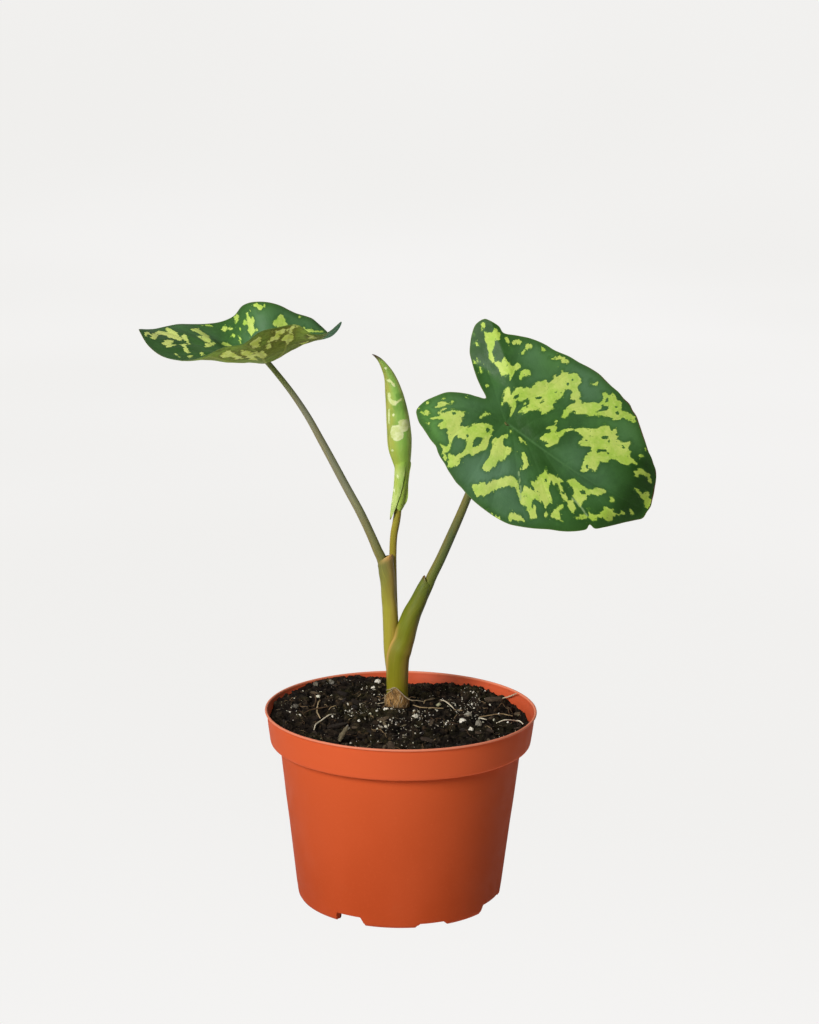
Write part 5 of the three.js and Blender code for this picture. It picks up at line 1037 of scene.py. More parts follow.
LEFT_FORM = [
    (0, 0, -76, 1.7, 304.3), (79.5, 0, -144.2, 1.6, 320.9), (75.6, 10.6, -145, 12.7, 319.4), (66.3, 21.5, -138, 24.1, 318.1),
    (54, 31.2, -126.5, 33.3, 319.6), (42.2, 38, -115.5, 40, 318.8), (30.4, 41.9, -103.8, 42.6, 319.9), (21, 43.1, -95.8, 40, 323.8),
    (12.2, 42.7, -91.2, 34.8, 329.6), (4.4, 41.5, -85.4, 30.5, 332.6), (-4.2, 39.8, -76.9, 28.5, 333.1), (-12.1, 37.2, -69, 28.4, 331.2),
    (-21, 33.6, -60.6, 29.8, 327), (-30.3, 30.3, -51.5, 31.5, 323.8), (-38.9, 26.2, -44.4, 32.2, 317.5), (-36.9, 15.7, -43.3, 21.8, 315.8),
    (-25.1, 4.4, -53, 8.6, 314.0), (-16.3, 0, -61, 3.6, 310.6), (75.6, -10.6, -143, -9.6, 322.3), (66.3, -21.5, -137.5, -20.7, 316.3),
    (54, -31.2, -127.9, -30, 310.9), (42.2, -38, -116.4, -36.7, 310), (30.4, -41.9, -105.4, -39.8, 312.8), (19.2, -43.1, -94.8, -38.7, 317.7),
    (9, -42.2, -85, -36.6, 319.2), (0, -40.6, -77.7, -32, 324.5), (-10.2, -37.9, -66.5, -27.8, 327), (-19.6, -34, -55.6, -25.6, 327.6),
    (-24.2, -32.7, -50.4, -23.6, 323.7), (-29.5, -30.6, -42.8, -20.4, 322.9), (-38.9, -26.2, -34.4, -13.6, 328.4), (-36.9, -15.7, -39.0, -7.2, 320.1), (-25.1, -4.4, -52.2, 1.6, 315.2),
    (39.8, 0, -112.4, 1.5, 312.5), (32.1, 11.7, -105.8, 13.5, 313.6), (22.1, 18.5, -97.1, 20.7, 309.3), (12.4, 21.4, -87.9, 21.6, 312.9),
    (3.7, 21, -81.6, 17.5, 316.5), (-3.4, 19.5, -74.9, 15.8, 317.1), (-9.8, 17, -68.6, 16.1, 315), (-17.1, 14.3, -61.6, 16.7, 312.9),
    (-17.4, 6.3, -60.3, 9.7, 310.2), (32.1, -11.7, -105.8, -10.6, 310.2), (22.1, -18.5, -96.3, -17.5, 306.6), (12.4, -21.4, -86.6, -19.8, 308.3),
    (3.7, -21, -78.1, -18.1, 310.7), (-3.4, -19.5, -71.3, -15.7, 312.2), (-9.8, -17, -65.2, -12.5, 312.9), (-17.1, -14.3, -58.5, -9, 314.5),
    (-17.4, -6.3, -59.5, -1.9, 312.2), (14, 0, -89.2, 1.6, 306.1), (7, 12.1, -83, 13.1, 308.7), (-7, 12.1, -70.6, 12.5, 311.3),
    (-14, 0, -63, 3.2, 309.5), (7, -12.1, -81.6, -10.7, 306.3), (-7, -12.1, -68.1, -8.7, 309.8),
]
LEFT_HALF_EDGE = [
    (0, 79.5), (6, 77.4), (14, 72.4), (24, 66), (36, 59.7), (48, 54.2), (60, 49.5), (72, 45),
    (84, 41.7), (96, 40), (108, 39.1), (120, 39.2), (130, 41.1), (138, 43.9), (146, 46.9), (153, 44.3),
    (160, 37), (167, 28.8), (174, 21.1), (180, 16.3),
]

# ------------------------------------------------------------------ pot
def make_pot():
    rows = [(r, z, "out") for r, z in POT_RINGS_OUT] + [(r, z, "in") for r, z in POT_RINGS_IN[:-3]]
    rows += [(51.0, 7.3, "in"), (45.5, 7.3, "in")] + [(r, z, "in") for r, z in POT_RINGS_IN[-3:]]
    under = [(4.0, 5.6), (20.0, 5.6), (40.0, 5.6), (45.5, 5.6), (50.9, 5.58)] + POT_RINGS_UNDER[4:]
    rows += [(r, z, "under") for r, z in under]
    # columns: even, with extra ones where a notch or a slot begins and ends
    half_slot = 6.6
    cols = np.arange(0, 360, 1.6)
    edges = []

    def turn(c, mid):
        return (c - mid + 180) % 360 - 180

    for mid, left, right_, height, soft_l, soft_r in NOTCHES:
        for end, soft in ((-left, soft_l), (right_, soft_r)):
            reach = math.degrees(soft * 1.15 / 57.0)
            span = np.linspace(-reach, reach, max(9, int(soft * 10) | 1))
            cols = cols[np.abs(turn(cols, mid + end)) > reach + 0.5]
            edges += list((mid + end + span) % 360)
        for sgn in (-1, 1):
            cols = cols[np.abs(turn(cols, mid + sgn * half_slot)) > 0.5]
            edges = [c for c in edges if abs(turn(c, mid + sgn * half_slot)) > 0.12]
            edges.append((mid + sgn * half_slot) % 360)
    cols = np.array(sorted(set(np.round(np.r_[cols, edges] % 360, 4))))
    a = np.radians(cols)
    n = len(cols)
    roof = np.full(n, -1.0)
    off = np.full(n, 99.0)
    for mid, left, right_, height, soft_l, soft_r in NOTCHES:
        d = turn(cols, mid)
        one = smooth(-soft_l, soft_l, (d + left) * math.radians(57.0))
        two = smooth(-soft_r, soft_r, (right_ - d) * math.radians(57.0))
        roof = np.maximum(roof, height * one * two)
        off = np.minimum(off, np.abs(d))
    roof = np.where(roof > 1e-6, roof, -1.0)
    V, lip, inner = [], [], []
    for r, z, part in rows:
        zz = np.where(roof > 0, np.maximum(z, np.minimum(roof, 5.1)), z) if z < 5.1 and r > 51 else np.full(n, z)
        V.append(np.stack([r * np.sin(a), -r * np.cos(a), zz], 1))
        lip.append(np.full(n, 1.0 if (part == "out" and z > 107.6) else 0.5 if part == "out" and z > 107.3 else 0.0))
        inner.append(np.full(n, 1.0 if part == "in" else 2.0 if part == "under" else 0.0))
    V = np.vstack(V)
    m = len(rows)
    quads = grid_faces(m, n, wrap=True)
    # the slots through the floor
    at = {(part, round(r, 1)): i for i, (r, z, part) in enumerate(rows)}
    in_hi, in_lo = at[("in", 51.0)], at[("in", 45.5)]
    un_lo, un_hi = at[("under", 45.5)], at[("under", 50.9)]
    row_of = quads[:, 0] // n
    col_of = quads[:, 0] % n
    slot_col = off[col_of] < half_slot - 1e-3
    next_in = off[(col_of + 1) % n] < half_slot + 1e-3
    gone = (slot_col | (np.abs(off[col_of] - half_slot) < 1e-2)) & next_in & ((row_of == in_hi) | (row_of == un_lo))
    quads_left = quads[~gone]
    walls = []
    for q in quads[gone & (row_of == in_hi)]:
        c, c1 = q[0] % n, q[1] % n
        walls += [(in_hi * n + c1, in_hi * n + c, un_hi * n + c, un_hi * n + c1), (in_lo * n + c, in_lo * n + c1, un_lo * n + c1, un_lo * n + c)]
        if abs(off[c] - half_slot) < 1e-2:
            walls.append((in_hi * n + c, in_lo * n + c, un_lo * n + c, un_hi * n + c))
        if abs(off[c1] - half_slot) < 1e-2:
            walls.append((in_lo * n + c1, in_hi * n + c1, un_hi * n + c1, un_lo * n + c1))
    # close the middle of the floor, above and below
    hub = len(V)
    V = np.vstack([V, [(0, 0, 7.3), (0, 0, 5.6)]])
    top_row, low_row = at[("in", 4.0)], at[("under", 4.0)]
    mid_gap = (row_of == top_row)                              # the join from the upper floor to the lower one
    quads_left = quads_left[~((quads_left[:, 0] // n) == top_row)]
    j = np.arange(n)
    k = (j + 1) % n
    tris = np.vstack([np.stack([top_row * n + j, top_row * n + k, np.full(n, hub)], 1), np.stack([low_row * n + k, low_row * n + j, np.full(n, hub + 1)], 1)])
    # join the last ring under the foot to the first one outside it
    close = np.stack([(m - 1) * n + j, (m - 1) * n + k, k, j], 1)
    fields = {"lip": np.r_[np.concatenate(lip), 0, 0], "inner": np.r_[np.concatenate(inner), 1, 2]}
    faces = [tris, np.vstack([quads_left, close, np.array(walls)])]
    ob = mesh_object("nursery_pot", V, faces, [POT], fields=fields, sharp=42)
    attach(ob, "root")
    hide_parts("pot")


make_pot()


# ------------------------------------------------------------------ soil
def hump(x, y, cx, cy, w):
    return np.exp(-((x - cx) ** 2 + (y - cy) ** 2) / (w * w))


def soil_top(x, y):
    z = 103.5 - 0.026 * x + 0.016 * y
    z = z + 2.0 * hump(x, y, -38, 52, 28) - 1.6 * hump(x, y, 14, 66, 16) + 0.9 * hump(x, y, 46, 50, 15)
    z = z + 1.7 * hump(x, y, -2, 19, 17) - 0.6 * hump(x, y, 5, -52, 26)
    z = z + 0.28 * np.sin(0.31 * x + 1.3) * np.sin(0.27 * y - 0.6) + 0.22 * np.sin(0.19 * x - 0.23 * y)
    return np.minimum(z, 107.3)


RESTING = [(-49.5, 45.5), (-40.5, 51.0), (-14.0, 58.0), (38.0, 5.0), (43.5, -11.0), (-29.5, -28.0), (21.5, 22.5), (-59.5, 8.0),
           (-35.0, -22.0), (53.5, 34.0), (15.0, -40.0), (-49.5, 29.0), (-48.7, 21.0), (-48.7, 13.0), (-41, 8.0), (-47.3, 3.5), (-53.0, -2.0),
           (47.0, 1.5), (54.0, 4.5), (60.0, 6.0), (9.0, 13.0), (15.0, 11.5), (21.0, 12.2)]


def soil_lumps(p):
    """Clods and grains over the soil's even top, lower round the pieces that lie on it."""
    warp = p + 0.9 * np.stack([noise(p / 3.1, 5), noise(p / 3.1, 6)], 1)
    wide = p + 2.4 * np.stack([noise(p / 8.0, 15), noise(p / 8.0, 16)], 1)
    d0, _, w0 = cells(wide / 10.5, 37)
    d1, _, w1 = cells(warp / 4.6, 11)
    d2, _, w2 = cells(warp / 1.9, 23)
    z = (0.3 + 3.1 * w0) * np.sqrt(np.clip(1 - (d0 / 0.72) ** 2, 0, 1))
    z += (0.3 + 2.3 * w1) * np.sqrt(np.clip(1 - (d1 / 0.66) ** 2, 0, 1))
    z += (0.15 + 0.85 * w2) * np.sqrt(np.clip(1 - (d2 / 0.62) ** 2, 0, 1))
    z += 1.5 * fbm(p / 9.0, 3, 3) + 0.35 * fbm(p / 1.1, 2, 9) - 2.75
    x, y = p[:, 0], p[:, 1]
    z += 2.6 * hump(x, y, -34, 58, 15) + 1.2 * hump(x, y, 38, 58, 9) - 2.6 * hump(x, y, 70, 4, 9) - 1.4 * hump(x, y, 66, 24, 9) - 1.5 * hump(x, y, 4, 70, 14)
    z += 1.0 * hump(x, y, -58, 30, 12) + 0.8 * hump(x, y, 58, -14, 10) - 0.9 * hump(x, y, 18, 6, 8)
    near = np.zeros(len(p))
    for x, y in RESTING:
        near = np.maximum(near, np.exp(-((p[:, 0] - x) ** 2 + (p[:, 1] - y) ** 2) / 20.0))
    z = z * (1 - 0.7 * near) + 0.1 * near
    r = np.hypot(p[:, 0], p[:, 1])
    calm = 1 - 0.55 * smooth(11, 6, np.hypot(p[:, 0] - BASE[0], p[:, 1] - BASE[1]))
    return z * calm * (1 - 0.25 * smooth(70.0, 72.5, r))


def soil_at(x, y):
    p = np.stack([np.atleast_1d(x), np.atleast_1d(y)], 1).astype(float)
    return np.minimum(soil_top(p[:, 0], p[:, 1]) + soil_lumps(p), 107.9)


def wall_radius(z):
    rows = sorted(((z_, r_) for r_, z_ in POT_RINGS_IN[:15]))
    return np.interp(z, [q[0] for q in rows], [q[1] for q in rows])


def make_soil():
    a = np.arange(0, 620) / 620 * 2 * math.pi
    edge_z = soil_top(73 * np.cos(a), 73 * np.sin(a))
    r = wall_radius(edge_z) - 0.4
    ring = np.stack([r * np.cos(a), r * np.sin(a)], 1)
    q, tri, rim = fill(ring, 0.78)
    z = soil_at(q[:, 0], q[:, 1])
    V = np.c_[q, z]
    # how far each place lies under the ground round it, for painted shade in hollows and painted highlight on crests
    ball_of = np.array([(1.8 * math.cos(t) * k, 1.8 * math.sin(t) * k) for k in (0.55, 1.0, 1.6) for t in np.arange(8) * math.pi / 4 + k])
    around = np.mean([soil_at(q[:, 0] + dx, q[:, 1] + dy) for dx, dy in ball_of], 0)
    relief_shading = np.clip((around - z) / 0.95, -1, 1)
    _, _, tint = cells(q / 2.3, 41)
    tint = np.clip(0.5 + 0.42 * noise(q / 2.6, 44) + 0.18 * (tint - 0.5), 0, 1)
    # the sides and the flat underneath, along the pot's inner wall
    loop = np.array(sorted(set(rim.ravel()), key=lambda i: math.atan2(q[i, 1], q[i, 0])))
    m = len(loop)
    b = np.arctan2(q[loop, 1], q[loop, 0])
    sides = [(None, 99.5), (None, 97.0), (None, 94.8), (70.9, 93.1), (70.1, 92.2), (67.0, 91.95), (66.1, 91.4), (65.85, 90.3), (65.55, 87.5), (64.95, 82.0), (64.35, 76.7), (63.7, 71.1), (60.1, 40.0), (56.45, 10.7), (55.0, 8.6), (53.1, 7.65), (25.0, 7.65)]
    rings = [V[loop]]
    for rr, zz in sides:
        rr = (wall_radius(zz) - 0.4) if rr is None else rr
        rings.append(np.stack([rr * np.cos(b), rr * np.sin(b), np.full(m, zz)], 1))
    base = len(V)
    grid_index = np.vstack([loop, base + np.arange(len(sides) * m).reshape(len(sides), m)])
    V = np.vstack([V] + rings[1:] + [[(0, 0, 7.65)]])
    j, k = np.arange(m), (np.arange(m) + 1) % m
    quads = np.vstack([np.stack([grid_index[i + 1, j], grid_index[i + 1, k], grid_index[i, k], grid_index[i, j]], 1) for i in range(len(sides))])
    last = np.stack([grid_index[-1, k], grid_index[-1, j], np.full(m, len(V) - 1)], 1)
    ob = mesh_object("soil_bed", V, [np.vstack([tri, last]), quads], [PEAT], fields={"tint": np.r_[tint, np.full(len(V) - len(tint), 0.4)], "relief_shading": np.r_[relief_shading, np.zeros(len(V) - len(tint))]})
    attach(ob, "root")
    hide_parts("potting_soil")


make_soil()


def ball(level):
    """Vertices and triangles of a sphere of small even triangles."""
    import bmesh
    bm = bmesh.new()
    bmesh.ops.create_icosphere(bm, subdivisions=level, radius=1.0)
    bm.verts.ensure_lookup_table()
    v = np.array([x.co[:] for x in bm.verts])
    f = np.array([[x.index for x in face.verts] for face in bm.faces])
    bm.free()
    return v, f


def turns(rng, n):
    """n random rotation matrices."""
    q = rng.normal(size=(n, 4))
    q /= np.linalg.norm(q, axis=1)[:, None]
    w, x, y, z = q.T
    return np.stack([
        np.stack([1 - 2 * (y * y + z * z), 2 * (x * y - z * w), 2 * (x * z + y * w)], -1),
        np.stack([2 * (x * y + z * w), 1 - 2 * (x * x + z * z), 2 * (y * z - x * w)], -1),
        np.stack([2 * (x * z - y * w), 2 * (y * z + x * w), 1 - 2 * (x * x + y * y)], -1)], 1)


def lumps(places, sizes, rng, level=2, rough=0.32, boxy=1.0, flat=(0.7, 1.0)):
    """Irregular stones at places (n, 3) with sizes (n, 3): verts, tris and the number of each vertex."""
    v, f = ball(level)
    n = len(places)
    if boxy != 1.0:
        v = np.sign(v) * np.abs(v) ** boxy
    seedling = rng.uniform(0, 90, size=(n, 1, 3))
    k = 1 + rough * fbm((v[None] * 1.5 + seedling).reshape(-1, 3), 2, 77).reshape(n, len(v)) * 2.0
    shape = v[None] * k[..., None]
    shape = shape * (np.asarray(sizes)[:, None, :] * rng.uniform(flat[0], flat[1], size=(n, 1, 3)))
    shape = np.einsum("nij,nvj->nvi", turns(rng, n), shape)
    verts = (shape + np.asarray(places)[:, None, :]).reshape(-1, 3)
    faces = (f[None] + (np.arange(n) * len(v))[:, None, None]).reshape(-1, 3)
    return verts, faces, np.repeat(np.arange(n), len(v))


def in_pot(rng, n, reach=70.5):
    r = reach * np.sqrt(rng.uniform(0, 1, n))
    a = rng.uniform(0, 2 * math.pi, n)
    return r * np.cos(a), r * np.sin(a)


def clear_of_base(x, y, gap=8.2):
    return np.hypot(x - BASE[0], y - BASE[1]) > gap


def keep_low(v, reach=1.0):
    """Pulls anything in the pot's wall back inside it."""
    r = np.hypot(v[:, 0], v[:, 1])
    limit = wall_radius(np.clip(v[:, 2], 90, 108)) - 0.3
    k = np.where(r > limit, limit / np.maximum(r, 1e-6), 1.0)
    v[:, 0] *= k
    v[:, 1] *= k
    return v


def make_crumbs():
    rng = np.random.default_rng(11)
    x, y = in_pot(rng, 1700)
    keep = clear_of_base(x, y, 7.6)
    x, y = x[keep], y[keep]
    n = len(x)
    size = 0.30 + 1.7 * rng.beta(1.1, 4.2, n)
    sizes = size[:, None] * rng.uniform(0.75, 1.3, (n, 3))
    z = soil_at(x, y) + 0.25 * size
    v, f, of = lumps(np.stack([x, y, z], 1), sizes, rng, level=2, rough=0.36, boxy=0.8)
    v = keep_low(v)
    tint = rng.uniform(0, 1, n) ** 1.35
    ob = mesh_object("soil_crumbs", v, [f], [PEAT], fields={"tint": tint[of], "relief_shading": np.zeros(len(v))}, sharp=50)
    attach(ob, "root")


make_crumbs()

GRAINS = [
    (-47.5, 25.6, 1.2), (-40.0, 30.5, 0.8), (-16.4, 45.9, 1.7), (-8.8, 9.0, 1.8), (-5.6, 7.4, 1.2), (8.0, -4.3, 1.9), (8.8, -1.0, 1.4), (34.8, -6.2, 1.5),
    (38.9, -22.1, 1.3), (-26.8, -46.6, 1.1), (19.9, 13.4, 1.0), (-56.2, -9.9, 0.8), (-10.8, -24.5, 1.0), (-8.0, -23.6, 0.9), (-12.8, -22.2, 0.8),
    (-9.6, -20.4, 0.8), (-11.6, -19.0, 0.7), (-23.2, -11.4, 0.9), (7.6, 9.4, 0.9), (10.0, 8.0, 0.7), (13.6, 3.5, 0.8), (40.6, 25.7, 1.1),
    (41.6, 44.7, 0.8), (43.9, 43.0, 0.8), (45.2, 26.4, 0.7), (50.8, 24.2, 0.7), (55.6, 12.9, 0.8), (26.4, -6.3, 0.8), (11.3, -31.8, 0.8),
    (3.0, -34.8, 0.8), (8.0, -36.1, 0.6), (12.3, -49.1, 0.9), (52.4, 2.3, 0.8), (59.9, -7.7, 0.9), (-6.0, -10.6, 0.7), (-30.0, 12.4, 0.8),
    (-28.9, 7.0, 0.7), (-29.6, 1.5, 0.7), (-27.6, -2.5, 0.6), (-17.3, 1.9, 0.8), (-23.2, 12.3, 0.7), (-13.4, 3.7, 0.9), (-14.6, 17.0, 0.8),
    (-12.5, 23.0, 0.7), (-20.0, -4.0, 0.7), (44.0, -2.0, 0.7), (46.2, -3.4, 0.7), (-52.0, 27.5, 0.6), (-38.0, -12.5, 0.7), (20.5, -20.0, 0.7),
]
PERLITE = [(-49.5, 45.5, 1.9), (-40.5, 51.0, 1.7), (-14.0, 58.0, 2.0), (38.0, 5.0, 1.8), (43.5, -11.0, 2.1), (-29.5, -28.0, 1.7), (21.5, 22.5, 1.6), (-59.5, 8.0, 1.8)]
BARK = [(-35.0, -22.0, 15, 5.0, 1.8, 48, 0.15), (53.5, 34.0, 11, 5.5, 2.6, 20, 0.5), (15.0, -40.0, 9, 4.2, 1.6, -30, 0.3)]
ROOTLETS = [
    [(-50.0, 33.0, 0.2), (-49.0, 25.0, 0.5), (-48.5, 17.0, 0.2), (-49.0, 9.0, 0.1)],
    [(-37.5, 10.5, 0.1), (-44.0, 5.5, 0.6), (-50.5, 1.5, 0.4), (-55.0, -5.0, 0.1)],
    [(44.0, 0.5, 0.1), (51.0, 3.0, 0.8), (57.5, 6.5, 0.5), (63.0, 4.5, 0.2)],
    [(6.8, 15.0, 0.2), (11.0, 11.0, 0.8), (17.5, 11.5, 0.5), (24.0, 13.0, 0.1)],
]


CLUSTERS = [(-20, 4, 10, 1.1), (-8, -16, 9, 1.4), (6, -14, 10, 0.8), (10, 4, 7, 0.7), (36, 22, 12, 1.3), (46, 33, 10, 1.1), (22, -26, 10, 0.6), (-12, -36, 10, 0.5), (40, 6, 9, 0.6), (-14, 26, 8, 0.8), (-28, 6, 6, 1.0), (4, -30, 8, 0.6)]


def make_perlite():
    rng = np.random.default_rng(23)
    for i, (x, y, r) in enumerate(PERLITE):
        z = soil_top(x, y) + 0.36 * r + 0.3
        v, f, _ = lumps([(x, y, z)], [(r * 1.02, r * 0.8, r * 0.72)], rng, level=4, rough=0.3, boxy=0.8, flat=(0.9, 1.04))
        ob = mesh_object(f"perlite_grain_{i + 1}", v, [f], [PERLITE_GRAIN], fields={"tint": np.full(len(v), (0.35, 0.6, 0.8, 0.5, 0.4, 0.5, 0.3, 0.45)[i]), "dust": np.full(len(v), (0.9, 0.97, 0.2, 0.7, 0.78, 0.75, 0.3, 0.97)[i])})
        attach(ob, "root")
        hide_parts(f"perlite_{i + 1}")
    x, y = in_pot(rng, 5200)
    crowd = 0.9 * noise(np.stack([x, y], 1) / 9.0, 7) + 0.5 * noise(np.stack([x, y], 1) / 3.2, 8)
    for cx, cy, w, k in CLUSTERS:
        crowd = crowd + k * hump(x, y, cx, cy, w)
    keep = clear_of_base(x, y, 8.6) & (crowd > rng.uniform(0.1, 1.5, len(x)))
    x, y = x[keep], y[keep]
    size = 0.20 + 0.75 * rng.beta(1.0, 7.5, len(x))
    g = np.array(GRAINS)
    parts = []
    for gx, gy, gs, level in ((x, y, size, 2), (g[:, 0], g[:, 1], np.where(g[:, 2] > 1.15, 1.22, 0.95) * g[:, 2], 3)):
        z = soil_at(gx, gy) + 0.35 * gs
        v, f, of = lumps(np.stack([gx, gy, z], 1), gs[:, None] * rng.uniform(0.75, 1.2, (len(gx), 3)) * (1.0, 1.0, 0.85), rng, level=level, rough=0.34, boxy=0.85)
        parts.append((keep_low(v), [f], {"tint": rng.uniform(0.15 if level == 2 else 0.4, 1.0, len(gx))[of], "dust": np.zeros(len(v))}))
    v, f, fields = stack(parts)
    ob = mesh_object("perlite_bits", v, f, [PERLITE_GRAIN], fields=fields)
    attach(ob, "root")


make_perlite()


def make_bark():
    rng = np.random.default_rng(31)
    v0, f0 = ball(4)
    v0 = np.sign(v0) * np.abs(v0) ** 0.55
    v0 /= np.abs(v0).max()
    for i, (x, y, l, w, h, deg, tint) in enumerate(BARK):
        p = v0 * (1 + 0.16 * fbm(v0 * 2.2 + 9 * i, 3, 5)[:, None])
        p = p * (l / 2, w / 2, h / 2)
        p[:, 1] *= 1 - 0.35 * np.abs(p[:, 0] / (l / 2)) ** 2
        p[:, 2] += 0.16 * np.round(3 * np.sin(p[:, 1] * 2.4 + i)) * 0.3
        c, s = math.cos(math.radians(deg)), math.sin(math.radians(deg))
        q = np.stack([c * p[:, 0] - s * p[:, 1] + x, s * p[:, 0] + c * p[:, 1] + y, p[:, 2] + soil_top(x, y) + h * 0.28 + 0.35 + 0.05 * (i + 1) * p[:, 0] * -1], 1)
        ob = mesh_object(f"bark_piece_{i + 1}", q, [f0], [BARK_BITS], fields={"tint": np.full(len(q), tint)}, sharp=45)
        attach(ob, "root")
        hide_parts(f"bark_chip_{i + 1}")
    x, y = in_pot(rng, 150)
    keep = clear_of_base(x, y, 10.0)
    x, y = x[keep], y[keep]
    n = len(x)
    l = 1.1 + 3.4 * rng.beta(1.2, 4.0, n)
    sizes = np.stack([l, l * rng.uniform(0.3, 0.6, n), l * rng.uniform(0.12, 0.3, n)], 1)
    v, f = ball(2)
    v = np.sign(v) * np.abs(v) ** 0.6
    k = 1 + 0.5 * fbm((v[None] * 1.4 + rng.uniform(0, 80, (n, 1, 3))).reshape(-1, 3), 2, 7).reshape(n, -1)
    p = v[None] * k[..., None] * sizes[:, None, :]
    a, tip = rng.uniform(0, 2 * math.pi, n), rng.normal(0, 0.28, (n, 2))
    q = np.stack([np.cos(a)[:, None] * p[..., 0] - np.sin(a)[:, None] * p[..., 1], np.sin(a)[:, None] * p[..., 0] + np.cos(a)[:, None] * p[..., 1], p[..., 2]], -1)
    q[..., 2] += tip[:, 0:1] * q[..., 0] + tip[:, 1:2] * q[..., 1]
    q += np.stack([x, y, soil_at(x, y) + 0.3 * sizes[:, 2] + 0.25], 1)[:, None, :]
    faces = (f[None] + (np.arange(n) * len(v))[:, None, None]).reshape(-1, 3)
    # a pale splinter at the front left that leans up from the soil
    p = v0 * (1 + 0.16 * fbm(v0 * 2.2, 3, 5)[:, None]) * (6.9, 1.5, 0.6)
    p[:, 1] *= 1 - 0.3 * np.abs(p[:, 0] / 6.2) ** 2
    p += 0.4 * np.stack([noise(p * 0.9, 301), noise(p * 0.9, 302), 0.6 * noise(p * 0.8, 303)], 1)
    along = np.array([5.0, 8.0, 6.4]) / math.hypot(5.0, 8.0, 6.4)
    flat = np.array([-along[1], along[0], 0.0]) / math.hypot(along[0], along[1])
    p = p[:, :1] * along + p[:, 1:2] * flat + p[:, 2:] * np.cross(along, flat) + (-31.9, -46.0, soil_top(-34.3, -50.0) + 3.2)
    tint = np.concatenate([np.repeat(rng.uniform(0, 1, n) ** 2.2 * 0.9, len(v)), np.full(len(p), 0.8)])
    faces = np.concatenate([faces, f0 + n * len(v)])
    ob = mesh_object("bark_crumbs", keep_low(np.concatenate([q.reshape(-1, 3), p])), [faces], [BARK_BITS], fields={"tint": tint}, sharp=45)
    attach(ob, "root")


make_bark()

LOOSE_FIBRES = [  # points on the soil (x, y), radius, lift, tint
    ([(-46.3, 22.3), (-47.0, 12.0), (-47.0, 0.0), (-44.9, -12.3)], 0.44, 0.6, 0.72),
    ([(-36.4, -7.7), (-41.8, -15.2), (-45.8, -21.0), (-47.6, -29.8)], 0.40, 0.7, 0.95),
    ([(22.3, 34.7), (26.5, 26.2), (30.2, 17.0)], 0.36, 0.9, 0.9),
    ([(30.0, 17.6), (32.6, 15.6), (35.0, 15.2)], 0.28, 0.8, 0.7),
    ([(53.5, -6.4), (60.0, -1.6), (66.2, 4.4), (69.4, -0.6)], 0.46, 1.3, 1.0),
    ([(44.3, -0.9), (46.0, -3.2), (48.2, -3.8)], 0.4, 0.9, 0.95),
    ([(4.5, 26.5), (7.4, 29.5), (10.0, 31.0)], 0.42, 0.8, 0.7),
]


def fibre(points, radius, tint, sides=7, step=0.9):
    line = even(spline(np.asarray(points, float), per=10), step)
    n = len(line)
    u = np.linspace(0, 1, n)
    r = radius * (0.55 + 0.45 * np.sin(np.pi * np.clip(u, 0.04, 0.96)) ** 0.5) * (1 + 0.22 * noise(np.c_[line[:, :2] * 0.8, line[:, 2] * 0.8], 3))
    v, quads, tris, _, _ = tube(line, r, sides)
    return v, [tris, quads], {"tint": tint}


def make_fibres():
    rng = np.random.default_rng(47)
    for i, rows in enumerate(ROOTLETS):
        pts = [(x, y, soil_top(x, y) + up + 0.6 + 0.5) for x, y, up in rows]
        line = even(spline(np.array(pts), per=12), 0.5)
        line = line + 0.22 * np.stack([noise(line / 2.2, 61 + i), noise(line / 2.2, 71 + i), 0.6 * noise(line / 2.2, 81 + i)], 1)
        u = np.linspace(0, 1, len(line))
        r = 0.34 * (0.72 + 0.28 * np.sin(np.pi * np.clip(u, 0.05, 0.95))) * (1 + 0.12 * noise(line * 1.1, 5))
        v, quads, tris, _, _ = tube(line, r, 12)
        ob = mesh_object(f"rootlet_strand_{i + 1}", v, [tris, quads], [FIBRE], fields={"tint": np.full(len(v), (0.2, 0.25, 0.5, 0.6)[i])})
        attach(ob, "root")
        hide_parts(f"rootlet_{i + 1}")
    parts = []
    for pts, r, lift, tint in LOOSE_FIBRES:
        line = even(spline(np.array(pts, float), per=8) if len(pts) > 2 else np.array(pts, float), 1.5)
        z = soil_at(line[:, 0], line[:, 1])
        wide = np.pad(z, 2, mode="edge")
        z = np.max([wide[j:j + len(z)] for j in range(5)], 0)
        z = np.convolve(np.pad(z, 2, mode="edge"), np.ones(5) / 5, "valid") + 0.6 * r
        z = z + (lift - 0.5) * np.sin(np.linspace(0, math.pi, len(z)))
        parts.append(fibre(np.c_[line, z], r, tint))
    # a straw that leans from the soil against the wall at the right
    parts.append(fibre([(58.0, 38.6, 103.2), (60.6, 37.2, 104.4), (63.0, 34.6, 106.0), (66.2, 29.6, 109.2)], 0.42, 0.82))
    for i in range(110):
        x, y = in_pot(rng, 1, 68)
        if not clear_of_base(x, y, 10)[0]:
            continue
        a, bend, length = rng.uniform(0, 2 * math.pi), rng.normal(0, 0.10), rng.uniform(3.0, 13.0)
        m = max(4, int(length / 1.2))
        way = a + bend * np.arange(m) + 0.25 * rng.normal(size=m)
        xy = np.cumsum(np.c_[np.cos(way), np.sin(way)] * (length / m), 0) + (x[0], y[0])
        if (np.hypot(xy[:, 0], xy[:, 1]) > 69).any() or not clear_of_base(xy[:, 0], xy[:, 1], 8.5).all():
            continue
        r = rng.uniform(0.12, 0.3)
        z = soil_at(xy[:, 0], xy[:, 1]) + r + 0.25 + 0.5 * rng.random() * np.sin(np.linspace(0, np.pi, m))
        parts.append(fibre(np.c_[xy, z], r * 0.8, 0.75 * rng.uniform(0, 1) ** 2.4, sides=6))
    v, f, fields = stack(parts)
    ob = mesh_object("loose_fibres", keep_low(v), f, [FIBRE], fields=fields)
    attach(ob, "root")


make_fibres()


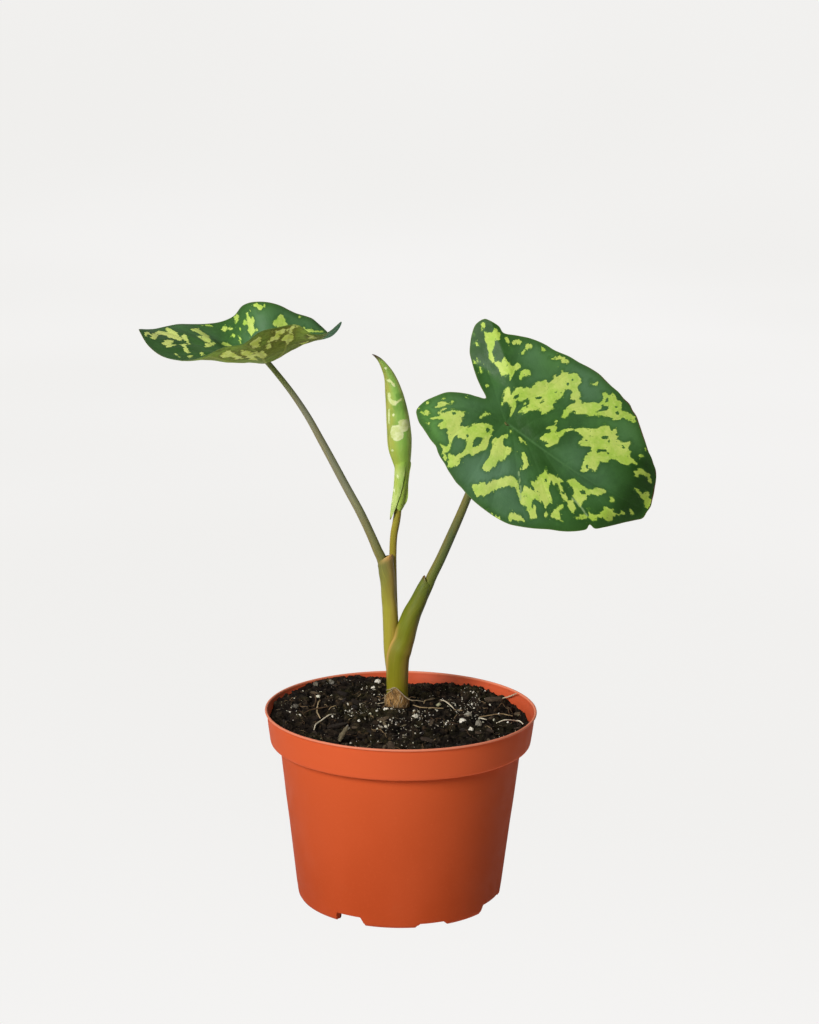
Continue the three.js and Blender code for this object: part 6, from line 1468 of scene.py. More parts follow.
# ------------------------------------------------------------------ stem base
def make_base():
    prof = [(0.02, 84), (3.2, 85), (5.6, 89), (7.0, 95), (7.3, 100.5), (7.15, 104.5), (6.75, 106.3), (5.6, 107.0), (3.0, 107.3), (0.02, 107.3)]
    prof = even(spline(np.array(prof, float), per=8), 0.6)
    n = 96
    a = np.arange(n) / n * 2 * math.pi
    r = prof[:, 0:1] * np.ones((1, n))
    A = np.broadcast_to(a, r.shape)
    Z = prof[:, 1:2] * np.ones((1, n))
    pts = np.stack([np.cos(A) * 5, np.sin(A) * 5, Z * 0.8], -1).reshape(-1, 3)
    r = r + (0.28 * fbm(pts / 2.0, 3, 8).reshape(r.shape) + 0.14 * np.sin(Z * 2.1)) * smooth(0.5, 4.0, r)
    V = np.stack([BASE[0] + r * np.cos(A), BASE[1] + r * np.sin(A), Z], -1).reshape(-1, 3)
    ob = mesh_object("corm_top", V, [grid_faces(len(prof), n, wrap=True)], [CORM])
    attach(ob, "root")
    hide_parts("corm")
    # papery scale: a curled sheet round the front, with a frayed upper edge
    cols, rows = 130, 34
    a = np.linspace(-1.42, 1.36, cols)
    peak = 110.6 + 6.0 * np.exp(-((a + 0.20) / 0.62) ** 2) + 0.5 * np.sin(7 * a + 0.4) - 1.6 * smooth(0.75, 1.3, np.abs(a))
    peak = peak + 0.45 * noise(np.c_[a * 9, a * 0], 4) + 0.25 * noise(np.c_[a * 26, a * 0], 14)
    low = 104.2
    u = np.linspace(0, 1, rows)[:, None]
    z = low + u * (peak[None] - low)
    flare = 0.35 * smooth(0.7, 1.0, u) * (1 + 0.7 * np.sin(5 * a)[None])
    rr = 7.0 + 0.22 * (z - 104) / 12 - 0.25 * smooth(106, 112, z) + flare + 0.10 * noise(np.stack([np.broadcast_to(a * 12, z.shape), z * 0.35], -1).reshape(-1, 2), 12).reshape(z.shape)
    ins = rr - (0.34 - 0.16 * u)
    A = np.broadcast_to(a, z.shape)

    def shell(radius):
        return np.stack([BASE[0] + radius * np.sin(A), BASE[1] - radius * np.cos(A), z], -1).reshape(-1, 3)

    V = np.vstack([shell(rr), shell(ins)])
    q = grid_faces(rows, cols)
    m = rows * cols
    j = np.arange(cols - 1)
    i = np.arange(rows - 1)
    top, bot = (rows - 1) * cols, 0
    edge = [np.stack([top + j, top + j + 1, m + top + j + 1, m + top + j], 1), np.stack([bot + j + 1, bot + j, m + bot + j, m + bot + j + 1], 1)]
    edge += [np.stack([(i + 1) * cols, i * cols, m + i * cols, m + (i + 1) * cols], 1)]
    edge += [np.stack([i * cols + cols - 1, (i + 1) * cols + cols - 1, m + (i + 1) * cols + cols - 1, m + i * cols + cols - 1], 1)]
    # the husk's look: the same brown skin as the corm
    ob = mesh_object("papery_scale", V, [np.vstack([q, q[:, ::-1] + m] + [e[:, ::-1] * 0 + e for e in edge])], [CORM])
    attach(ob, "root")
    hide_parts("husk")
    # frayed strands along the scale's upper edge and off its foot
    rng = np.random.default_rng(5)

    def on_scale(angle, height, out=0.0):
        rad = 7.35 + out
        return (BASE[0] + rad * math.sin(angle), BASE[1] - rad * math.cos(angle), height)

    parts = []
    long_one = [on_scale(-1.05, 114.4, 0.1), on_scale(-0.6, 115.7, 0.1), on_scale(-0.2, 117.0, 0.15), on_scale(0.25, 114.4, 0.2), on_scale(0.62, 111.4, 0.3), (5.6, 13.0, 109.3), (9.2, 15.5, 108.4), (13.0, 18.0, 107.0)]
    parts.append(fibre(long_one, 0.27, 0.78, sides=9, step=0.5))
    parts.append(fibre([on_scale(-0.2, 117.0, 0.15), on_scale(-0.45, 115.2, 0.3), on_scale(-0.8, 113.2, 0.2), on_scale(-1.1, 111.3, 0.1)], 0.24, 0.72, sides=8, step=0.5))
    for _ in range(26):
        a0 = rng.uniform(-1.3, 1.25)
        h0 = rng.uniform(105.5, 110.6 + 5.2 * math.exp(-((a0 + 0.2) / 0.62) ** 2))
        h1 = h0 + rng.uniform(1.5, 5.5) * rng.choice([-1, 1], p=[0.5, 0.5])
        h1 = min(max(h1, 105.0), 111.2 + 5.8 * math.exp(-((a0 + 0.2) / 0.62) ** 2))
        a1 = a0 + rng.normal(0, 0.16)
        parts.append(fibre([on_scale(a0, h0, 0.0), on_scale((a0 + a1) / 2, (h0 + h1) / 2, 0.12), on_scale(a1, h1, rng.uniform(0, 0.35))], rng.uniform(0.09, 0.17), rng.uniform(0.2, 0.85), sides=6, step=0.6))
    for _ in range(9):
        a0 = rng.uniform(0, 2 * math.pi)
        reach = rng.uniform(3.5, 9.0)
        p0 = np.array([BASE[0] + 6.9 * math.sin(a0), BASE[1] - 6.9 * math.cos(a0), 106.2])
        pts = [p0]
        for s in (0.4, 0.7, 1.0):
            a1 = a0 + rng.normal(0, 0.12)
            x, y = BASE[0] + (6.9 + reach * s) * math.sin(a1), BASE[1] - (6.9 + reach * s) * math.cos(a1)
            pts.append(np.array([x, y, float(soil_at(x, y)[0]) + 0.3 + (0.9 if s < 0.5 else 0.1)]))
        parts.append(fibre(np.array(pts), rng.uniform(0.16, 0.34), rng.uniform(0.3, 0.9), sides=7, step=0.6))
    v, f, fields = stack(parts)
    ob = mesh_object("base_fibres", v, f, [FIBRE], fields=fields)
    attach(ob, "root")


make_base()


# ------------------------------------------------------------------ stalks
def frames(line):
    tangent = np.gradient(line, axis=0)
    tangent /= np.linalg.norm(tangent, axis=1)[:, None]
    x = np.array([1.0, 0, 0])
    side = x - tangent * (tangent @ x)[:, None]
    side /= np.linalg.norm(side, axis=1)[:, None]
    return tangent, side, np.cross(tangent, side)


def stalk(rows, sides=56, step=0.8, seed=0, uneven=0.012, cup=None):
    """A stalk along rows of (x, y, z, radius). With a cup (wall, depth, rise, out), its top is an open
    sheath mouth: rise(angle) lifts the lip and out(angle) swells it."""
    curve = even(spline(np.array(rows, float), per=14), step)
    line, radius = curve[:, :3], curve[:, 3]
    n = len(line)
    tangent, side, other = frames(line)
    a = np.arange(sides) / sides * 2 * math.pi
    along = np.r_[0, np.cumsum(np.linalg.norm(np.diff(line, axis=0), axis=1))]
    mm = a[None] * radius[:, None]
    field = np.stack([np.cos(a)[None] * 2.2 + 0 * along[:, None], np.sin(a)[None] * 2.2 + 0 * along[:, None], 0.09 * along[:, None] + 0 * a[None]], -1)
    r = radius[:, None] * (1 + uneven * 2 * noise(field.reshape(-1, 3), seed).reshape(n, sides))
    shift = np.zeros((n, sides))
    if cup:
        wall, depth, rise, out = cup
        w = smooth(along[-1] - 13.0, along[-1], along)[:, None]
        shift = w * rise(a)[None]
        r = r + smooth(along[-1] - 9.0, along[-1], along)[:, None] * out(a)[None]

    def ring(i, rr, push=0.0):
        return line[i] + side[i] * (rr * np.cos(a))[:, None] + other[i] * (rr * np.sin(a))[:, None] + tangent[i] * (shift[i] + push)[:, None]

    rings = [ring(i, r[i]) for i in range(n)]
    info = [(i, 0) for i in range(n)]
    if cup:
        last = n - 1
        rings.append(ring(last, r[last] - wall * 0.18, wall * 0.38))
        rings.append(ring(last, r[last] - wall * 0.5, wall * 0.5))
        rings.append(ring(last, r[last] - wall * 0.82, wall * 0.38))
        rings.append(ring(last, r[last] - wall))
        info += [(last, 1)] * 4
        k = max(3, int(depth / step))
        for i in range(last - 1, last - k, -1):
            rings.append(ring(i, np.maximum(r[i] - wall - 0.012 * (last - i), 0.3)))
            info.append((i, 2))
    V = np.vstack(rings)
    m = len(rings)
    quads = grid_faces(m, sides, wrap=True)
    j, k2 = np.arange(sides), (np.arange(sides) + 1) % sides
    end_centre = np.vstack([V[-sides:]]).mean(0)
    V = np.vstack([V, line[0], end_centre])
    top = (m - 1) * sides
    tris = np.vstack([np.stack([k2, j, np.full(sides, m * sides)], 1), np.stack([top + j, top + k2, np.full(sides, m * sides + 1)], 1)])
    station = np.array([i for i, _ in info])
    part = np.array([p for _, p in info])
    fields = {
        "around": np.r_[(a[None] * radius[station][:, None]).ravel(), 0, 0],
        "along": np.r_[np.repeat(along[station], sides), 0, along[-1]],
    }
    angle = np.r_[np.tile(a, m), 0, 0]
    place = np.r_[np.repeat(along[station], sides), 0, along[-1]]
    inner = np.r_[np.repeat(part, sides), 0, 2]
    return V, [tris, quads], fields, angle, place, inner


def near_angle(a, centre_deg, width_deg):
    d = (np.degrees(a) - centre_deg + 180) % 360 - 180
    return np.exp(-(d / width_deg) ** 2)


def make_stalks():
    # left: a clasping sheath with a rounded mouth, the stalk rising out of its left half
    sheath = LEFT_STALK[:11] + [(-9.75, 16.6, 190.2, 4.62), (-9.8, 16.6, 191.6, 4.5)]
    sheath = [(-2.9, 21.1, 103.0, 3.3)] + sheath
    cup = (0.75, 9.0, lambda a: 1.9 * near_angle(a, 318, 50) - 3.0 * near_angle(a, 178, 70), lambda a: 0.35 * near_angle(a, 305, 45) - 0.55 * near_angle(a, 180, 60))
    v1, f1, e1, ang, place, inner = stalk(sheath, seed=3, cup=cup)
    z = v1[:, 2]
    lip = smooth(place.max() - 3.2, place.max() - 0.4, place) * near_angle(ang, 318, 75)
    # painted light on the sheath's right side, which lies in shade
    shaded_side_light = near_angle(ang, 325, 38) * smooth(150, 172, z)
    e1["blush_and_painted_light"] = np.clip(0.85 * lip + 0.62 * shaded_side_light + 0.35 * near_angle(ang, 320, 50) * smooth(112, 140, z) * (1 - smooth(150, 172, z)), 0, 1)
    e1["brown"] = np.clip(0.55 * (inner == 2) + 0.25 * lip * near_angle(ang, 330, 20), 0, 1)
    inside_rows = [(-7.3, 18.9, 150.0, 2.95), (-8.3, 18.1, 168.7, 2.9), (-9.3, 17.4, 178.0, 2.86), (-10.4, 16.8, 185.0, 2.84), (-11.3, 16.45, 189.0, 2.82), (-12.3, 16.15, 192.0, 2.76)] + LEFT_STALK[12:]
    v2, f2, e2, ang, place, inner = stalk(inside_rows, seed=4)
    e2["blush_and_painted_light"] = 0.25 * near_angle(ang, 180, 60)
    e2["brown"] = np.zeros(len(v2))
    v, f, fields = stack([(v1, f1, e1), (v2, f2, e2)])
    ob = mesh_object("stalk_left", v, f, [STALK_LEFT], fields=fields, sharp=60)
    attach(ob, "root")
    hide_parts("petiole_left")

    # right: sheath in front at the base, its margin lapping over the left one
    sheath = [(-2.0, 18.9, 103.0, 6.05)] + RIGHT_STALK[:12] + [(14.25, 13.85, 178.6, 3.7)]
    cup = (0.7, 8.0, lambda a: 2.5 * near_angle(a, 205, 34) - 1.6 * near_angle(a, 0, 80), lambda a: 0.1 * near_angle(a, 205, 40) - 0.5 * near_angle(a, 0, 70))
    v1, f1, e1, ang, place, inner = stalk(sheath, seed=13, cup=cup)
    z = v1[:, 2]
    # the lapping margin: a low ridge down the left front
    lap_z = smooth(120, 138, z) * (1 - smooth(149, 158, z))
    away = v1 - np.stack([np.interp(z, [r[2] for r in sheath], [r[0] for r in sheath]), np.interp(z, [r[2] for r in sheath], [r[1] for r in sheath]), z], 1)
    norm = np.linalg.norm(away[:, :2], axis=1)[:, None] + 1e-6
    ridge = near_angle(ang, 203, 16) * lap_z * (inner == 0)
    v1 = v1 + np.c_[away[:, :2] / norm * (1.15 * ridge)[:, None], np.zeros(len(v1))]
    e1["blush_and_painted_light"] = np.clip(0.85 * near_angle(ang, 206, 9) * smooth(116, 130, z) * (1 - smooth(146, 156, z)) + 0.4 * near_angle(ang, 320, 30) * smooth(112, 125, z) * (1 - smooth(140, 165, z)), 0, 1)
    tip = smooth(place.max() - 2.4, place.max() - 0.2, place) * near_angle(ang, 205, 30)
    e1["brown"] = np.clip(0.5 * (inner == 2) + 0.8 * tip + 0.30 * smooth(112, 104.5, z), 0, 1)
    inside_rows = [(4.4, 16.4, 152.0, 3.2), (8.1, 15.4, 161.5, 3.15), (10.6, 14.9, 167.0, 3.1), (13.2, 14.3, 173.2, 3.05), (14.9, 13.9, 177.3, 2.98), (16.2, 13.5, 180.8, 2.9)] + RIGHT_STALK[13:-1] + [(56.55, -0.9, 271.65, 1.65)]
    v2, f2, e2, ang, place, inner = stalk(inside_rows, seed=14)
    e2["blush_and_painted_light"] = 0.2 * near_angle(ang, 180, 60)
    e2["brown"] = np.zeros(len(v2))
    v, f, fields = stack([(v1, f1, e1), (v2, f2, e2)])
    ob = mesh_object("stalk_right", v, f, [STALK_RIGHT], fields=fields, sharp=60)
    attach(ob, "root")
    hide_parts("petiole_right")

    v, f, e, ang, place, inner = stalk([(-2.2, 22.0, 103.5, 1.7)] + CENTRE_STALK + [(-2.1, 19.5, 226.0, 1.9)], seed=21, sides=40)
    e["blush_and_painted_light"] = 0.35 * np.clip(near_angle(ang, 0, 70) + near_angle(ang, 190, 30), 0, 1)
    e["brown"] = 0.12 * near_angle(ang, 350, 50)
    ob = mesh_object("stalk_centre", v, f, [STALK_CENTRE], fields=e, sharp=60)
    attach(ob, "root")
    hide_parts("petiole_centre")


make_stalks()


# ------------------------------------------------------------------ leaf blades
def right_surface(q):
    s, t = q[:, 0], q[:, 1]
    r = np.hypot(s, t)
    back_off = 2.6 * np.exp(-((r / 11) ** 2)) + 5.0 * (np.minimum(r, 90) / 70) ** 3
    back_off += 1.0 * np.exp(-((t / 3.5) ** 2)) * smooth(0, 12, s) * (1 - smooth(60, 88, s)) + 6.0 * smooth(70, 92, s)
    back_off += 0.55 * np.maximum(0, (-s - 1.16 * t + 18.0) * 0.65) * smooth(6, 22, t) * smooth(5, 20, -s)
    return np.array([56.5, -4.0, 271.7]) + s[:, None] * np.array([0.8474, -0.0862, -0.5239]) + t[:, None] * np.array([0.4815, 0.5409, 0.6897]) + back_off[:, None] * np.array([0.0404, 0.9837, -0.1754])


def plate(rows):
    rows = np.array(rows, float)
    st, xyz = rows[:, :2], rows[:, 2:]

    def phi(a, b):
        q = np.maximum(1e-12, ((a[:, None] - b[None]) ** 2).sum(2) / 1600)
        return 0.5 * q * np.log(q)

    m = len(st)
    M = np.zeros((m + 3, m + 3))
    tail = np.c_[np.ones(m), st / 40]
    M[:m, :m], M[:m, m:], M[m:, :m] = phi(st, st), tail, tail.T
    W = np.linalg.solve(M, np.vstack([xyz, np.zeros((3, 3))]))

    def surface(q):
        return phi(q, st) @ W[:m] + np.c_[np.ones(len(q)), q / 40] @ W[m:]

    return surface


left_surface = plate(LEFT_FORM)


def polar(rows):
    rows = np.array(rows, float)
    a = np.radians(rows[:, 0])
    return np.stack([rows[:, 1] * np.cos(a), rows[:, 1] * np.sin(a)], 1)


def blobs(q, rows):
    """Sum of soft round spots (s, t, radius, amount)."""
    out = np.zeros(len(q))
    for s, t, r, k in rows:
        out += k * np.exp(-((q[:, 0] - s) ** 2 + (q[:, 1] - t) ** 2) / (r * r))
    return out


def make_blade(name, node, ring, surface, face, midrib, veins, lime, dark, specks, painted_sheen, deep_green_and_shade, fresh, rim_of, ripple=0.0, spacing=0.74, rolled_rim=0.0, whiskers=(), turn_of=None, lime_above=(), painted_light=()):
    ring = even(spline(ring, closed=True, per=10), 0.85, closed=True)
    lines = [spline(np.array(midrib, float), per=6)] + [spline(np.array(v, float), per=6) for v in veins]
    q, tri, rim = fill(ring, spacing, lines)
    edge, _ = polyline_distance(q, ring, closed=True)
    # distance to the nearest vein, and how strong that vein is there
    vein = np.full(len(q), 1e9)
    weight = np.zeros(len(q))
    for i, line in enumerate(lines):
        d, u = polyline_distance(q, line)
        w = (1.75 - 1.15 * u) if i == 0 else (0.95 - 0.6 * u)
        score = d / (0.6 + 0.4 * w)
        closer = score < vein
        vein = np.where(closer, score, vein)
        weight = np.where(closer, w, weight)
    weight = weight * smooth(0.0, 4.0, edge)
    patch = ring_field(q, lime)
    if dark:
        patch = np.minimum(patch, -ring_field(q, dark))
    for s, t, r in specks:
        patch = np.minimum(patch, np.hypot(q[:, 0] - s, q[:, 1] - t) - r)
    # borders of the patches run out along the veins: noise averaged along the way of the nearest veins
    way = np.zeros((len(q), 2))
    for line in lines[1:]:
        d, u = polyline_distance(q, line)
        at = np.clip((u * (len(line) - 1)).astype(int), 0, len(line) - 2)
        t = line[at + 1] - line[at]
        t /= np.linalg.norm(t, axis=1)[:, None] + 1e-9
        way += t / (1.0 + d[:, None]) ** 3
    way /= np.linalg.norm(way, axis=1)[:, None] + 1e-9
    streak = np.zeros(len(q))
    for step in np.linspace(-2.6, 2.6, 9):
        streak += noise((q + way * step) / 0.95, 201) * math.exp(-(step / 2.2) ** 2)
    streak /= streak.std() + 1e-9
    patch = patch + 0.40 * np.clip(streak, -2.2, 2.2)
    above = np.maximum(patch, ring_field(q, lime_above) + 0.40 * np.clip(streak, -2.2, 2.2)) if lime_above else patch
    whisker = np.full(len(q), 9.0)
    for row in whiskers:
        d, _ = polyline_distance(q, spline(np.array(row, float), per=6) if len(row) > 2 else np.array(row, float))
        whisker = np.minimum(whisker, d)
    # the sheet itself
    e = 0.25
    P = surface(q)
    N = np.cross(surface(q + [e, 0]) - surface(q - [e, 0]), surface(q + [0, e]) - surface(q - [0, e])) * face
    N /= np.linalg.norm(N, axis=1)[:, None]
    pillow = 0.42 * (1 - np.exp(-(vein / 5.5) ** 2)) * smooth(0.0, 9.0, edge)
    pillow += 0.28 * fbm(q / 7.0, 2, 51) * smooth(0.5, 6.0, edge)
    wave = ripple * fbm(q / 13.0, 2, 57) * (1 - smooth(0.0, 12.0, edge))
    mid = P + N * (pillow + wave - 0.35)[:, None]
    half = 0.09 + 0.30 * (1 - np.exp(-edge / 3.0))
    top = mid + N * (half - 0.13 * weight * np.exp(-(vein / 0.6) ** 2))[:, None]
    rib = (0.50 * weight * np.exp(-(vein / (0.55 + 0.35 * weight)) ** 2)) * smooth(0.0, 3.0, edge)
    bottom = mid - N * (half + rib)[:, None]
    n = len(q)
    up_tri = tri if face > 0 else tri[:, ::-1]
    down_tri = up_tri[:, ::-1] + n
    a, b = (rim[:, 0], rim[:, 1]) if face > 0 else (rim[:, 1], rim[:, 0])
    band = np.stack([b, a, a + n, b + n], 1)
    V = np.vstack([top, bottom])
    two = lambda x: np.r_[x, x]
    # some fields carry painted sheen (along the rolled near rim too), painted shade and painted light
    fields = {
        "leaf": np.vstack([np.c_[q, np.zeros(n)], np.c_[q, np.full(n, 3.0)]]),
        "edge": two(edge), "vein": two(vein), "veinw": two(np.clip(weight, 0, 1.6)), "patch": np.r_[above, patch],
        "painted_sheen": two(np.clip(painted_sheen(q) + rolled_rim * np.exp(-(edge / 1.6) ** 2) * smooth(-8, -22, q[:, 1]), 0, 1)), "whisker": two(whisker), "turn": two(turn_of(q) if turn_of else np.zeros(len(q))), "rim": two(np.clip(rim_of(q), 0, 1)), "painted_light": two(blobs(q, painted_light) if len(painted_light) else np.zeros(len(q))),
        "deep_green_and_shade": two(np.clip(deep_green_and_shade(q), 0, 1)), "fresh": two(np.clip(fresh(q), 0, 1)),
    }
    slots = np.r_[np.zeros(len(up_tri)), np.ones(len(down_tri)), np.zeros(len(band))]
    ob = mesh_object(name, V, [np.vstack([up_tri, down_tri]), band], [LEAF_TOP, LEAF_UNDER], face_slot=slots, fields=fields, sharp=70)
    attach(ob, "root")
    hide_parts(node)
    return ob


RIGHT_PAINTED_SHEEN = [  # painted grey-green sheen: along, across, reach, amount
    (10, -26, 13, 0.7), (27, -43, 11, 0.4), (30, -36, 12, 0.3), (3, -36, 13, 0.55), (-6, -33, 12, 0.35), (-20, -24, 9, 0.35), (-25, 2, 11, 0.35), (-36, -12, 8, 0.4),
    (40, 6, 13, 0.45), (58, 1, 11, 0.3), (-9, 12, 8, 0.2), (-34, 22, 8, 0.2), (20, 46, 14, 0.6), (33, 44, 12, 0.4), (-8, 44, 10, 0.5), (58, 34, 10, 0.35), (2, 30, 8, 0.3), (-26, -16, 9, 0.3),
]
# deeper green, partly painted shade on down-facing margins and a lit lobe: along, across, reach, amount
RIGHT_DEEP_GREEN_AND_SHADE = [
    (84, 5, 11, 0.9), (84, 16, 10, 0.85), (78, 23, 8, 0.8), (70, 20, 7, 0.5), (70, -19, 8, 0.7), (81, -7, 9, 0.85), (60, -26, 7, 0.4),
    (25, -8, 6, 0.55), (33, -10, 6, 0.6), (42, -14, 6, 0.4), (14, 3, 7, 0.35), (22, 8, 7, 0.4), (6, 3, 6, 0.3), (50, 16, 6, 0.35), (30, 12, 6, 0.4),
    (-38, 38, 13, 0.8), (-34, 22, 9, 0.5), (-16, 26, 7, 0.3), (4, 22, 5, 0.3),
]
RIGHT_FRESH = [(-6, 49, 11, 0.5), (-27, 38, 9, 0.1), (6, 50, 9, 0.4), (-44, 20, 8, 0.2), (60, 38, 10, 0.5), (-40, -16, 9, 1.0), (-28, -30, 7, 0.6), (30, 50, 10, 0.5), (16, 38, 10, 0.4), (46, 30, 8, 0.3), (-44, -6, 8, 0.8), (-36, -24, 9, 0.6), (-32, -8, 8, 0.35)]
make_blade(
    "leaf_right", "blade_right", polar(RIGHT_EDGE), right_surface, 1, RIGHT_MIDRIB, RIGHT_VEINS,
    RIGHT_LIME, RIGHT_DARK, RIGHT_SPECKS, lambda q: blobs(q, RIGHT_PAINTED_SHEEN), lambda q: blobs(q, RIGHT_DEEP_GREEN_AND_SHADE), lambda q: blobs(q, RIGHT_FRESH),
    lambda q: smooth(5, 50, q[:, 0]) * smooth(-20, 10, q[:, 1]), ripple=0.35,
    whiskers=[[(18.8, -20.5), (23.5, -27.0), (27.5, -34.0)], [(51.0, -16.4), (57.5, -18.0), (63.9, -20.8)]],
)
LEFT_EDGE = LEFT_HALF_EDGE + [(-a, r) for a, r in LEFT_HALF_EDGE[1:-1][::-1]]
LEFT_VEINS = LEFT_HALF_VEINS + [[(s, -t) for s, t in line] for line in LEFT_HALF_VEINS]
# painted grey-green sheen on the left blade, where its top catches reflections
LEFT_PAINTED_SHEEN = [(70, 0, 14, 0.35), (-20, 12, 14, 0.5), (5, 14, 12, 0.55), (2, 28, 9, 0.4), (-15, 33, 8, 0.35), (-29, 26, 8, 0.35), (14, 6, 9, 0.45), (34, 20, 9, 0.3), (55, 26, 9, 0.3)]
LEFT_FRESH = [(40, 0, 40, 0.15), (-5, 34, 18, 0.25), (-30, 27, 10, 0.4)]
# painted light on the left blade's patches that lie in shade: along, across, reach, amount
LEFT_PAINTED_LIGHT = [(88, 0, 18, 0.5), (70, 10, 20, 0.45), (70, -14, 16, 0.45), (48, 8, 18, 0.4), (48, -16, 16, 0.45)]
make_blade(
    "leaf_left", "blade_left", polar(LEFT_EDGE), left_surface, -1, LEFT_MIDRIB, LEFT_VEINS,
    LEFT_LIME + LEFT_LIME_BELOW, [], [], lambda q: blobs(q, LEFT_PAINTED_SHEEN), lambda q: 0.12 * smooth(30, 0, q[:, 1]) + 0 * q[:, 0], lambda q: blobs(q, LEFT_FRESH),
    lambda q: 0.35 + 0 * q[:, 0], ripple=0.3, rolled_rim=0.9, painted_light=LEFT_PAINTED_LIGHT,
    turn_of=lambda q: smooth(-29.5, -33.0, q[:, 0]) * smooth(-8, -16, q[:, 1]),
    # patches on the upper face where the photo can't see it, behind the near rim
    lime_above=[
        [(12, -9), (9, -13), (10.5, -19), (7, -25), (8, -31), (5, -32), (3, -27), (4.5, -21), (2, -16), (5, -10), (9, -6)],
        [(-8, -13), (-12, -17), (-12.5, -23), (-17, -27), (-20, -24), (-17, -19), (-15, -14), (-12, -10)],
        [(11, 8), (8, 5.5), (4, 8), (1.5, 12), (5, 13.5), (8, 11)],
        [(-24, -21), (-27, -24.5), (-30, -22), (-28, -18), (-25, -17.5)],
        [(14, -33), (12, -36), (10.5, -33.5), (12, -30.5)],
    ],
)


# ------------------------------------------------------------------ rolled new leaf
def rolled_place(cx, cz):
    return (-17.8 + 0.0923 * (cx - 75), 306.2 - 0.0932 * (cz - 85))


ROLLED_PATCHES = [[rolled_place(*p) for p in ring] for ring in (
    [(190, 520), (197, 505), (225, 500), (240, 497), (232, 480), (245, 467), (265, 465), (285, 470), (298, 485), (300, 510), (292, 530), (275, 540), (262, 542), (268, 555), (262, 580), (245, 592), (225, 597), (205, 590), (192, 575), (188, 550)],
    [(168, 312), (180, 305), (188, 320), (186, 340), (200, 352), (225, 355), (240, 345), (255, 340), (250, 355), (228, 368), (215, 385), (198, 382), (180, 368), (168, 345)],
    [(160, 232), (180, 225), (195, 240), (210, 255), (215, 275), (200, 270), (185, 250), (165, 245)],
    [(172, 410), (182, 405), (184, 460), (180, 500), (173, 495), (170, 440)],
    [(197, 436), (206, 431), (213, 438), (210, 448), (199, 449)],
    [(192, 652), (202, 648), (209, 655), (205, 664), (194, 665)],
    [(148, 160), (158, 157), (163, 167), (156, 174), (149, 170)],
    [(206, 900), (214, 880), (220, 900), (212, 925)],
    [(198, 955), (207, 945), (210, 965), (202, 985)],
    [(228, 800), (240, 812), (236, 830), (226, 822)],
)]


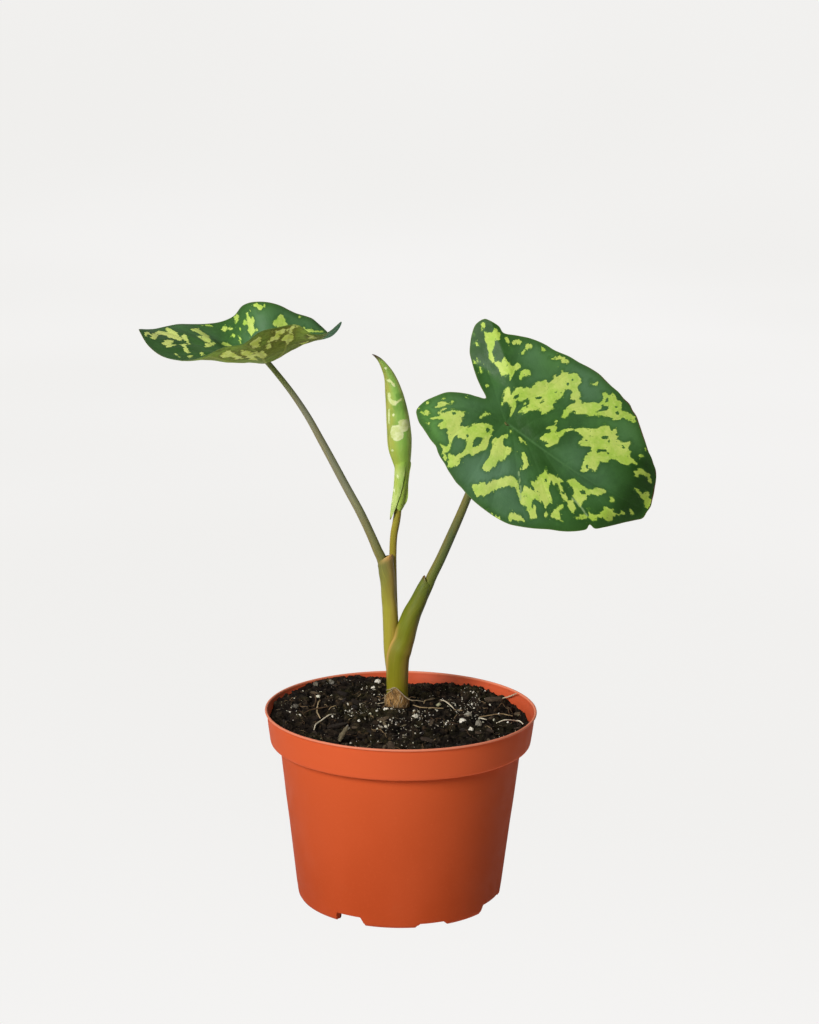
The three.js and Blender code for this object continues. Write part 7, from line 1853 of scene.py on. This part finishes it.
def make_rolled():
    rows = [(-2.95, 19.7, 218.6, 2.05), (-2.65, 19.62, 221.2, 2.3), (-2.35, 19.55, 225.0, 2.6), (-2.05, 19.45, 230.0, 2.85), (-1.6, 19.35, 234.0, 3.2), (-0.95, 19.1, 239.5, 3.9), (-0.8, 18.95, 243.0, 4.45), (-1.2, 18.8, 247.2, 5.38)] + FURLED[6:] + [(-18.0, 16.3, 306.2, 0.14)]
    curve = even(spline(np.array(rows, float), per=14), 0.6)
    line, radius = curve[:, :3], curve[:, 3]
    n, sides = len(line), 84
    tangent, side, other = frames(line)
    # a spiral section: the wrapped edge steps out a little where the roll ends
    seam = 3.55                                               # radians, front left
    a = seam + np.linspace(0, 2 * math.pi, sides)
    step = np.minimum(0.52, 0.11 * radius)
    r = radius[:, None] * (1 + 0.0 * a[None]) - step[:, None] * (1 - np.linspace(0, 1, sides)[None]) ** 1.6
    field = np.stack([np.cos(a)[None] * 1.8 + 0 * line[:, 2:3], np.sin(a)[None] * 1.8 + 0 * line[:, 2:3], line[:, 2:3] / 7 + 0 * a[None]], -1)
    r = r * (1 + 0.03 * fbm(field.reshape(-1, 3), 2, 91).reshape(n, sides))
    V = (line[:, None] + side[:, None] * (r * np.cos(a))[..., None] + other[:, None] * (r * np.sin(a))[..., None]).reshape(-1, 3)
    quads = grid_faces(n, sides, wrap=True)
    j, k = np.arange(sides), (np.arange(sides) + 1) % sides
    top = (n - 1) * sides
    tris = np.vstack([np.stack([k, j, np.full(sides, n * sides)], 1), np.stack([top + j, top + k, np.full(sides, n * sides + 1)], 1)])
    V = np.vstack([V, line[0], line[-1]])
    xz = V[:, [0, 2]]
    front = np.r_[(np.sin(np.tile(a, n)) < 0.25), True, True]
    patch = np.where(front, ring_field(xz, ROLLED_PATCHES), ring_field(np.c_[-5.5 - xz[:, 0], xz[:, 1] + 4.0], ROLLED_PATCHES))
    across = np.r_[0.5 + 0.5 * np.cos(np.tile(a, n)), 0.5, 0.5]
    body = (V, [tris, quads], {"patch": patch, "side": across, "crease_shade": np.zeros(len(V)), "flap": np.zeros(len(V)), "brown": 0.9 * smooth(303.5, 306.0, V[:, 2])})

    def lobe(ring, inset, dark_line, brown, flap):
        ring = even(spline(np.array(ring, float), closed=True, per=8), 0.45, closed=True)
        q, tri, rim = fill(ring, 0.5)
        edge, _ = polyline_distance(q, ring, closed=True)
        x, z = q[:, 0], q[:, 1]
        xc = np.interp(z, [212, 221, 234, 246], [-4.6, -2.9, -1.2, -0.9])
        yc = np.interp(z, [212, 221, 234, 246], [19.9, 19.6, 19.2, 18.8])
        R = np.interp(z, [212, 222, 234, 239, 243, 248], [3.4, 4.3, 4.6, 4.45, 4.3, 4.6]) - inset
        y = yc - np.sqrt(np.maximum(R * R - (x - xc) ** 2, 0.6)) + 0.25 * noise(q / 3.0, 5)
        h = 0.08 + 0.3 * (1 - np.exp(-edge / 1.0))
        m = len(q)
        V = np.vstack([np.c_[x, y - h, z], np.c_[x, y + h, z]])
        front_tri = tri
        band = np.stack([rim[:, 1], rim[:, 0], rim[:, 0] + m, rim[:, 1] + m], 1)
        d, _ = polyline_distance(q, np.array(dark_line, float))
        crease_shade = smooth(1.0, 0.2, d)
        left_to_right = np.clip((x - xc) / (2 * R) + 0.5, 0, 1)
        two = lambda u: np.r_[u, u]
        return V, [np.vstack([front_tri, tri[:, ::-1] + m]), band], {"patch": two(ring_field(q, ROLLED_PATCHES)), "side": two(left_to_right), "crease_shade": np.r_[crease_shade, np.ones(m)], "flap": flap * two(smooth(246.0, 238.5, z)) if flap < 1.5 else np.full(2 * m, flap), "brown": two(brown(x, z))}

    crease = [(0.6, 241.0), (0.2, 237.0), (-0.7, 232.2), (-1.8, 227.6), (-3.1, 223.6), (-4.3, 220.0), (-5.7, 216.2), (-7.0, 213.0)]
    tail = [(-4.0, 247.5), (-4.9, 242.5), (-5.15, 237.0), (-5.5, 231.0), (-6.2, 225.5), (-6.9, 219.5), (-7.3, 215.0), (-7.25, 212.7), (-6.7, 213.4), (-5.5, 216.4), (-4.1, 220.2), (-2.9, 223.9), (-1.6, 227.8), (-0.5, 232.4), (0.4, 237.1), (0.9, 241.5), (1.2, 247.5)]
    right = [(1.2, 246.0), (0.9, 241.0), (0.1, 236.5), (-1.3, 231.0), (-2.4, 226.6), (-3.6, 222.6), (-3.7, 220.3), (-2.7, 218.5), (-1.4, 217.8), (-0.2, 219.0), (0.8, 220.9), (2.0, 223.0), (2.65, 225.8), (2.75, 229.5), (2.8, 233.5), (3.35, 239.0), (3.9, 246.0)]
    one = lobe(tail, 0.0, [(9, 9), (9, 8)], lambda x, z: 0.9 * smooth(215.5, 213.0, z), 1.0)
    two_ = lobe(right, 0.75, crease, lambda x, z: 0 * x, 2.0)
    v, f, fields = stack([body, one, two_])
    ob = mesh_object("rolled_leaf", v, f, [ROLLED], fields=fields, sharp=50)
    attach(ob, "root")
    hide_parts("furled_leaf")


make_rolled()


# ------------------------------------------------------------------ stage, light, finish
def sweep_floor():
    """Pale floor that curves up into a backdrop and over, far off on every side."""
    prof = [(r, 0.0) for r in (150, 400, 800, 1400, 2200, 3000)]
    for i in range(1, 11):
        t = i / 10 * math.pi / 2
        prof.append((3000 + 1200 * math.sin(t), 1200 * (1 - math.cos(t))))
    prof.append((4200, 2400))
    for i in range(1, 13):
        t = i / 12 * math.pi / 2
        prof.append((max(1.0, 4200 * math.cos(t)), 2400 + 2400 * math.sin(t)))
    prof = [(1.0, 0.0)] + prof
    a = np.arange(72) / 72 * 2 * math.pi
    V = np.array([(r * math.cos(t), r * math.sin(t), z - 0.02) for r, z in prof for t in a])
    ob = mesh_object("studio_sweep", V, [grid_faces(len(prof), len(a), wrap=True)], [FLOOR])
    return ob


def flat_floor():
    """The grey table top that light and reflections meet, just under the pale one that the camera sees."""
    x = np.linspace(-2500, 2500, 11)
    V = np.array([(xx, y, -0.6) for y in x for xx in x])
    ob = mesh_object("studio_table", V, [grid_faces(len(x), len(x))], [TABLE])
    return ob


floor = sweep_floor()
for way in ("visible_diffuse", "visible_glossy", "visible_transmission", "visible_shadow"):
    setattr(floor, way, False)
table = flat_floor()
table.visible_camera = False
table.visible_diffuse = False
table.visible_shadow = False


def sun(name, towards, strength, spread, colour=(1, 1, 1)):
    data = bpy.data.lights.new(name, "SUN")
    data.energy = strength
    data.angle = math.radians(spread)
    data.color = colour
    ob = bpy.data.objects.new(name, data)
    bpy.context.scene.collection.objects.link(ob)
    ob.rotation_euler = Vector(towards).to_track_quat("-Z", "Y").to_euler()
    return ob


def light_from(azimuth, elevation):
    """Direction in which light travels when it comes from azimuth (left of the camera positive) and elevation."""
    a, e = math.radians(azimuth), math.radians(elevation)
    return (math.sin(a) * math.cos(e), math.cos(a) * math.cos(e), -math.sin(e))


sun("key", light_from(36, 30), 3.42, 26)
for fill in (sun("from_floor", light_from(0, -84), 1.7, 30), sun("behind", light_from(160, 14), 0.6, 50)):
    fill.visible_glossy = False
world = bpy.data.worlds.new("studio")
bpy.context.scene.world = world
world.use_nodes = True
world.node_tree.nodes["Background"].inputs["Color"].default_value = (1.0, 0.995, 0.99, 1.0)
world.node_tree.nodes["Background"].inputs["Strength"].default_value = 0.23
bpy.context.scene.view_settings.view_transform = "Standard"
bpy.context.scene.view_settings.look = "None"
bpy.context.scene.view_settings.exposure = 0.0
bpy.context.scene.view_settings.gamma = 1.0
